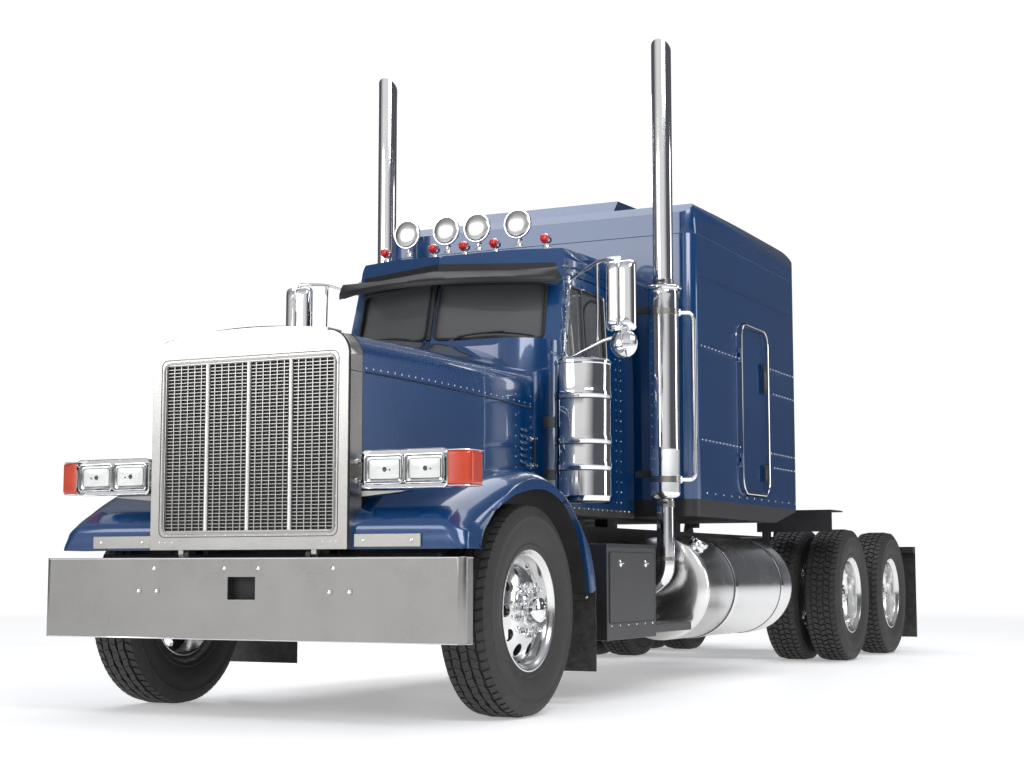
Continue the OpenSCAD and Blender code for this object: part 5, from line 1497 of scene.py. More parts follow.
        made.lathe([(outer_r, dish(outer_r)), (outer_r + 0.006, dish(outer_r) - thick / 2),
                    (outer_r, dish(outer_r) - thick)], ORIGIN, X_AXIS, "rim_aluminium", 64)

    def hub(self, face, reach, big):
        """Hub cover, bearing cap and the lug nuts under their bright covers."""
        made = Build()
        f = face
        if big:
            profile = [(0.105, f), (0.104, f + 0.008), (0.1, f + 0.014), (0.092, f + 0.05), (0.088, f + 0.09),
                       (0.083, f + 0.102), (0.074, f + 0.108), (0.03, f + 0.112), (TIP, f + 0.113)]
            made.lathe(profile, ORIGIN, X_AXIS, "bright_chrome", 56)
            for i in range(8):
                a = math.tau * (i + 0.5) / 8
                made.bolt((f + 0.108, math.cos(a) * 0.055, math.sin(a) * 0.055), X_AXIS, 0.008, 0.007,
                          "bright_chrome")
        else:
            cap_r = 0.068
            profile = [(cap_r + 0.012, f), (cap_r + 0.01, f + 0.01), (cap_r, f + 0.014),
                       (cap_r - 0.003, f + reach - 0.016),
                       (cap_r - 0.008, f + reach - 0.006), (cap_r - 0.022, f + reach),
                       (TIP, f + reach + 0.002)]
            made.lathe(profile, ORIGIN, X_AXIS, "bright_chrome", 48)
            for i in range(6):
                a = math.tau * (i + 0.5) / 6
                made.bolt((f + reach - 0.001, math.cos(a) * 0.034, math.sin(a) * 0.034), X_AXIS, 0.005, 0.004,
                          "bright_chrome")
        nuts = sizes().lug_nuts
        nut_ring = 0.121
        long = 0.048 if not big else 0.036
        for i in range(nuts):
            a = math.tau * (i + 0.5) / nuts
            spot = (f + 0.003, math.cos(a) * nut_ring, math.sin(a) * nut_ring)
            made.lathe([(0.0185, 0), (0.0185, 0.004), (0.016, 0.006)], spot, X_AXIS, "bright_chrome", 16)
            made.lathe([(0.0155, 0.004), (0.0155, long * 0.6), (0.013, long * 0.7)], spot, X_AXIS,
                       "bright_chrome", 6)
            made.lathe([(0.013, long * 0.7), (0.0125, long * 0.9), (0.008, long),
                        (TIP, long + 0.001)], spot,
                       X_AXIS, "bright_chrome", 14)
        return made


def set_wheel(build, node_centre, s):
    """A wheel part put on its axle, turned round for the other side."""
    made = Build()
    made.take(build)
    if s < 0:
        made = made.mirrored()
    return made.shifted(node_centre)


class TRUCK_OT_steer_wheels(bpy.types.Operator):
    """Front wheels: ribbed tyres, polished discs with hand holes, hub caps and nut covers"""

    bl_idname = "truck.steer_wheels"
    bl_label = "Steer wheels"

    def execute(self, context):
        wheel = Wheel(False)
        tyre, rim = wheel.tyre(), wheel.rim(0.098)
        rim.take(wheel.hub(0.098, 0.085, False))
        for s in SIDES:
            side = SIDE_NAME[s]
            centre = middle("steer_tyre_" + side)
            body = "steer_wheel_" + side
            set_wheel(tyre, centre, s).finish("steer_tread_" + side, body, "tyre_rubber",
                                              ("steer_tyre_" + side,), angle=32)
            set_wheel(rim, centre, s).finish("steer_disc_" + side, body, "rim_aluminium",
                                             ("steer_rim_" + side,), angle=38)
        return done()


class TRUCK_OT_drive_wheels(bpy.types.Operator):
    """Twin drive wheels: block tread tyres, dished outer discs with hub covers, inner rims"""

    bl_idname = "truck.drive_wheels"
    bl_label = "Drive wheels"

    def execute(self, context):
        wheel = Wheel(True)
        tyre = wheel.tyre()
        outer_rim, inner_rim = wheel.rim(-0.055), wheel.rim(0.055)
        outer_rim.take(wheel.hub(-0.055, 0.1, True))
        for s in SIDES:
            for where in ("front", "rear"):
                side = SIDE_NAME[s]
                tyres, rims = f"drive_tyres_{where}_{side}", f"drive_rims_{where}_{side}"
                low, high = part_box(tyres)
                ends = (high.x, low.x) if s > 0 else (low.x, high.x)
                outer = Vector((ends[0] - s * TYRE_W / 2, (low.y + high.y) / 2, TYRE_R))
                inner = Vector((ends[1] + s * TYRE_W / 2, (low.y + high.y) / 2, TYRE_R))
                body = f"drive_wheel_{where}_{side}"
                treads = set_wheel(tyre, outer, s)
                treads.take(set_wheel(tyre, inner, s))
                treads.finish("drive_tread_" + where + "_" + side, body, "tyre_rubber", (tyres,), angle=32)
                discs = set_wheel(outer_rim, outer, s)
                discs.take(set_wheel(inner_rim, inner, s))
                discs.finish("drive_disc_" + where + "_" + side, body, "rim_aluminium", (rims,), angle=38)
        return done()


# ---- exhaust and air cleaners --------------------------------------------------------------


class TRUCK_OT_stacks(bpy.types.Operator):
    """Twin exhaust stacks: mitred pipes, silencers with heat guards, handles, clamps and elbows"""

    bl_idname = "truck.stacks"
    bl_label = "Exhaust stacks"

    def execute(self, context):
        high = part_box("exhaust_stacks")[1]
        x, y = 1.005, ahead(2.277)
        for s in SIDES:
            stack = Build()
            self.pipe(stack, x, y, high.z)
            self.silencer(stack, x, y)
            self.handle(stack, x, y)
            self.elbow(stack, x, y)
            made = stack if s > 0 else stack.mirrored()
            made.finish("stack_" + SIDE_NAME[s], "chassis", "bright_chrome",
                        ("exhaust_stacks",) if s > 0 else (), angle=32)
        return done()

    def pipe(self, stack, x, y, top):
        """Straight pipe with a slanted open end."""
        r, wall, slant = 0.0635, 0.003, 0.1
        outer, inner = [], []
        for z in (2.5, 2.51, 3.3):
            outer.append([Vector((x + r * math.cos(a), y + r * math.sin(a), z)) for a in turns(48)])
        outer.append([Vector((x + r * math.cos(a), y + r * math.sin(a),
                              top - slant / 2 * (1 - math.sin(a) * -1)))
                      for a in turns(48)])
        q = r - wall
        inner.append([Vector((x + q * math.cos(a), y + q * math.sin(a),
                              top - slant / 2 * (1 + math.sin(a)) - 0.0005))
                      for a in turns(48)])
        inner.append([Vector((x + q * math.cos(a), y + q * math.sin(a), 3.3)) for a in turns(48)])
        stack.grid(outer, "bright_chrome", closed=True)
        stack.grid([outer[-1], inner[0]], "bright_chrome", closed=True)
        stack.grid(inner, "dark_steel", closed=True)
        stack.put(inner[-1], [tuple(range(48))], "radiator_black")

    def silencer(self, stack, x, y):
        """Long silencer with rolled ends, a flange at its top and clamps."""
        base, top, r = 1.157, 2.513, 0.095
        profile = [(0.055, base), (0.06, base + 0.004), (r - 0.012, base + 0.014), (r - 0.002, base + 0.028),
                   (r, base + 0.045), (r, base + 0.3), (r + 0.0012, base + 0.305), (r + 0.0012, base + 0.325),
                   (r, base + 0.33), (r, top - 0.075), (r + 0.001, top - 0.07), (r - 0.004, top - 0.045),
                   (r + 0.018, top - 0.04), (r + 0.022, top - 0.034), (r + 0.022, top - 0.026),
                   (r + 0.018, top - 0.02), (0.075, top - 0.012), (0.064, top - 0.004), (0.0635, top)]
        stack.lathe(profile, (x, y, 0), Z_AXIS, "bright_chrome", 64)
        for z in (top + 0.01, base - 0.022):
            ring = 0.0665 if z > 2 else 0.0585
            stack.lathe([(ring - 0.003, z - 0.015), (ring, z - 0.014), (ring, z + 0.014),
                         (ring - 0.003, z + 0.015)],
                        (x, y, 0), Z_AXIS, "stainless", 40)
            stack.tube([(x - 0.02, y - ring - 0.008, z), (x + 0.03, y - ring - 0.008, z)], 0.0045,
                       "dark_steel", 8)
            stack.bolt((x + 0.03, y - ring - 0.008, z), X_AXIS, 0.0075, 0.007, "dark_steel")
        for z in (base + 0.16, top - 0.16):
            stack.box((x - 0.19, y - 0.02, z - 0.02), (x - 0.09, y + 0.02, z + 0.02), "frame_black")

    def handle(self, stack, x, y):
        """Grab handle on the silencer's outer side, on two clamps."""
        r = 0.095
        out_x, out_y = 0.085, 0.045
        low_z, high_z = 1.28, 2.33
        start = Vector((x + r * 0.85, y + r * 0.5, 0))
        far = Vector((x + r * 0.85 + out_x, y + r * 0.5 + out_y, 0))
        path = rounded_path(
            [start + Z_AXIS * low_z, far + Z_AXIS * low_z, far + Z_AXIS * high_z,
             start + Z_AXIS * high_z], 0.06, 8)
        stack.tube(path, 0.0135, "bright_chrome", 14)
        for z in (low_z, high_z):
            stack.lathe([(0.0265, -0.002), (0.0265, 0.012), (0.018, 0.016)], start + Z_AXIS * z,
                        (out_x, out_y, 0),
                        "bright_chrome", 18)
            stack.lathe([(r + 0.0005, -0.02), (r + 0.003, -0.019), (r + 0.003, 0.019), (r + 0.0005, 0.02)],
                        (x, y, z), Z_AXIS, "stainless", 56)

    def elbow(self, stack, x, y):
        """Bright down pipe that turns in under the cab."""
        r = 0.055
        path = rounded_path([(x, y, 1.16), (x, y, 0.69), (x - 0.12, y, 0.6), (0.56, y, 0.56)], 0.14, 10)
        stack.tube(path, r, "bright_chrome", 36)
        for z in (1.12, 0.79):
            stack.lathe([(r, z - 0.012), (r + 0.004, z - 0.01), (r + 0.004, z + 0.01), (r, z + 0.012)],
                        (x, y, 0),
                        Z_AXIS, "stainless", 36)


def turns(count):
    """Angles of a full turn."""
    return [math.tau * i / count for i in range(count)]


class TRUCK_OT_air_cleaners(bpy.types.Operator):
    """Polished air cleaner cans with rolled bands, lids, straps and brackets"""

    bl_idname = "truck.air_cleaners"
    bl_label = "Air cleaners"

    def execute(self, context):
        low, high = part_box("air_cleaners")
        r = 0.162
        x, y = high.x - r, ahead(1.14)
        bands = (1.708, 1.452, 1.305)
        for s in SIDES:
            can = Build()
            profile = [(TIP, low.z), (r - 0.03, low.z + 0.001), (r - 0.012, low.z + 0.008),
                       (r - 0.008, low.z + 0.03),
                       (r - 0.004, low.z + 0.036)]
            for z in sorted(bands):
                profile += [(r - 0.004, z - 0.03), (r - 0.0035, z - 0.022), (r, z - 0.012), (r, z + 0.012),
                            (r - 0.0035, z + 0.022)]
            top = high.z - 0.03
            profile += [(r - 0.004, top - 0.05), (r - 0.004, top - 0.012), (r, top - 0.006), (r, top + 0.008),
                        (r - 0.006, top + 0.018), (r - 0.03, top + 0.026), (0.05, high.z - 0.001),
                        (TIP, high.z)]
            can.lathe(profile, (x, y, 0), Z_AXIS, "bright_chrome", 72)
            for z in bands:
                can.lathe([(r - 0.002, z - 0.034), (r - 0.001, z - 0.034), (r - 0.001, z - 0.027),
                           (r - 0.004, z - 0.026)],
                          (x, y, 0), Z_AXIS, "dark_steel", 64)
            for z in (1.56, 1.26):
                can.box((x - 0.235, y - 0.022, z - 0.03), (x - r + 0.012, y + 0.022, z + 0.03), "stainless")
            made = can if s > 0 else can.mirrored()
            made.finish("air_can_" + SIDE_NAME[s], "chassis", "bright_chrome",
                        ("air_cleaners",) if s > 0 else (), angle=30)
        return done()


# ---- cab outside ---------------------------------------------------------------------------

PAINTED = (
    "cab_walls", "cab_roof", "sleeper_sides", "sleeper_ends", "sleeper_roof", "door_left", "door_right",
    "luggage_door_left", "luggage_door_right",
)


class TRUCK_OT_body_paint(bpy.types.Operator):
    """Paint on the cab, doors, sleeper and luggage doors, with eased panel edges"""

    bl_idname = "truck.body_paint"
    bl_label = "Body panels"

    def execute(self, context):
        for node in PAINTED:
            dress(node, "body_blue", 0.003, 50.0)
        self.visor()
        for node in ("cab_floor", "sleeper_floor"):
            dress(node, "frame_black")
        dress("windscreen", "window_glass")
        for side in SIDE_NAME.values():
            dress("door_glass_" + side, "window_glass")
        return done()


    def visor(self):
        """Drooping sun visor: crowned blade with a turned-down lip, end gussets, and black back plates on the
        header above the windscreens that are painted shadow.
        """
        low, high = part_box("sun_visor")
        half, r = high.x, 1.19
        made = Build()
        n = 40
        rows = []
        for i in range(n + 1):
            x = -half + 2 * half * i / n
            lean = r - math.sqrt(r * r - x * x)
            lip_y = low.y + lean * 0.92
            back_y = min(ahead(1.115) + abs(x) * 0.384, high.y)
            top, foot = high.z - 0.034, low.z - 0.04
            row = [(x, back_y, top)]
            for k in range(1, 8):
                t = k / 7
                row.append((x, back_y + (lip_y - back_y) * t, top - (top - foot) * t ** 1.7))
            row += [(x, lip_y - 0.003, foot - 0.012), (x, lip_y - 0.001, foot - 0.03),
                    (x, lip_y + 0.003, foot - 0.032)]
            under = [(x, p[1] + 0.003, p[2] - 0.005) for p in reversed(row[:-1])]
            rows.append(row + under)
        made.grid(rows, "visor_black_and_painted_shade", closed=True)
        for e in (0, n):
            made.put(rows[e], [tuple(range(len(rows[e])))], "visor_black_and_painted_shade")
        for s in SIDES:
            x = s * (half - 0.03)
            plate = [rows[0][k] for k in (0, 4, 8, 10)] + [(0, ahead(1.4), low.z - 0.02)]
            ends = [[Vector((x + d, p[1], p[2])) for p in plate] for d in (-0.003, 0.003)]
            made.loft(ends, "visor_black_and_painted_shade")
        # Black back plates on the header above each windscreen: painted shadow and painted dark reflection
        # under the visor.
        for s in SIDES:
            back = [[Vector(screen_point(s, x, z, stand)) for x, z in
                     ((0.0, 2.425), (0.655, 2.425), (0.655, 2.535), (0.0, 2.535))] for stand in (0.0, 0.004)]
            made.loft(back, "visor_black_and_painted_shade")
        made.finish("visor", "chassis", "body_blue", ("sun_visor",), angle=40)


class TRUCK_OT_body_rivets(bpy.types.Operator):
    """Rivet rows, panel seams, drip rails, door frames and handles"""

    bl_idname = "truck.body_rivets"
    bl_label = "Body rivets and trim"

    def execute(self, context):
        for s in SIDES:
            self.sleeper_side(s)
            self.cab_side(s)
            self.door(s)
            self.luggage_door(s)
        self.back_wall()
        return done()

    def sleeper_side(self, s):
        """Rivet rows and a seam line on the sleeper's side."""
        trim = Build()
        low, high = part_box("sleeper_sides")
        x = high.x - 0.0005
        r = sizes().rivet_radius
        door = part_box("luggage_door_left")
        rows = (1.55, 2.155)
        for z in rows:
            for a, b in ((low.y + 0.08, door[0].y - 0.05), (door[1].y + 0.05, high.y - 0.1)):
                for p in row_of((x, a, z), (x, b, z), sizes().rivet_pitch * 1.15):
                    trim.dome((s * p.x, p.y, p.z), (s, 0, 0), r, "bright_chrome")
        for z in (1.45, 1.98):
            for p in row_of((x, door[1].y + 0.12, z), (x, high.y - 0.1, z), sizes().rivet_pitch * 1.15):
                trim.dome((s * p.x, p.y, p.z), (s, 0, 0), r, "bright_chrome")
        for z in (2.62,):
            trim.tube([(s * (x + 0.0008), low.y + 0.17, z), (s * (x + 0.0008), high.y - 0.17, z)], 0.0016,
                      "radiator_black", 6)
        for p in row_of((x, low.y + 0.16, low.z + 0.04), (x, high.y - 0.16, low.z + 0.04), 0.16):
            trim.dome((s * p.x, p.y, p.z), (s, 0, 0), r * 0.8, "bright_chrome")
        trim.finish("sleeper_trim_" + SIDE_NAME[s], "chassis", "body_blue")

    def cab_side(self, s):
        """Cab side rivets behind the door, drip rail and the vertical corner panel."""
        trim = Build()
        x = 0.7285
        r = sizes().rivet_radius * 0.85
        for z in [1.14 + i * 0.064 for i in range(19)]:
            for y in (2.16, 2.235):
                trim.dome((s * (cab_half(z) - 0.0005), ahead(y), z), (s, 0, 0), r, "bright_chrome")
        path = [(s * (cab_half(z) + 0.001), ahead(2.2), z) for z in (1.11, 1.5, 1.96, 2.3, 2.44)]
        trim.tube(path, 0.0022, "radiator_black", 6)
        for p in row_of((x, ahead(1.36), 1.085), (x, ahead(2.36), 1.085), 0.07):
            trim.dome((s * p.x, p.y, p.z), (s, 0, 0), r, "bright_chrome")
        drip = [(s * (0.702), ahead(1.42), 2.515), (s * 0.7035, ahead(1.7), 2.53),
                (s * 0.7035, ahead(2.2), 2.53),
                (s * 0.702, ahead(2.4), 2.52)]
        trim.tube(curve_through(drip, 6), 0.0065, "body_blue", 8)
        trim.finish("cab_trim_" + SIDE_NAME[s], "chassis", "body_blue")

    def door(self, s):
        """Window frame, vent bar, handle, lock, edge seam and rivets of one door."""
        side = SIDE_NAME[s]
        trim = Build()
        low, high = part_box("door_glass_" + side)
        z0, z1 = low.z, high.z
        y1 = high.y
        front_low, front_high = low.y, low.y + 0.114
        corner = 0.03

        def at(y, z, stand=0.003):
            return Vector((s * (cab_half(z) + stand), y, z))

        outline = [(front_low + 0.004, z0), (y1, z0), (y1, z1), (front_high, z1)]
        path = []
        n = len(outline)
        for i in range(n):
            a, b, c = (Vector(outline[(i + k - 1) % n]) for k in range(3))
            into, out = (a - b).normalized(), (c - b).normalized()
            for k in range(7):
                t = k / 6
                p = (b + into * corner) * (1 - t) ** 2 + b * 2 * t * (1 - t) + (b + out * corner) * t * t
                path.append(at(p.x, p.y))
            gap = (c - b).length
            for k in range(1, 6):
                p = b + out * (corner + (gap - 2 * corner) * k / 6)
                path.append(at(p.x, p.y))
        trim.tube(path, 0.0065, "bright_chrome", 8, closed=True)
        inner = [Vector((p.x - s * 0.014, p.y, p.z)) for p in path]
        trim.tube(inner, 0.008, "flap_rubber", 8, closed=True)
        bar_y = front_high + 0.19
        trim.tube([at(bar_y, z0 + (z1 - z0) * i / 8, -0.006) for i in range(9)], 0.0065, "bright_chrome", 10)
        arch = rounded_path([at(bar_y + 0.035, z0, -0.012), at(bar_y + 0.035, z1 - 0.11, -0.012),
                             at(bar_y + 0.15, z1 - 0.04, -0.012), at(y1 - 0.03, z1 - 0.04, -0.012)], 0.09, 8)
        trim.tube(arch, 0.0055, "radiator_black", 8)
        r = sizes().rivet_radius * 0.7
        for i in range(12):
            z = z0 + 0.01 + (z1 - z0 - 0.03) * i / 11
            lean = (z - z0) / (z1 - z0)
            trim.dome(at(front_low + 0.114 * lean - 0.028, z, -0.0005), (s, 0, 0), r, "bright_chrome")
        door_low, door_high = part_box("door_" + side)
        rear = door_high.y
        for z in [door_low.z + 0.06 + i * 0.062 for i in range(12)]:
            for y in (rear - 0.03,):
                trim.dome(at(y, z, -0.0005), (s, 0, 0), r, "bright_chrome")
        self.handle(trim, s, rear, at)
        kick = round_rectangle((ahead(1.4), door_low.z + 0.05), (rear - 0.07, door_low.z + 0.2), 0.015)
        plate = [[Vector((s * (0.729 + k), y, z)) for y, z in kick] for k in (-0.001, 0.0012)]
        trim.loft(plate if s > 0 else plate[::-1], "body_blue")
        trim.finish("door_trim_" + side, "door_" + side, "body_blue")

    def handle(self, trim, s, rear, at):
        """Pull handle with its escutcheon and key barrel."""
        y, z = rear - 0.12, 1.86
        plate = round_rectangle((y - 0.075, z - 0.026), (y + 0.045, z + 0.026), 0.018)
        rows = [[Vector((s * (cab_half(z) + k), a, b)) for a, b in plate] for k in (-0.001, 0.0045)]
        trim.loft(rows if s > 0 else rows[::-1], "bright_chrome")
        grip = [at(y - 0.06, z, 0.004), at(y - 0.052, z, 0.03), at(y, z, 0.034), at(y + 0.028, z, 0.028),
                at(y + 0.032, z, 0.004)]
        trim.tube(curve_through(grip, 5), 0.0075, "bright_chrome", 10)
        trim.lathe([(0.011, 0), (0.011, 0.004), (TIP, 0.005)], at(y + 0.01, z - 0.055, -0.0005), (s, 0, 0),
                   "bright_chrome", 18)

    def luggage_door(self, s):
        """Bright bead round the luggage door and its paddle latches."""
        side = SIDE_NAME[s]
        skin_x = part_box("sleeper_sides")[1].x
        trim = Build()
        door_low_y, door_high_y = ahead(3.42), ahead(4.01)
        z0, z1 = 1.235, 2.412
        for inset, radius, finish in ((0.006, 0.0055, "bright_chrome"), (0.016, 0.003, "flap_rubber")):
            path = [(s * (skin_x + 0.001), y, z) for y, z in round_rectangle(
                (door_low_y + inset, z0 + inset), (door_high_y - inset, z1 - inset), 0.104 - inset, 10)]
            trim.tube(path, radius, finish, 8, closed=True)
        for z, h in ((2.07, 0.11), (1.4, 0.06)):
            y = door_high_y - 0.075
            plate = round_rectangle((y - 0.035, z - h), (y + 0.035, z + h), 0.02)
            rows = [[Vector((s * (skin_x + k), a, b)) for a, b in plate] for k in (-0.001, 0.003)]
            trim.loft(rows if s > 0 else rows[::-1], "radiator_black")
            pad = round_rectangle((y - 0.022, z - h * 0.72), (y + 0.022, z + h * 0.5), 0.014)
            rows = [[Vector((s * (skin_x + k), a, b)) for a, b in pad] for k in (0.002, 0.009)]
            trim.loft(rows if s > 0 else rows[::-1], "bright_chrome")
        trim.finish("luggage_door_trim_" + side, "luggage_door_" + side, "bright_chrome", weld=True)

    def back_wall(self):
        """Sleeper's rear wall: rivets, work lamps, grab rail and air line gland plate."""
        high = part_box("sleeper_ends")[1]
        y = high.y
        trim = Build()
        r = sizes().rivet_radius
        for x in (-0.9, -0.3, 0.3, 0.9):
            for p in row_of((x, y - 0.0005, 1.2), (x, y - 0.0005, 2.85), 0.11):
                trim.dome(p, Y_AXIS, r * 0.85, "bright_chrome")
        for z in (1.35, 2.4):
            trim.tube([(-0.92, y + 0.0008, z), (0.92, y + 0.0008, z)], 0.0016, "radiator_black", 6)
        for s in SIDES:
            at = (s * 0.78, y, 2.1)
            trim.lathe([(0.075, 0.001), (0.078, 0.012), (0.074, 0.04), (0.068, 0.046)], at, Y_AXIS,
                       "cab_plastic", 36)
            trim.lathe([(0.068, 0.044), (0.05, 0.049), (TIP, 0.051)], at, Y_AXIS, "lamp_glass", 36)
            trim.lathe([(0.068, 0.043), (0.04, 0.022), (TIP, 0.016)], at, Y_AXIS, "bright_chrome", 36)
            rail = rounded_path([(s * 1.0, y, 1.3), (s * 1.0, y + 0.07, 1.3), (s * 1.0, y + 0.07, 2.3),
                                 (s * 1.0, y, 2.3)], 0.05, 6)
            trim.tube(rail, 0.013, "stainless", 12)
        plate = round_rectangle((-0.16, 1.36), (0.16, 1.5), 0.02)
        trim.extrude(plate, "y", y - 0.001, y + 0.004, "stainless")
        for x in (-0.09, 0.0, 0.09):
            trim.lathe([(0.024, 0.003), (0.024, 0.016), (0.018, 0.018), (0.018, 0.04)], (x, y, 1.43), Y_AXIS,
                       ("red_lens", "dark_steel", "bright_chrome")[round((x + 0.09) / 0.09)], 20)
        trim.finish("sleeper_back_trim", "chassis", "polished")


def cab_half(z):
    """Half width of the cab at a height: upright to the belt, leaning in above it."""
    belt, drip = 1.96, 2.5
    if z <= belt:
        return 0.728
    return 0.728 - 0.028 * min((z - belt) / (drip - belt), 1.2)


SCREEN_FOOT = (1.036, 2.05)
SCREEN_SWEEP, SCREEN_RAKE = math.radians(21), math.radians(14.5)


def screen_point(s, x, z, stand=0.0):
    """Point on one windscreen's outer face, stand metres proud of it."""
    across = Vector((math.cos(SCREEN_SWEEP), math.sin(SCREEN_SWEEP), 0))
    up = Vector((0, math.sin(SCREEN_RAKE), math.cos(SCREEN_RAKE)))
    out = across.cross(up).normalized()
    p = Vector((0, ahead(SCREEN_FOOT[0]), SCREEN_FOOT[1]))
    p += across * (x / math.cos(SCREEN_SWEEP))
    p += up * ((z - SCREEN_FOOT[1]) / math.cos(SCREEN_RAKE)) + out * stand
    return Vector((s * p.x, p.y, p.z))


class TRUCK_OT_windscreen(bpy.types.Operator):
    """Windscreen rubbers, centre strip and the two wipers"""

    bl_idname = "truck.windscreen"
    bl_label = "Windscreen trim"

    def at(self, s, x, z, stand=0.0):
        return screen_point(s, x, z, stand)

    def execute(self, context):
        trim = Build()
        for s in SIDES:
            corners = [(0.028, 2.068), (0.63, 2.068), (0.618, 2.41), (0.028, 2.41)]
            path = []
            n = len(corners)
            for i in range(n):
                a, b, c = (Vector(corners[(i + k - 1) % n]) for k in range(3))
                into, out = (a - b).normalized(), (c - b).normalized()
                for k in range(7):
                    t = k / 6
                    p = (b + into * 0.04) * (1 - t) ** 2 + b * 2 * t * (1 - t) + (b + out * 0.04) * t * t
                    path.append(self.at(s, p.x, p.y, 0.001))
            trim.tube(path, 0.0095, "flap_rubber", 10, closed=True)
        post = [self.at(1, 0.0, z, 0.004) for z in (2.06, 2.2, 2.3, 2.42)]
        trim.tube(post, 0.014, "flap_rubber", 10)
        trim.finish("windscreen_rubber", "chassis", "flap_rubber")
        for s, pivot_x, tip_x in ((1, 0.13, 0.58), (-1, 0.13, 0.58)):
            self.wiper(s, pivot_x, tip_x)
        return done()

    def wiper(self, s, pivot_x, tip_x):
        """Parked wiper: spindle, sprung arm and blade on its yoke."""
        made = Build()
        low_z = 2.055
        pivot = self.at(s, pivot_x, low_z, 0.0)
        out = (self.at(s, pivot_x, low_z, 0.02) - pivot).normalized()
        made.lathe([(0.02, -0.004), (0.02, 0.008), (0.013, 0.014), (0.011, 0.026), (TIP, 0.028)],
                   pivot, out,
                   "frame_black", 20)
        mid = (pivot_x + tip_x) / 2 + 0.06
        arm = [self.at(s, pivot_x, low_z, 0.02), self.at(s, pivot_x + 0.1, low_z + 0.03, 0.03),
               self.at(s, mid, low_z + 0.05, 0.024)]
        made.tube(curve_through(arm, 8), 0.0055, "frame_black", 8)
        blade = [self.at(s, 0.16 + (tip_x - 0.16) * i / 12,
                         low_z + 0.026 + 0.022 * math.sin(math.pi * i / 12), 0.012) for i in range(13)]
        made.tube(blade, [0.003 + 0.003 * math.sin(math.pi * i / 12) for i in range(13)], "frame_black", 8)
        edge = [self.at(s, 0.16 + (tip_x - 0.16) * i / 12,
                        low_z + 0.026 + 0.022 * math.sin(math.pi * i / 12), 0.006) for i in range(13)]
        made.tube(edge, 0.0035, "flap_rubber", 6)
        made.finish("wiper_" + SIDE_NAME[s], "chassis", "frame_black")


class TRUCK_OT_roof_lamps(bpy.types.Operator):
    """Chromed disc lamps with bright covers, and the bullet marker lamps"""

    bl_idname = "truck.roof_lamps"
    bl_label = "Roof lamps"

    def execute(self, context):
        made = Build()
        y, z, r = ahead(1.462), 2.802, 0.09
        for x in (-0.382, -0.107, 0.107, 0.382):
            self.disc(made, (x, y, z), r)
        y, z = ahead(1.477), 2.702
        for x in (-0.553, -0.211, 0.0, 0.211, 0.553):
            self.marker(made, (x, y, z))
        made.finish("roof_lamp_row", "chassis", "bright_chrome", ("roof_lamps",), angle=32)
        return done()

    def disc(self, made, at, r):
        """A shallow chromed bowl, its bright cover crowned forwards, on a stem."""
        back = 0.052
        profile = [(TIP, back), (0.03, back - 0.002), (0.06, back - 0.014), (r - 0.012, back - 0.034),
                   (r - 0.002, 0.006), (r, 0.0), (r, -0.008), (r - 0.003, -0.0125), (r - 0.007, -0.0125),
                   (r - 0.009, -0.008)]
        made.lathe(profile, at, Y_AXIS, "bright_chrome", 56)
        made.lathe([(r - 0.0095, -0.0085), (r - 0.006, -0.006), (r - 0.006, -0.004)], at, Y_AXIS,
                   "radiator_black", 48)
        cover = [((r - 0.009) * math.cos(a), -0.009 - 0.016 * math.sin(a)) for a in
                 [math.pi / 2 * i / 8 for i in range(9)]]
        made.lathe([(max(q, TIP), h) for q, h in cover], at, Y_AXIS, "lamp_cover", 56)
        x, y, z = at
        foot = z - r - 0.03
        made.lathe([(0.022, foot - 0.012), (0.02, foot), (0.012, foot + 0.008), (0.011, z - r + 0.012)],
                   (x, y + 0.02, 0), Z_AXIS, "bright_chrome", 20)
        made.bolt((x, y + 0.02, z - r - 0.002), (1, 0, 0), 0.009, 0.018, "bright_chrome")

    def marker(self, made, at):
        """Bullet marker: red lens in front, bright tail behind, on a small foot."""
        r = 0.031
        lens = [(TIP, -0.034), (0.013, -0.031), (0.022, -0.022), (0.0265, -0.008), (0.027, 0.008)]
        made.lathe(lens, at, Y_AXIS, "red_lens", 30)
        shell_profile = [(0.0275, 0.004), (r, 0.008), (r, 0.022), (0.027, 0.045), (0.017, 0.068),
                         (TIP, 0.078)]
        made.lathe(shell_profile, at, Y_AXIS, "bright_chrome", 30)
        x, y, z = at
        made.lathe([(0.024, z - 0.052), (0.022, z - 0.04), (0.012, z - 0.034), (0.012, z - 0.02)],
                   (x, y + 0.03, 0),
                   Z_AXIS, "bright_chrome", 16)


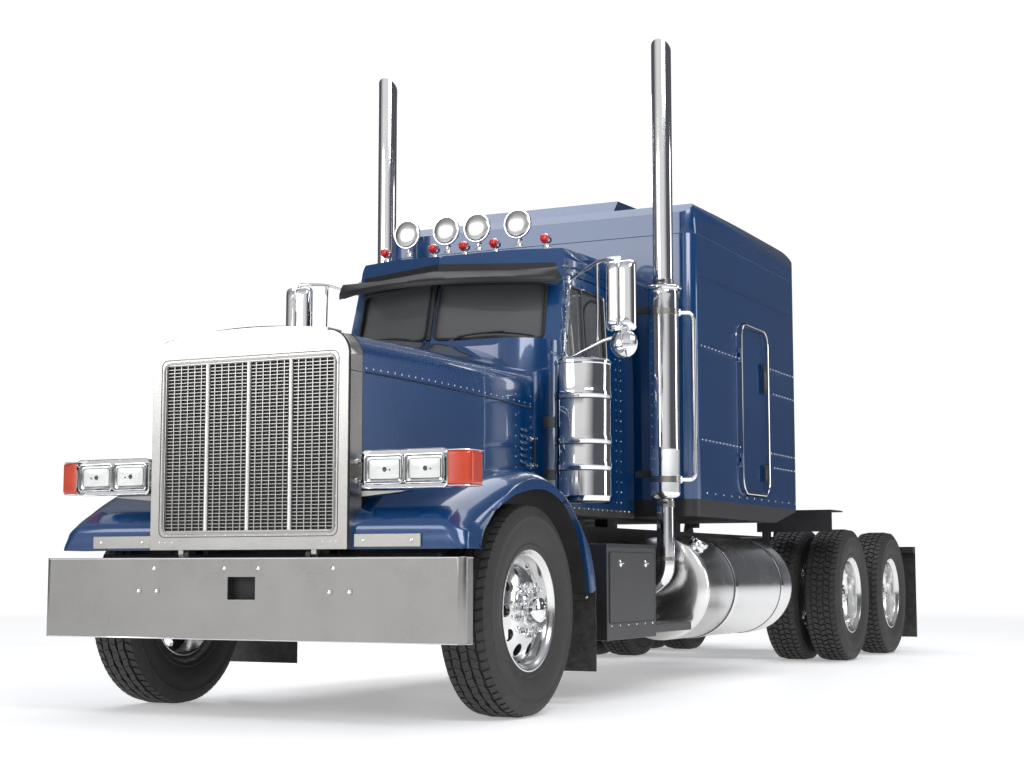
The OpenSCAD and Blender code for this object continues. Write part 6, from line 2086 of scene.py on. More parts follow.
class TRUCK_OT_mirrors(bpy.types.Operator):
    """Mirror heads, round spot mirrors and their tube arms"""

    bl_idname = "truck.mirrors"
    bl_label = "Mirrors"

    def execute(self, context):
        for s in SIDES:
            made = Build()
            self.head(made)
            self.spotter(made)
            self.arms(made)
            piece = made if s > 0 else made.mirrored()
            side = SIDE_NAME[s]
            piece.finish("mirror_set_" + side, "door_" + side, "bright_chrome", ("mirror_" + side,), angle=32)
        return done()

    def head(self, made):
        """Tall mirror case: crowned bright back, rubber edge and glass."""
        cx, cy = 1.1, ahead(1.344)
        half, z0, z1 = 0.09, 2.09, 2.504
        rings = []
        for depth, shrink in ((-0.046, 0.05), (-0.043, 0.03), (-0.034, 0.014), (-0.018, 0.004), (0.0, 0.0),
                              (0.014, 0.0), (0.018, 0.004)):
            outline = round_rectangle((cx - half + shrink, z0 + shrink), (cx + half - shrink, z1 - shrink),
                                      0.03 + shrink * 0.3, 6)
            rings.append([Vector((x, cy + depth, z)) for x, z in outline])
        made.grid(rings, "bright_chrome", closed=True)
        made.put(rings[0], [tuple(range(len(rings[0])))], "bright_chrome")
        glass = round_rectangle((cx - half + 0.006, z0 + 0.006), (cx + half - 0.006, z1 - 0.006), 0.026, 6)
        face = [Vector((x, cy + 0.0165, z)) for x, z in glass]
        made.tube([p + Y_AXIS * 0.0005 for p in face], 0.0042, "flap_rubber", 8, closed=True)
        made.put(face, [tuple(range(len(face)))], "mirror_glass")

    def spotter(self, made):
        """Round convex mirror under the head."""
        at, r = (1.115, ahead(1.335), 2.016), 0.084
        made.lathe([(TIP, -0.03), (0.03, -0.028), (0.058, -0.018), (r - 0.004, -0.004), (r, 0.004),
                    (r, 0.012),
                    (r - 0.005, 0.015)], at, Y_AXIS, "bright_chrome", 48)
        made.lathe([(r - 0.005, 0.014), (0.05, 0.02), (TIP, 0.023)], at, Y_AXIS, "mirror_glass", 48)

    def arms(self, made):
        """Loop of tube from the door over and under the head, with its brace and feet."""
        r = 0.0115
        high_z, low_z = 2.44, 1.942
        outer_x = 1.1
        y_top, y_low = ahead(1.495), ahead(1.374)
        foot_top = (cab_half(high_z) + 0.006, y_top, high_z)
        foot_low = (cab_half(low_z) + 0.006, y_low, low_z)
        y = ahead(1.344)
        loop = rounded_path([foot_top, (0.93, ahead(1.40), 2.517), (outer_x - 0.07, y + 0.004, 2.519),
                             (outer_x - 0.004, y, 2.519), (outer_x - 0.004, y, 2.49)], 0.03, 6)
        made.tube(loop, r, "bright_chrome", 12)
        under = rounded_path([foot_low, (0.99, ahead(1.352), 2.045), (outer_x - 0.004, y, 2.06),
                              (outer_x - 0.004, y, 2.1)], 0.03, 6)
        made.tube(under, r, "bright_chrome", 12)
        brace = rounded_path([(0.93, ahead(1.40), 2.517), (0.935, ahead(1.395), 2.2),
                              (0.94, ahead(1.368), 2.03)], 0.05, 6)
        made.tube(brace, r * 0.85, "bright_chrome", 10)
        rod = [(outer_x + 0.0, y - 0.052, 2.09), (outer_x + 0.0, y - 0.054, 2.3),
               (outer_x + 0.0, y - 0.052, 2.5)]
        made.tube(rod, r * 0.8, "bright_chrome", 10)
        for z in (2.1, 2.49):
            made.box((outer_x - 0.014, y - 0.06, z - 0.012), (outer_x + 0.014, y - 0.02, z + 0.012),
                     "bright_chrome")
        for foot in (foot_top, foot_low):
            base = Vector((cab_half(foot[2]) - 0.001, foot[1], foot[2]))
            made.lathe([(0.024, 0), (0.024, 0.006), (0.016, 0.012), (0.0125, 0.02)], base, X_AXIS,
                       "bright_chrome", 20)
        tip = Vector((1.115, ahead(1.335), 2.05))
        made.tube([(1.105, y - 0.012, 2.1), tip + Vector((0, -0.03, 0.02)),
                   tip + Vector((0, -0.026, -0.03))], 0.008,
                  "bright_chrome", 8)


# ---- tanks and steps -----------------------------------------------------------------------


class TRUCK_OT_tanks(bpy.types.Operator):
    """Round fuel tanks with domed ends, straps, filler caps and seams"""

    bl_idname = "truck.tanks"
    bl_label = "Fuel tanks"

    def execute(self, context):
        x, z, r = 0.88, 0.61, 0.328
        y0, y1 = ahead(2.44), ahead(4.32)
        for s in SIDES:
            tank = Build()
            crown = 0.03
            profile = [(TIP, 0.0), (r * 0.5, 0.004), (r * 0.8, 0.014), (r - 0.026, crown - 0.006),
                       (r - 0.008, crown + 0.004), (r - 0.001, crown + 0.02), (r, crown + 0.03)]
            length = y1 - y0
            back = [(q, length - h) for q, h in reversed(profile)]
            seams = []
            for h in (0.075, length - 0.075):
                seams += [(r, h - 0.006), (r + 0.0012, h - 0.003), (r + 0.0012, h + 0.003), (r, h + 0.006)]
            tank.lathe(profile + seams + back, (x, y0, z), Y_AXIS, "tank_aluminium", 96)
            for y in (ahead(3.03), ahead(4.03)):
                self.strap(tank, x, y, z, r)
            self.filler(tank, x, ahead(2.62), z, r)
            for k in (0, 1):
                at = (x, y0 + 0.0005 if k == 0 else y1 - 0.0005, z - 0.18)
                tank.bolt(at, (0, -1 if k == 0 else 1, 0), 0.014, 0.012, "stainless")
            self.bracket(tank, z)
            made = tank if s > 0 else tank.mirrored()
            made.finish("tank_" + SIDE_NAME[s], "chassis", "tank_aluminium",
                        ("fuel_tanks",) if s > 0 else (), angle=32)
        return done()

    def strap(self, tank, x, y, z, r):
        """Bright strap round the tank with its rubber liner and draw bolt."""
        for w, grow, finish in ((0.034, 0.003, "flap_rubber"), (0.026, 0.0055, "bright_chrome")):
            tank.lathe([(r, y - w), (r + grow, y - w + 0.001), (r + grow, y + w - 0.001), (r, y + w)],
                       (x, 0, z),
                       Y_AXIS, finish, 96)
        tank.tube([(x - 0.2, y, z + r * 0.82), (x - 0.12, y, z + r * 0.97)], 0.008, "bright_chrome", 8)

    def filler(self, tank, x, y, z, r):
        """Angled filler neck and its knurled cap."""
        a = math.radians(52)
        out = Vector((math.cos(a), 0, math.sin(a)))
        base = Vector((x, y, z)) + out * (r - 0.004)
        tank.lathe([(0.056, 0.0), (0.05, 0.01), (0.048, 0.026)], base, out, "tank_aluminium", 36)
        cap = [(0.054, 0.024), (0.056, 0.028), (0.056, 0.052), (0.052, 0.058), (0.03, 0.06), (TIP, 0.061)]
        tank.lathe(cap, base, out, "bright_chrome", 36)
        _, side, up = axes_of(out)
        for k in range(12):
            q = math.tau * k / 12
            at = base + side * (math.cos(q) * 0.056) + up * (math.sin(q) * 0.056)
            tank.tube([at + out * 0.03, at + out * 0.05], 0.0045, "bright_chrome", 6)

    def bracket(self, tank, z):
        """Black cradle brackets between the rail and the tank."""
        for y in (ahead(3.03), ahead(4.03)):
            outline = [(0.431, z - 0.2), (0.56, z - 0.27), (0.66, z - 0.252), (0.585, z - 0.15), (0.552, z),
                       (0.585, z + 0.15), (0.56, z + 0.21), (0.431, z + 0.3)]
            rows = [[Vector((px, y + k, pz)) for px, pz in outline] for k in (-0.03, 0.03)]
            tank.loft(rows, "frame_black")


class TRUCK_OT_steps(bpy.types.Operator):
    """Battery and tool boxes with lids, hinges, latches and tread plates"""

    bl_idname = "truck.steps"
    bl_label = "Side steps"

    def execute(self, context):
        dress("side_steps", "dark_steel", 0.004)
        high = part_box("side_steps")[1]
        for s in SIDES:
            trim = Build()
            y0, y1, x0, x1 = ahead(1.04), ahead(1.78), 0.52, high.x
            self.tread(trim, x0 + 0.02, x1 - 0.015, y0 + 0.02, y1 - 0.02, 0.865)
            self.tread(trim, x0 + 0.12, x1 - 0.015, ahead(1.82), ahead(2.34), 0.405)
            face = x1 + 0.0005
            lid = round_rectangle((y0 + 0.03, 0.43), (y1 - 0.03, 0.82), 0.02)
            rows = [[Vector((face + k, y, z)) for y, z in lid] for k in (-0.002, 0.004)]
            trim.loft(rows, "dark_steel")
            rim = [Vector((face + 0.002, y, z)) for y, z in lid]
            trim.tube(rim, 0.0035, "flap_rubber", 6, closed=True)
            for y in (y0 + 0.18, y1 - 0.18):
                trim.lathe([(0.022, 0.003), (0.022, 0.008), (0.014, 0.012), (TIP, 0.013)],
                           (face, y, 0.76), X_AXIS,
                           "bright_chrome", 20)
                trim.tube([(face + 0.012, y - 0.02, 0.76), (face + 0.016, y + 0.02, 0.76)], 0.005,
                          "bright_chrome", 8)
            for y in row_of((0, y0 + 0.06, 0), (0, y1 - 0.06, 0), 0.12):
                trim.dome((face, y.y, 0.415), X_AXIS, 0.006, "bright_chrome")
            trim.box((x1 - 0.004, y0 + 0.01, 0.846), (x1 + 0.004, y1 - 0.01, 0.868), "bright_chrome")
            made = trim if s > 0 else trim.mirrored()
            made.finish("step_trim_" + SIDE_NAME[s], "chassis", "tank_aluminium")
        return done()

    def tread(self, trim, x0, x1, y0, y1, z):
        """Bright tread plate with raised lozenges in alternating directions."""
        trim.box((x0, y0, z - 0.001), (x1, y1, z + 0.0025), "diamond_plate")
        pitch = 0.042
        for i in range(int((x1 - x0 - 0.03) / pitch)):
            for k in range(int((y1 - y0 - 0.03) / pitch)):
                cx, cy = x0 + 0.03 + i * pitch, y0 + 0.03 + k * pitch
                turn = math.pi / 4 * (1 if (i + k) % 2 else -1)
                run = Vector((math.cos(turn), math.sin(turn), 0)) * 0.013
                side = Vector((-run.y, run.x, 0)) * 0.26
                at = Vector((cx, cy, z + 0.0024))
                points = [at - run, at + side, at + run, at - side, at + Vector((0, 0, 0.0024))]
                trim.put(points, [(0, 3, 4), (3, 2, 4), (2, 1, 4), (1, 0, 4)], "diamond_plate")


# ---- chassis -------------------------------------------------------------------------------

IRON = {
    "frame_black": ("chassis_frame", "suspension", "knuckle_left", "knuckle_right", "tie_rod", "front_axle"),
    "cast_grey": ("engine_block", "drive_axles", "driveshafts", "fifth_wheel"),
    "radiator_black": ("radiator",),
}


class TRUCK_OT_chassis(bpy.types.Operator):
    """Chassis finishes, rail bolts, an air tank, lines, rear lamps and light bar"""

    bl_idname = "truck.chassis"
    bl_label = "Chassis"

    def execute(self, context):
        for finish, nodes in IRON.items():
            for node in nodes:
                dress(node, finish, 0.003, 40.0)
        self.rail_bolts()
        self.air_lines()
        self.rear_end()
        self.fifth_wheel()
        self.engine()
        return done()

    def rail_bolts(self):
        """Rows of bolts on the outside of the rails."""
        made = Build()
        rail_x, z0, z1 = 0.4305, 0.73, 1.0
        for s in SIDES:
            for y in [ahead(4.5 + i * 0.2) for i in range(18)]:
                for z in (z0 + 0.055, z1 - 0.055):
                    made.bolt((s * rail_x, y, z), (s, 0, 0), 0.0125, 0.012, "dark_steel")
            for y in [ahead(-0.3 + i * 0.24) for i in range(10)]:
                made.bolt((s * rail_x, y, z0 + 0.06), (s, 0, 0), 0.0125, 0.012, "dark_steel")
        made.finish("rail_bolts", "chassis", "frame_black")

    def air_lines(self):
        """An air tank across the frame, valves, and looms along the rails."""
        made = Build()
        for y in (ahead(4.95),):
            profile = [(TIP, -0.26), (0.05, -0.256), (0.085, -0.238), (0.1, -0.2), (0.1, 0.2),
                       (0.085, 0.238),
                       (0.05, 0.256), (TIP, 0.26)]
            made.lathe(profile, (0.0, y, 0.63), X_AXIS, "frame_black", 40)
            for x in (-0.15, 0.15):
                made.lathe([(0.1005, x - 0.014), (0.103, x - 0.013), (0.103, x + 0.013), (0.1005, x + 0.014)],
                           (0, y, 0.63), X_AXIS, "stainless", 40)
                made.box((x - 0.014, y - 0.012, 0.72), (x + 0.014, y + 0.012, 0.79), "frame_black")
        for s in SIDES:
            for k, z in enumerate((0.9, 0.875, 0.85)):
                path = [(s * (0.325 - 0.004 * k), ahead(2.6 + i * 0.55), z + 0.006 * math.sin(i * 1.7 + k))
                        for i in range(10)]
                made.tube(curve_through(path, 5), 0.0085, "flap_rubber", 8)
        made.finish("air_system", "chassis", "frame_black")

    def rear_end(self):
        """Quarter fenders, rear flaps with their hangers, tail lamps and licence lamp."""
        dress("rear_mudguards", "frame_black", 0.003)
        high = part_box("rear_mudguards")[1]
        made = Build()
        rear_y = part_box("chassis_frame")[1].y
        for s in SIDES:
            for x, finish in ((0.24, "red_lens"), (0.33, "red_lens")):
                at = (s * x, high.y - 0.02, 0.93)
            flap_top = 0.93
            for i in range(6):
                x = 0.65 + i * 0.1
                made.bolt((s * x, high.y - 0.0005, flap_top - 0.03), Y_AXIS, 0.009, 0.006, "bright_chrome")
            bar = [(s * 0.62, high.y + 0.0005, 0.235), (s * 1.18, high.y + 0.0005, 0.235)]
            made.tube(bar, 0.006, "bright_chrome", 8)
        made.finish("rear_flap_trim", "chassis", "frame_black")
        lamps = Build()
        y = rear_y
        lamps.box((-0.33, y - 0.06, 0.66), (0.33, y - 0.052, 0.79), "frame_black")
        for s in SIDES:
            for x, finish in ((0.13, "lamp_white"), (0.2, "red_lens"), (0.28, "red_lens")):
                at = (s * x, y - 0.052, 0.725)
                lamps.lathe([(0.034, 0), (0.034, 0.01), (0.03, 0.014)], at, Y_AXIS, "flap_rubber", 28)
                lamps.lathe([(0.03, 0.012), (0.022, 0.019), (TIP, 0.022)], at, Y_AXIS, finish, 28)
        lamps.finish("tail_lamps", "chassis", "frame_black")

    def fifth_wheel(self):
        """Grease on the plate, grease grooves and the release handle."""
        low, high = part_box("fifth_wheel")
        made = Build()
        for s in SIDES:
            path = [(s * (0.12 + 0.05 * i), high.y - 0.16 - 0.05 * math.sin(i * 0.8) - 0.045 * i,
                     high.z + 0.0003)
                    for i in range(6)]
            made.tube(curve_through(path, 4), 0.004, "radiator_black", 6)
        rod = rounded_path([(0.1, (low.y + high.y) / 2, high.z - 0.07),
                            (0.34, (low.y + high.y) / 2 - 0.02, high.z - 0.075),
                            (0.44, (low.y + high.y) / 2 - 0.05, high.z - 0.085)], 0.03)
        made.tube(rod, 0.007, "dark_steel", 8)
        made.finish("fifth_wheel_trim", "fifth_wheel", "frame_black")

    def engine(self):
        """Rocker cover, manifold and filters on the plain block."""
        made = Build()
        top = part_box("engine_block")[1].z
        y0, y1 = ahead(-0.36), ahead(0.78)
        outline = round_rectangle((-0.15, top - 0.02), (0.15, top + 0.075), 0.03)
        made.extrude(outline, "y", y0, y1, "cast_grey")
        for i in range(7):
            y = y0 + 0.06 + i * 0.17
            for s in SIDES:
                made.bolt((s * 0.12, y, top + 0.074), Z_AXIS, 0.009, 0.008, "dark_steel")
        for i in range(6):
            y = y0 + 0.1 + i * 0.18
            made.tube(rounded_path([(0.3, y, top - 0.12), (0.37, y, top - 0.12), (0.37, y, top - 0.2)],
                                   0.05), 0.03,
                      "dark_steel", 14)
        made.tube([(0.37, y0 + 0.05, top - 0.22), (0.37, y1 - 0.05, top - 0.22)], 0.045, "dark_steel", 18)
        for i, x in enumerate((-0.37, -0.37)):
            y = ahead(0.05 + i * 0.2)
            made.lathe([(TIP, 0.0), (0.045, 0.005), (0.055, 0.02), (0.055, 0.2), (0.045, 0.21),
                        (0.04, 0.23)],
                       (x, y, top - 0.6), Z_AXIS, "bright_chrome", 28)
        made.finish("engine_details", "chassis", "cast_grey", angle=40)


# ---- inside the cab ------------------------------------------------------------------------


def pillow_form(low, high, crown, channels=0, across="x"):
    """A cushion's starting form: a box of fine quads whose faces swell between its edges."""
    made = Build()
    low, high = Vector(low), Vector(high)
    size = high - low

    def place(u, v, w):
        p = Vector((u * 2 - 1, v * 2 - 1, w * 2 - 1))
        p.x, p.y, p.z = (math.copysign(abs(c) ** 0.92, c) for c in p)
        rest = 1 - max(abs(p.x), abs(p.y)) ** 4
        q = Vector((p.x * (1 - 0.05 * p.z * p.z), p.y * (1 - 0.05 * p.z * p.z), p.z * (0.8 + 0.2 * rest)))
        if channels:
            along = u if across == "x" else v
            groove = abs(math.sin(math.pi * channels * along)) ** 0.35
            q.z *= 0.86 + 0.14 * groove
        centre = (low + high) / 2
        half = size / 2
        return Vector((centre.x + q.x * half.x, centre.y + q.y * half.y, centre.z + q.z * half.z * crown))

    faces = (
        lambda a, b: (a, b, 1.0), lambda a, b: (b, a, 0.0), lambda a, b: (a, 0.0, b), lambda a,
             b: (b, 1.0, a),
        lambda a, b: (0.0, b, a), lambda a, b: (1.0, a, b),
    )
    for face in faces:
        count = 20
        rows = [[place(*face(i / count, k / count)) for k in range(count + 1)] for i in range(count + 1)]
        made.grid(rows, "seat_cloth")
    return made


def stuff(piece, cap, cell):
    """Fills a pad by cloth simulation, keeps each point within cap metres of its start, and smooths it."""
    bpy.context.view_layer.objects.active = piece
    remesh = piece.modifiers.new("even", "REMESH")
    remesh.mode, remesh.voxel_size, remesh.use_smooth_shade = "VOXEL", cell, True
    apply_modifiers(piece)
    start = [v.co.copy() for v in piece.data.vertices]
    cloth = piece.modifiers.new("cloth", "CLOTH")
    cloth.settings.use_pressure = True
    cloth.settings.uniform_pressure_force = 4.0
    cloth.settings.effector_weights.gravity = 0.0
    cloth.settings.quality = 4
    cloth.point_cache.frame_start, cloth.point_cache.frame_end = 1, 14
    for number in range(1, 15):
        bpy.context.scene.frame_set(number)
    apply_modifiers(piece)
    bpy.context.scene.frame_set(1)
    for vertex, before in zip(piece.data.vertices, start):
        move = vertex.co - before
        if move.length > cap:
            vertex.co = before + move.normalized() * cap
    piece.data.shade_smooth()


def pad(name, low, high, body, slot, finish, tilt=0.0, pivot=None, channels=0, replaces=(), crown=1.0,
        cap=0.012,
        cell=0.011):
    """One padded piece: its form, its filling and its cloth."""
    form = pillow_form(low, high, crown, channels)
    form.finishes = [finish]
    if tilt:
        turn = Matrix.Rotation(tilt, 3, "X")
        pivot = Vector(pivot)
        form.points = [turn @ (p - pivot) + pivot for p in form.points]
    piece = form.finish(name, body, slot, replaces, angle=180)
    piece.parent = None
    stuff(piece, cap, cell)
    smooth = piece.modifiers.new("smooth", "SUBSURF")
    smooth.levels = smooth.render_levels = 1
    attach(piece, body)
    return piece


class TRUCK_OT_seats(bpy.types.Operator):
    """Driver's and passenger's seats: padded cushions and backs on air-sprung bases"""

    bl_idname = "truck.seats"
    bl_label = "Seats"

    def execute(self, context):
        low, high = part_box("seats")
        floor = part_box("cab_floor")[1].z
        front = low.y
        top = high.z
        for s in SIDES:
            side = SIDE_NAME[s]
            x = s * 0.39
            half = 0.222
            cushion_z = 1.5
            pad("seat_cushion_" + side, (x - half, front + 0.015, cushion_z),
                (x + half, front + 0.53, cushion_z + 0.135),
                "chassis", "seat_cloth", "seat_cloth", channels=5, replaces=("seats",) if s > 0 else ())
            pad("seat_back_" + side, (x - half, front + 0.53, cushion_z + 0.11),
                (x + half, front + 0.645, top - 0.02),
                "chassis", "seat_cloth", "seat_cloth", channels=5, crown=1.0)
            self.base(s, x, half, front, floor, cushion_z)
        return done()

    def base(self, s, x, half, front, floor, cushion_z):
        made = Build()
        made.box((x - half + 0.03, front + 0.04, cushion_z - 0.06),
                 (x + half - 0.03, front + 0.5, cushion_z - 0.002),
                 "cab_plastic")
        rows = []
        count = 15
        for i in range(count):
            z = floor + 0.02 + (cushion_z - 0.07 - floor) * i / (count - 1)
            swell = 0.012 if i % 2 else -0.004
            ring = round_rectangle((x - 0.15 - swell, front + 0.1 - swell),
                                   (x + 0.15 + swell, front + 0.42 + swell), 0.05)
            rows.append([Vector((px, py, z)) for px, py in ring])
        made.loft(rows, "flap_rubber")
        made.box((x - 0.18, front + 0.07, floor + 0.0005), (x + 0.18, front + 0.45, floor + 0.03),
                 "frame_black")
        arm_z = cushion_z + 0.27
        for e in SIDES:
            arm = rounded_path([(x + e * (half - 0.0), front + 0.56, arm_z),
                                (x + e * (half + 0.0), front + 0.3, arm_z)], 0.02)
            made.tube(arm, 0.022, "cab_plastic", 12)
        made.finish("seat_base_" + SIDE_NAME[s], "chassis", "cab_plastic", bevel=0.004)


class TRUCK_OT_cab_inside(bpy.types.Operator):
    """Dashboard with dials and switches, steering wheel, pedals, gear lever, and the bunk"""

    bl_idname = "truck.cab_inside"
    bl_label = "Cab inside"

    def execute(self, context):
        dress("dashboard", "cab_plastic", 0.012)
        dress("steering_wheel", "cab_plastic", 0.003)
        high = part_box("dashboard")[1]
        made = Build()
        face = high.y
        for i in range(4):
            x = 0.27 + i * 0.085
            self.dial(made, (x, face, 1.9), 0.034)
        for x in (0.3, 0.46):
            self.dial(made, (x, face, 1.8), 0.05)
        for row in range(2):
            for i in range(9):
                x = -0.16 + i * 0.036
                z = 1.86 - row * 0.05
                outline = round_rectangle((x - 0.012, z - 0.017), (x + 0.012, z + 0.017), 0.004, 3)
                made.extrude(outline, "y", face - 0.001, face + 0.007, "trim_grey")
        vent = round_rectangle((-0.5, 1.84), (-0.3, 1.91), 0.012)
        made.extrude(vent, "y", face - 0.001, face + 0.006, "trim_grey")
        for i in range(5):
            z = 1.85 + i * 0.0125
            made.box((-0.485, face + 0.005, z), (-0.315, face + 0.009, z + 0.005), "radiator_black")
        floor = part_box("cab_floor")[1].z
        lever = [(0.08, ahead(1.75), floor), (0.09, ahead(1.77), floor + 0.2),
                 (0.11, ahead(1.79), floor + 0.42)]
        made.tube(curve_through(lever, 6), 0.01, "bright_chrome", 10)
        made.lathe([(TIP, -0.03), (0.02, -0.026), (0.03, 0.0), (0.02, 0.026), (TIP, 0.03)],
                   (0.111, ahead(1.79), floor + 0.44), Z_AXIS, "cab_plastic", 20)
        boot = [(0.07, 0.0), (0.05, 0.02), (0.055, 0.03), (0.038, 0.05), (0.042, 0.06), (0.02, 0.085)]
        made.lathe(boot, (0.08, ahead(1.75), floor), Z_AXIS, "flap_rubber", 24)
        for x in (0.28, 0.38, 0.49):
            y = ahead(1.36)
            made.tube([(x, y - 0.03, floor + 0.3), (x, y + 0.03, floor + 0.16)], 0.008, "frame_black", 8)
            made.box((x - 0.03, y + 0.02, floor + 0.11), (x + 0.03, y + 0.034, floor + 0.19), "flap_rubber")
        made.finish("cab_controls", "chassis", "cab_plastic")
        mattress_low, mattress_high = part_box("bunk")
        pad("bunk_mattress", (mattress_low.x + 0.012, mattress_low.y + 0.012, mattress_high.z - 0.17),
            (mattress_high.x - 0.012, mattress_high.y - 0.012, mattress_high.z - 0.004), "chassis",
            "seat_cloth",
            "bunk_cloth", channels=9, replaces=("bunk",), cap=0.008, cell=0.017)
        bed = Build()
        bed.box((mattress_low.x + 0.002, mattress_low.y + 0.002, mattress_high.z - 0.4),
                (mattress_high.x - 0.002, mattress_high.y - 0.002, mattress_high.z - 0.172), "trim_grey")
        for s in SIDES:
            bed.box((s * 0.62 - 0.4, mattress_low.y - 0.004, mattress_high.z - 0.38),
                    (s * 0.62 + 0.4, mattress_low.y + 0.004, mattress_high.z - 0.2), "cab_plastic")
        bed.finish("bunk_base", "chassis", "cab_plastic", bevel=0.004)
        return done()

    def dial(self, made, at, r):
        """A gauge: bright bezel, dark face, ticks and a needle."""
        made.lathe([(r + 0.006, 0), (r + 0.005, 0.009), (r, 0.01), (r - 0.002, 0.004)], at, Y_AXIS,
                   "bright_chrome", 32)
        made.lathe([(r, 0.003), (TIP, 0.0031)], at, Y_AXIS, "radiator_black", 32)
        x, y, z = at
        for k in range(11):
            a = math.radians(225 - 27 * k)
            p = Vector((x - math.cos(a) * r * 0.82, y + 0.0035, z + math.sin(a) * r * 0.82))
            q = Vector((x - math.cos(a) * r * 0.68, y + 0.0035, z + math.sin(a) * r * 0.68))
            made.tube([p, q], 0.0009, "lamp_white", 4)
        made.tube([(x, y + 0.005, z), (x + r * 0.55, y + 0.005, z - r * 0.35)], 0.0014, "red_lens", 5)


# ---- stage ---------------------------------------------------------------------------------


AREA_LIGHTS = (  # name, place, aim, width, height, power
    ("key", (9.0, -9.0, 9.0), (0.5, 0.0, 1.4), 7.0, 4.5, 760.0),
    ("front", (-5.0, -13.0, 4.5), (0.0, -2.5, 1.3), 7.0, 4.0, 330.0),
    ("top", (0.0, 1.5, 10.5), (0.0, 1.0, 0.0), 12.0, 7.0, 520.0),
    ("side", (13.0, 7.0, 4.0), (1.0, 1.0, 1.8), 3.0, 6.0, 240.0),
    ("back", (-8.0, 11.0, 6.0), (0.0, 1.0, 1.5), 6.0, 4.0, 260.0),
)


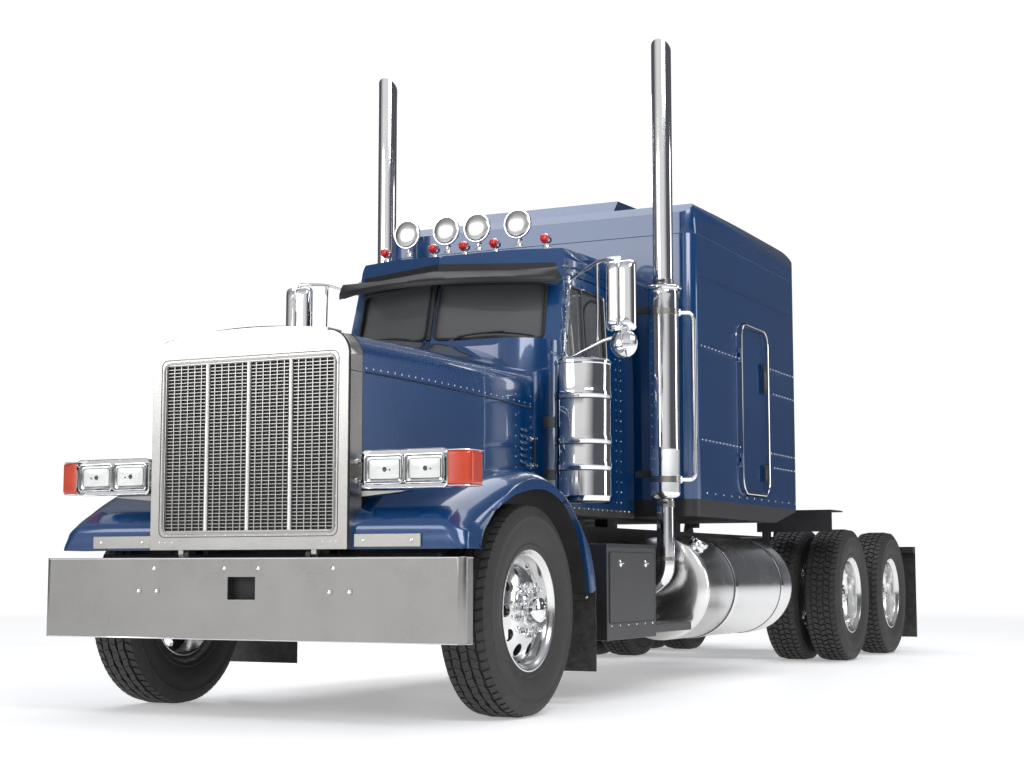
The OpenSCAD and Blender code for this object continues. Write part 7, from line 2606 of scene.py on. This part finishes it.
class TRUCK_OT_stage(bpy.types.Operator):
    """Pale floor, soft studio lights and the camera"""

    bl_idname = "truck.stage"
    bl_label = "Studio"

    def execute(self, context):
        self.floor()
        self.lights()
        self.camera()
        return done()

    def floor(self):
        w, shader = start_finish("studio_floor")
        pale = tuple(colours().floor)
        shade = w.noise(w.place(), 0.4, 2.0)
        reach = w.add("ShaderNodeVectorMath")
        reach.operation = "LENGTH"
        w.link(w.place(), reach.inputs[0])
        far = w.span(reach.outputs["Value"], 7.0, 22.0)
        seen = w.math("MULTIPLY", far, w.add("ShaderNodeLightPath").outputs["Is Camera Ray"])
        near_tone = w.blend(shade, rgb(pale, 0.985), rgb(pale))
        w.feed(shader.inputs["Base Color"], w.blend(seen, near_tone, rgb((0.0, 0.0, 0.0))))
        w.feed(shader.inputs["Roughness"], w.span(shade, 0, 1, 0.4, 0.5))
        near_glow = w.blend(shade, rgb(pale, 0.355), rgb(pale, 0.36))
        w.feed(shader.inputs["Emission Color"], w.blend(seen, near_glow, rgb((1.05, 1.05, 1.05))))
        shader.inputs["Emission Strength"].default_value = 1.0
        made = Build()
        rows = []
        for i in range(41):
            y = -100 + 300 * i / 40
            rows.append([(x, y, 0.0) for x in (-150, -75, 0, 75, 150)])
        made.grid(rows, "studio_floor")
        mesh = bpy.data.meshes.new("studio_floor")
        mesh.from_pydata(made.points, [], made.faces)
        mesh.materials.append(FINISHES["studio_floor"])
        mesh.shade_smooth()
        floor = bpy.data.objects.new("studio_floor", mesh)
        bpy.context.scene.collection.objects.link(floor)

    def lights(self):
        world = bpy.data.worlds.new("studio")
        bpy.context.scene.world = world
        world.use_nodes = True
        w = Wiring(world.node_tree)
        w.nodes.clear()
        view = w.height(w.add("ShaderNodeTexCoord").outputs["Generated"])
        front = w.span(view[1], -0.35, -0.85)
        wing = w.span(w.math("ABSOLUTE", view[0]), 0.55, 0.3)
        tone = w.blend(front, rgb((0.1, 0.105, 0.12)), rgb((0.86, 0.86, 0.86)))
        tone = w.blend(w.span(view[2], 0.35, 0.8), tone, rgb((0.5, 0.52, 0.56)))
        band = w.span(w.math("ABSOLUTE", w.math("SUBTRACT", view[2], 0.03)), 0.0, 0.08, 1.0, 0.0)
        tone = w.blend(w.math("MULTIPLY", band, w.math("MULTIPLY", wing, 0.8)), tone,
                       rgb((0.05, 0.05, 0.055)))
        studio, seen = w.add("ShaderNodeBackground"), w.add("ShaderNodeBackground")
        w.feed(studio.inputs["Color"], tone)
        studio.inputs["Strength"].default_value = 0.95
        seen.inputs["Color"].default_value = rgb((1.0, 1.0, 1.0))
        seen.inputs["Strength"].default_value = 1.05
        mix = w.add("ShaderNodeMixShader")
        w.link(w.add("ShaderNodeLightPath").outputs["Is Camera Ray"], mix.inputs[0])
        w.link(studio.outputs[0], mix.inputs[1])
        w.link(seen.outputs[0], mix.inputs[2])
        out = w.add("ShaderNodeOutputWorld")
        w.link(mix.outputs[0], out.inputs[0])
        bpy.context.scene.view_settings.view_transform = "Standard"
        for name, at, aim, width, height, power in AREA_LIGHTS:
            self.area(name, at, aim, width, height, power)

    def area(self, name, at, aim, width, height, power):
        data = bpy.data.lights.new(name, "AREA")
        data.shape, data.size, data.size_y, data.energy = "RECTANGLE", width, height, power
        lamp = bpy.data.objects.new(name, data)
        lamp.location = at
        lamp.rotation_mode = "QUATERNION"
        lamp.rotation_quaternion = (Vector(aim) - Vector(at)).to_track_quat("-Z", "Y")
        bpy.context.scene.collection.objects.link(lamp)

    def camera(self):
        setting = sizes()
        data = bpy.data.cameras.new("studio_camera")
        data.sensor_width = 36.0
        data.lens = setting.camera_lens
        data.clip_start, data.clip_end = 0.1, 300.0
        camera = bpy.data.objects.new("studio_camera", data)
        yaw, pitch = setting.camera_yaw, setting.camera_pitch
        look = Vector((-math.sin(yaw) * math.cos(pitch), math.cos(yaw) * math.cos(pitch), math.sin(pitch)))
        camera.location = CAMERA_AT
        camera.rotation_mode = "QUATERNION"
        camera.rotation_quaternion = look.to_track_quat("-Z", "Y")
        bpy.context.scene.collection.objects.link(camera)
        bpy.context.scene.camera = camera


# ---- panel and running ---------------------------------------------------------------------

OPERATORS = (
    TRUCK_OT_stage, TRUCK_OT_bonnet, TRUCK_OT_fenders, TRUCK_OT_grille, TRUCK_OT_lamps, TRUCK_OT_bumper,
    TRUCK_OT_steer_wheels, TRUCK_OT_drive_wheels, TRUCK_OT_stacks, TRUCK_OT_air_cleaners,
    TRUCK_OT_body_paint, TRUCK_OT_body_rivets, TRUCK_OT_windscreen, TRUCK_OT_roof_lamps, TRUCK_OT_mirrors,
    TRUCK_OT_tanks, TRUCK_OT_steps, TRUCK_OT_chassis, TRUCK_OT_seats, TRUCK_OT_cab_inside,
)


class TRUCK_PT_pieces(bpy.types.Panel):
    """Lists the truck's pieces, its colours and its detail sizes"""

    bl_idname = "TRUCK_PT_pieces"
    bl_label = "Truck"
    bl_space_type = "VIEW_3D"
    bl_region_type = "UI"
    bl_category = "Truck"

    def draw(self, context):
        for group in (context.scene.truck_colours, context.scene.truck_sizes):
            for key in group.bl_rna.properties.keys():
                if key not in ("rna_type", "name"):
                    self.layout.prop(group, key)
        for operator in OPERATORS:
            self.layout.operator(operator.bl_idname)


CLASSES = (TruckColours, TruckSizes, TRUCK_PT_pieces) + OPERATORS


def register():
    for kind in CLASSES:
        bpy.utils.register_class(kind)
    bpy.types.Scene.truck_colours = bpy.props.PointerProperty(type=TruckColours)
    bpy.types.Scene.truck_sizes = bpy.props.PointerProperty(type=TruckSizes)


def unregister():
    del bpy.types.Scene.truck_sizes
    del bpy.types.Scene.truck_colours
    for kind in reversed(CLASSES):
        bpy.utils.unregister_class(kind)


def main():
    """Registers the add-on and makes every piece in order."""
    register()
    make_finishes(colours())
    for operator in OPERATORS:
        group, action = operator.bl_idname.split(".")
        getattr(getattr(bpy.ops, group), action)()


if __name__ == "__main__":
    main()
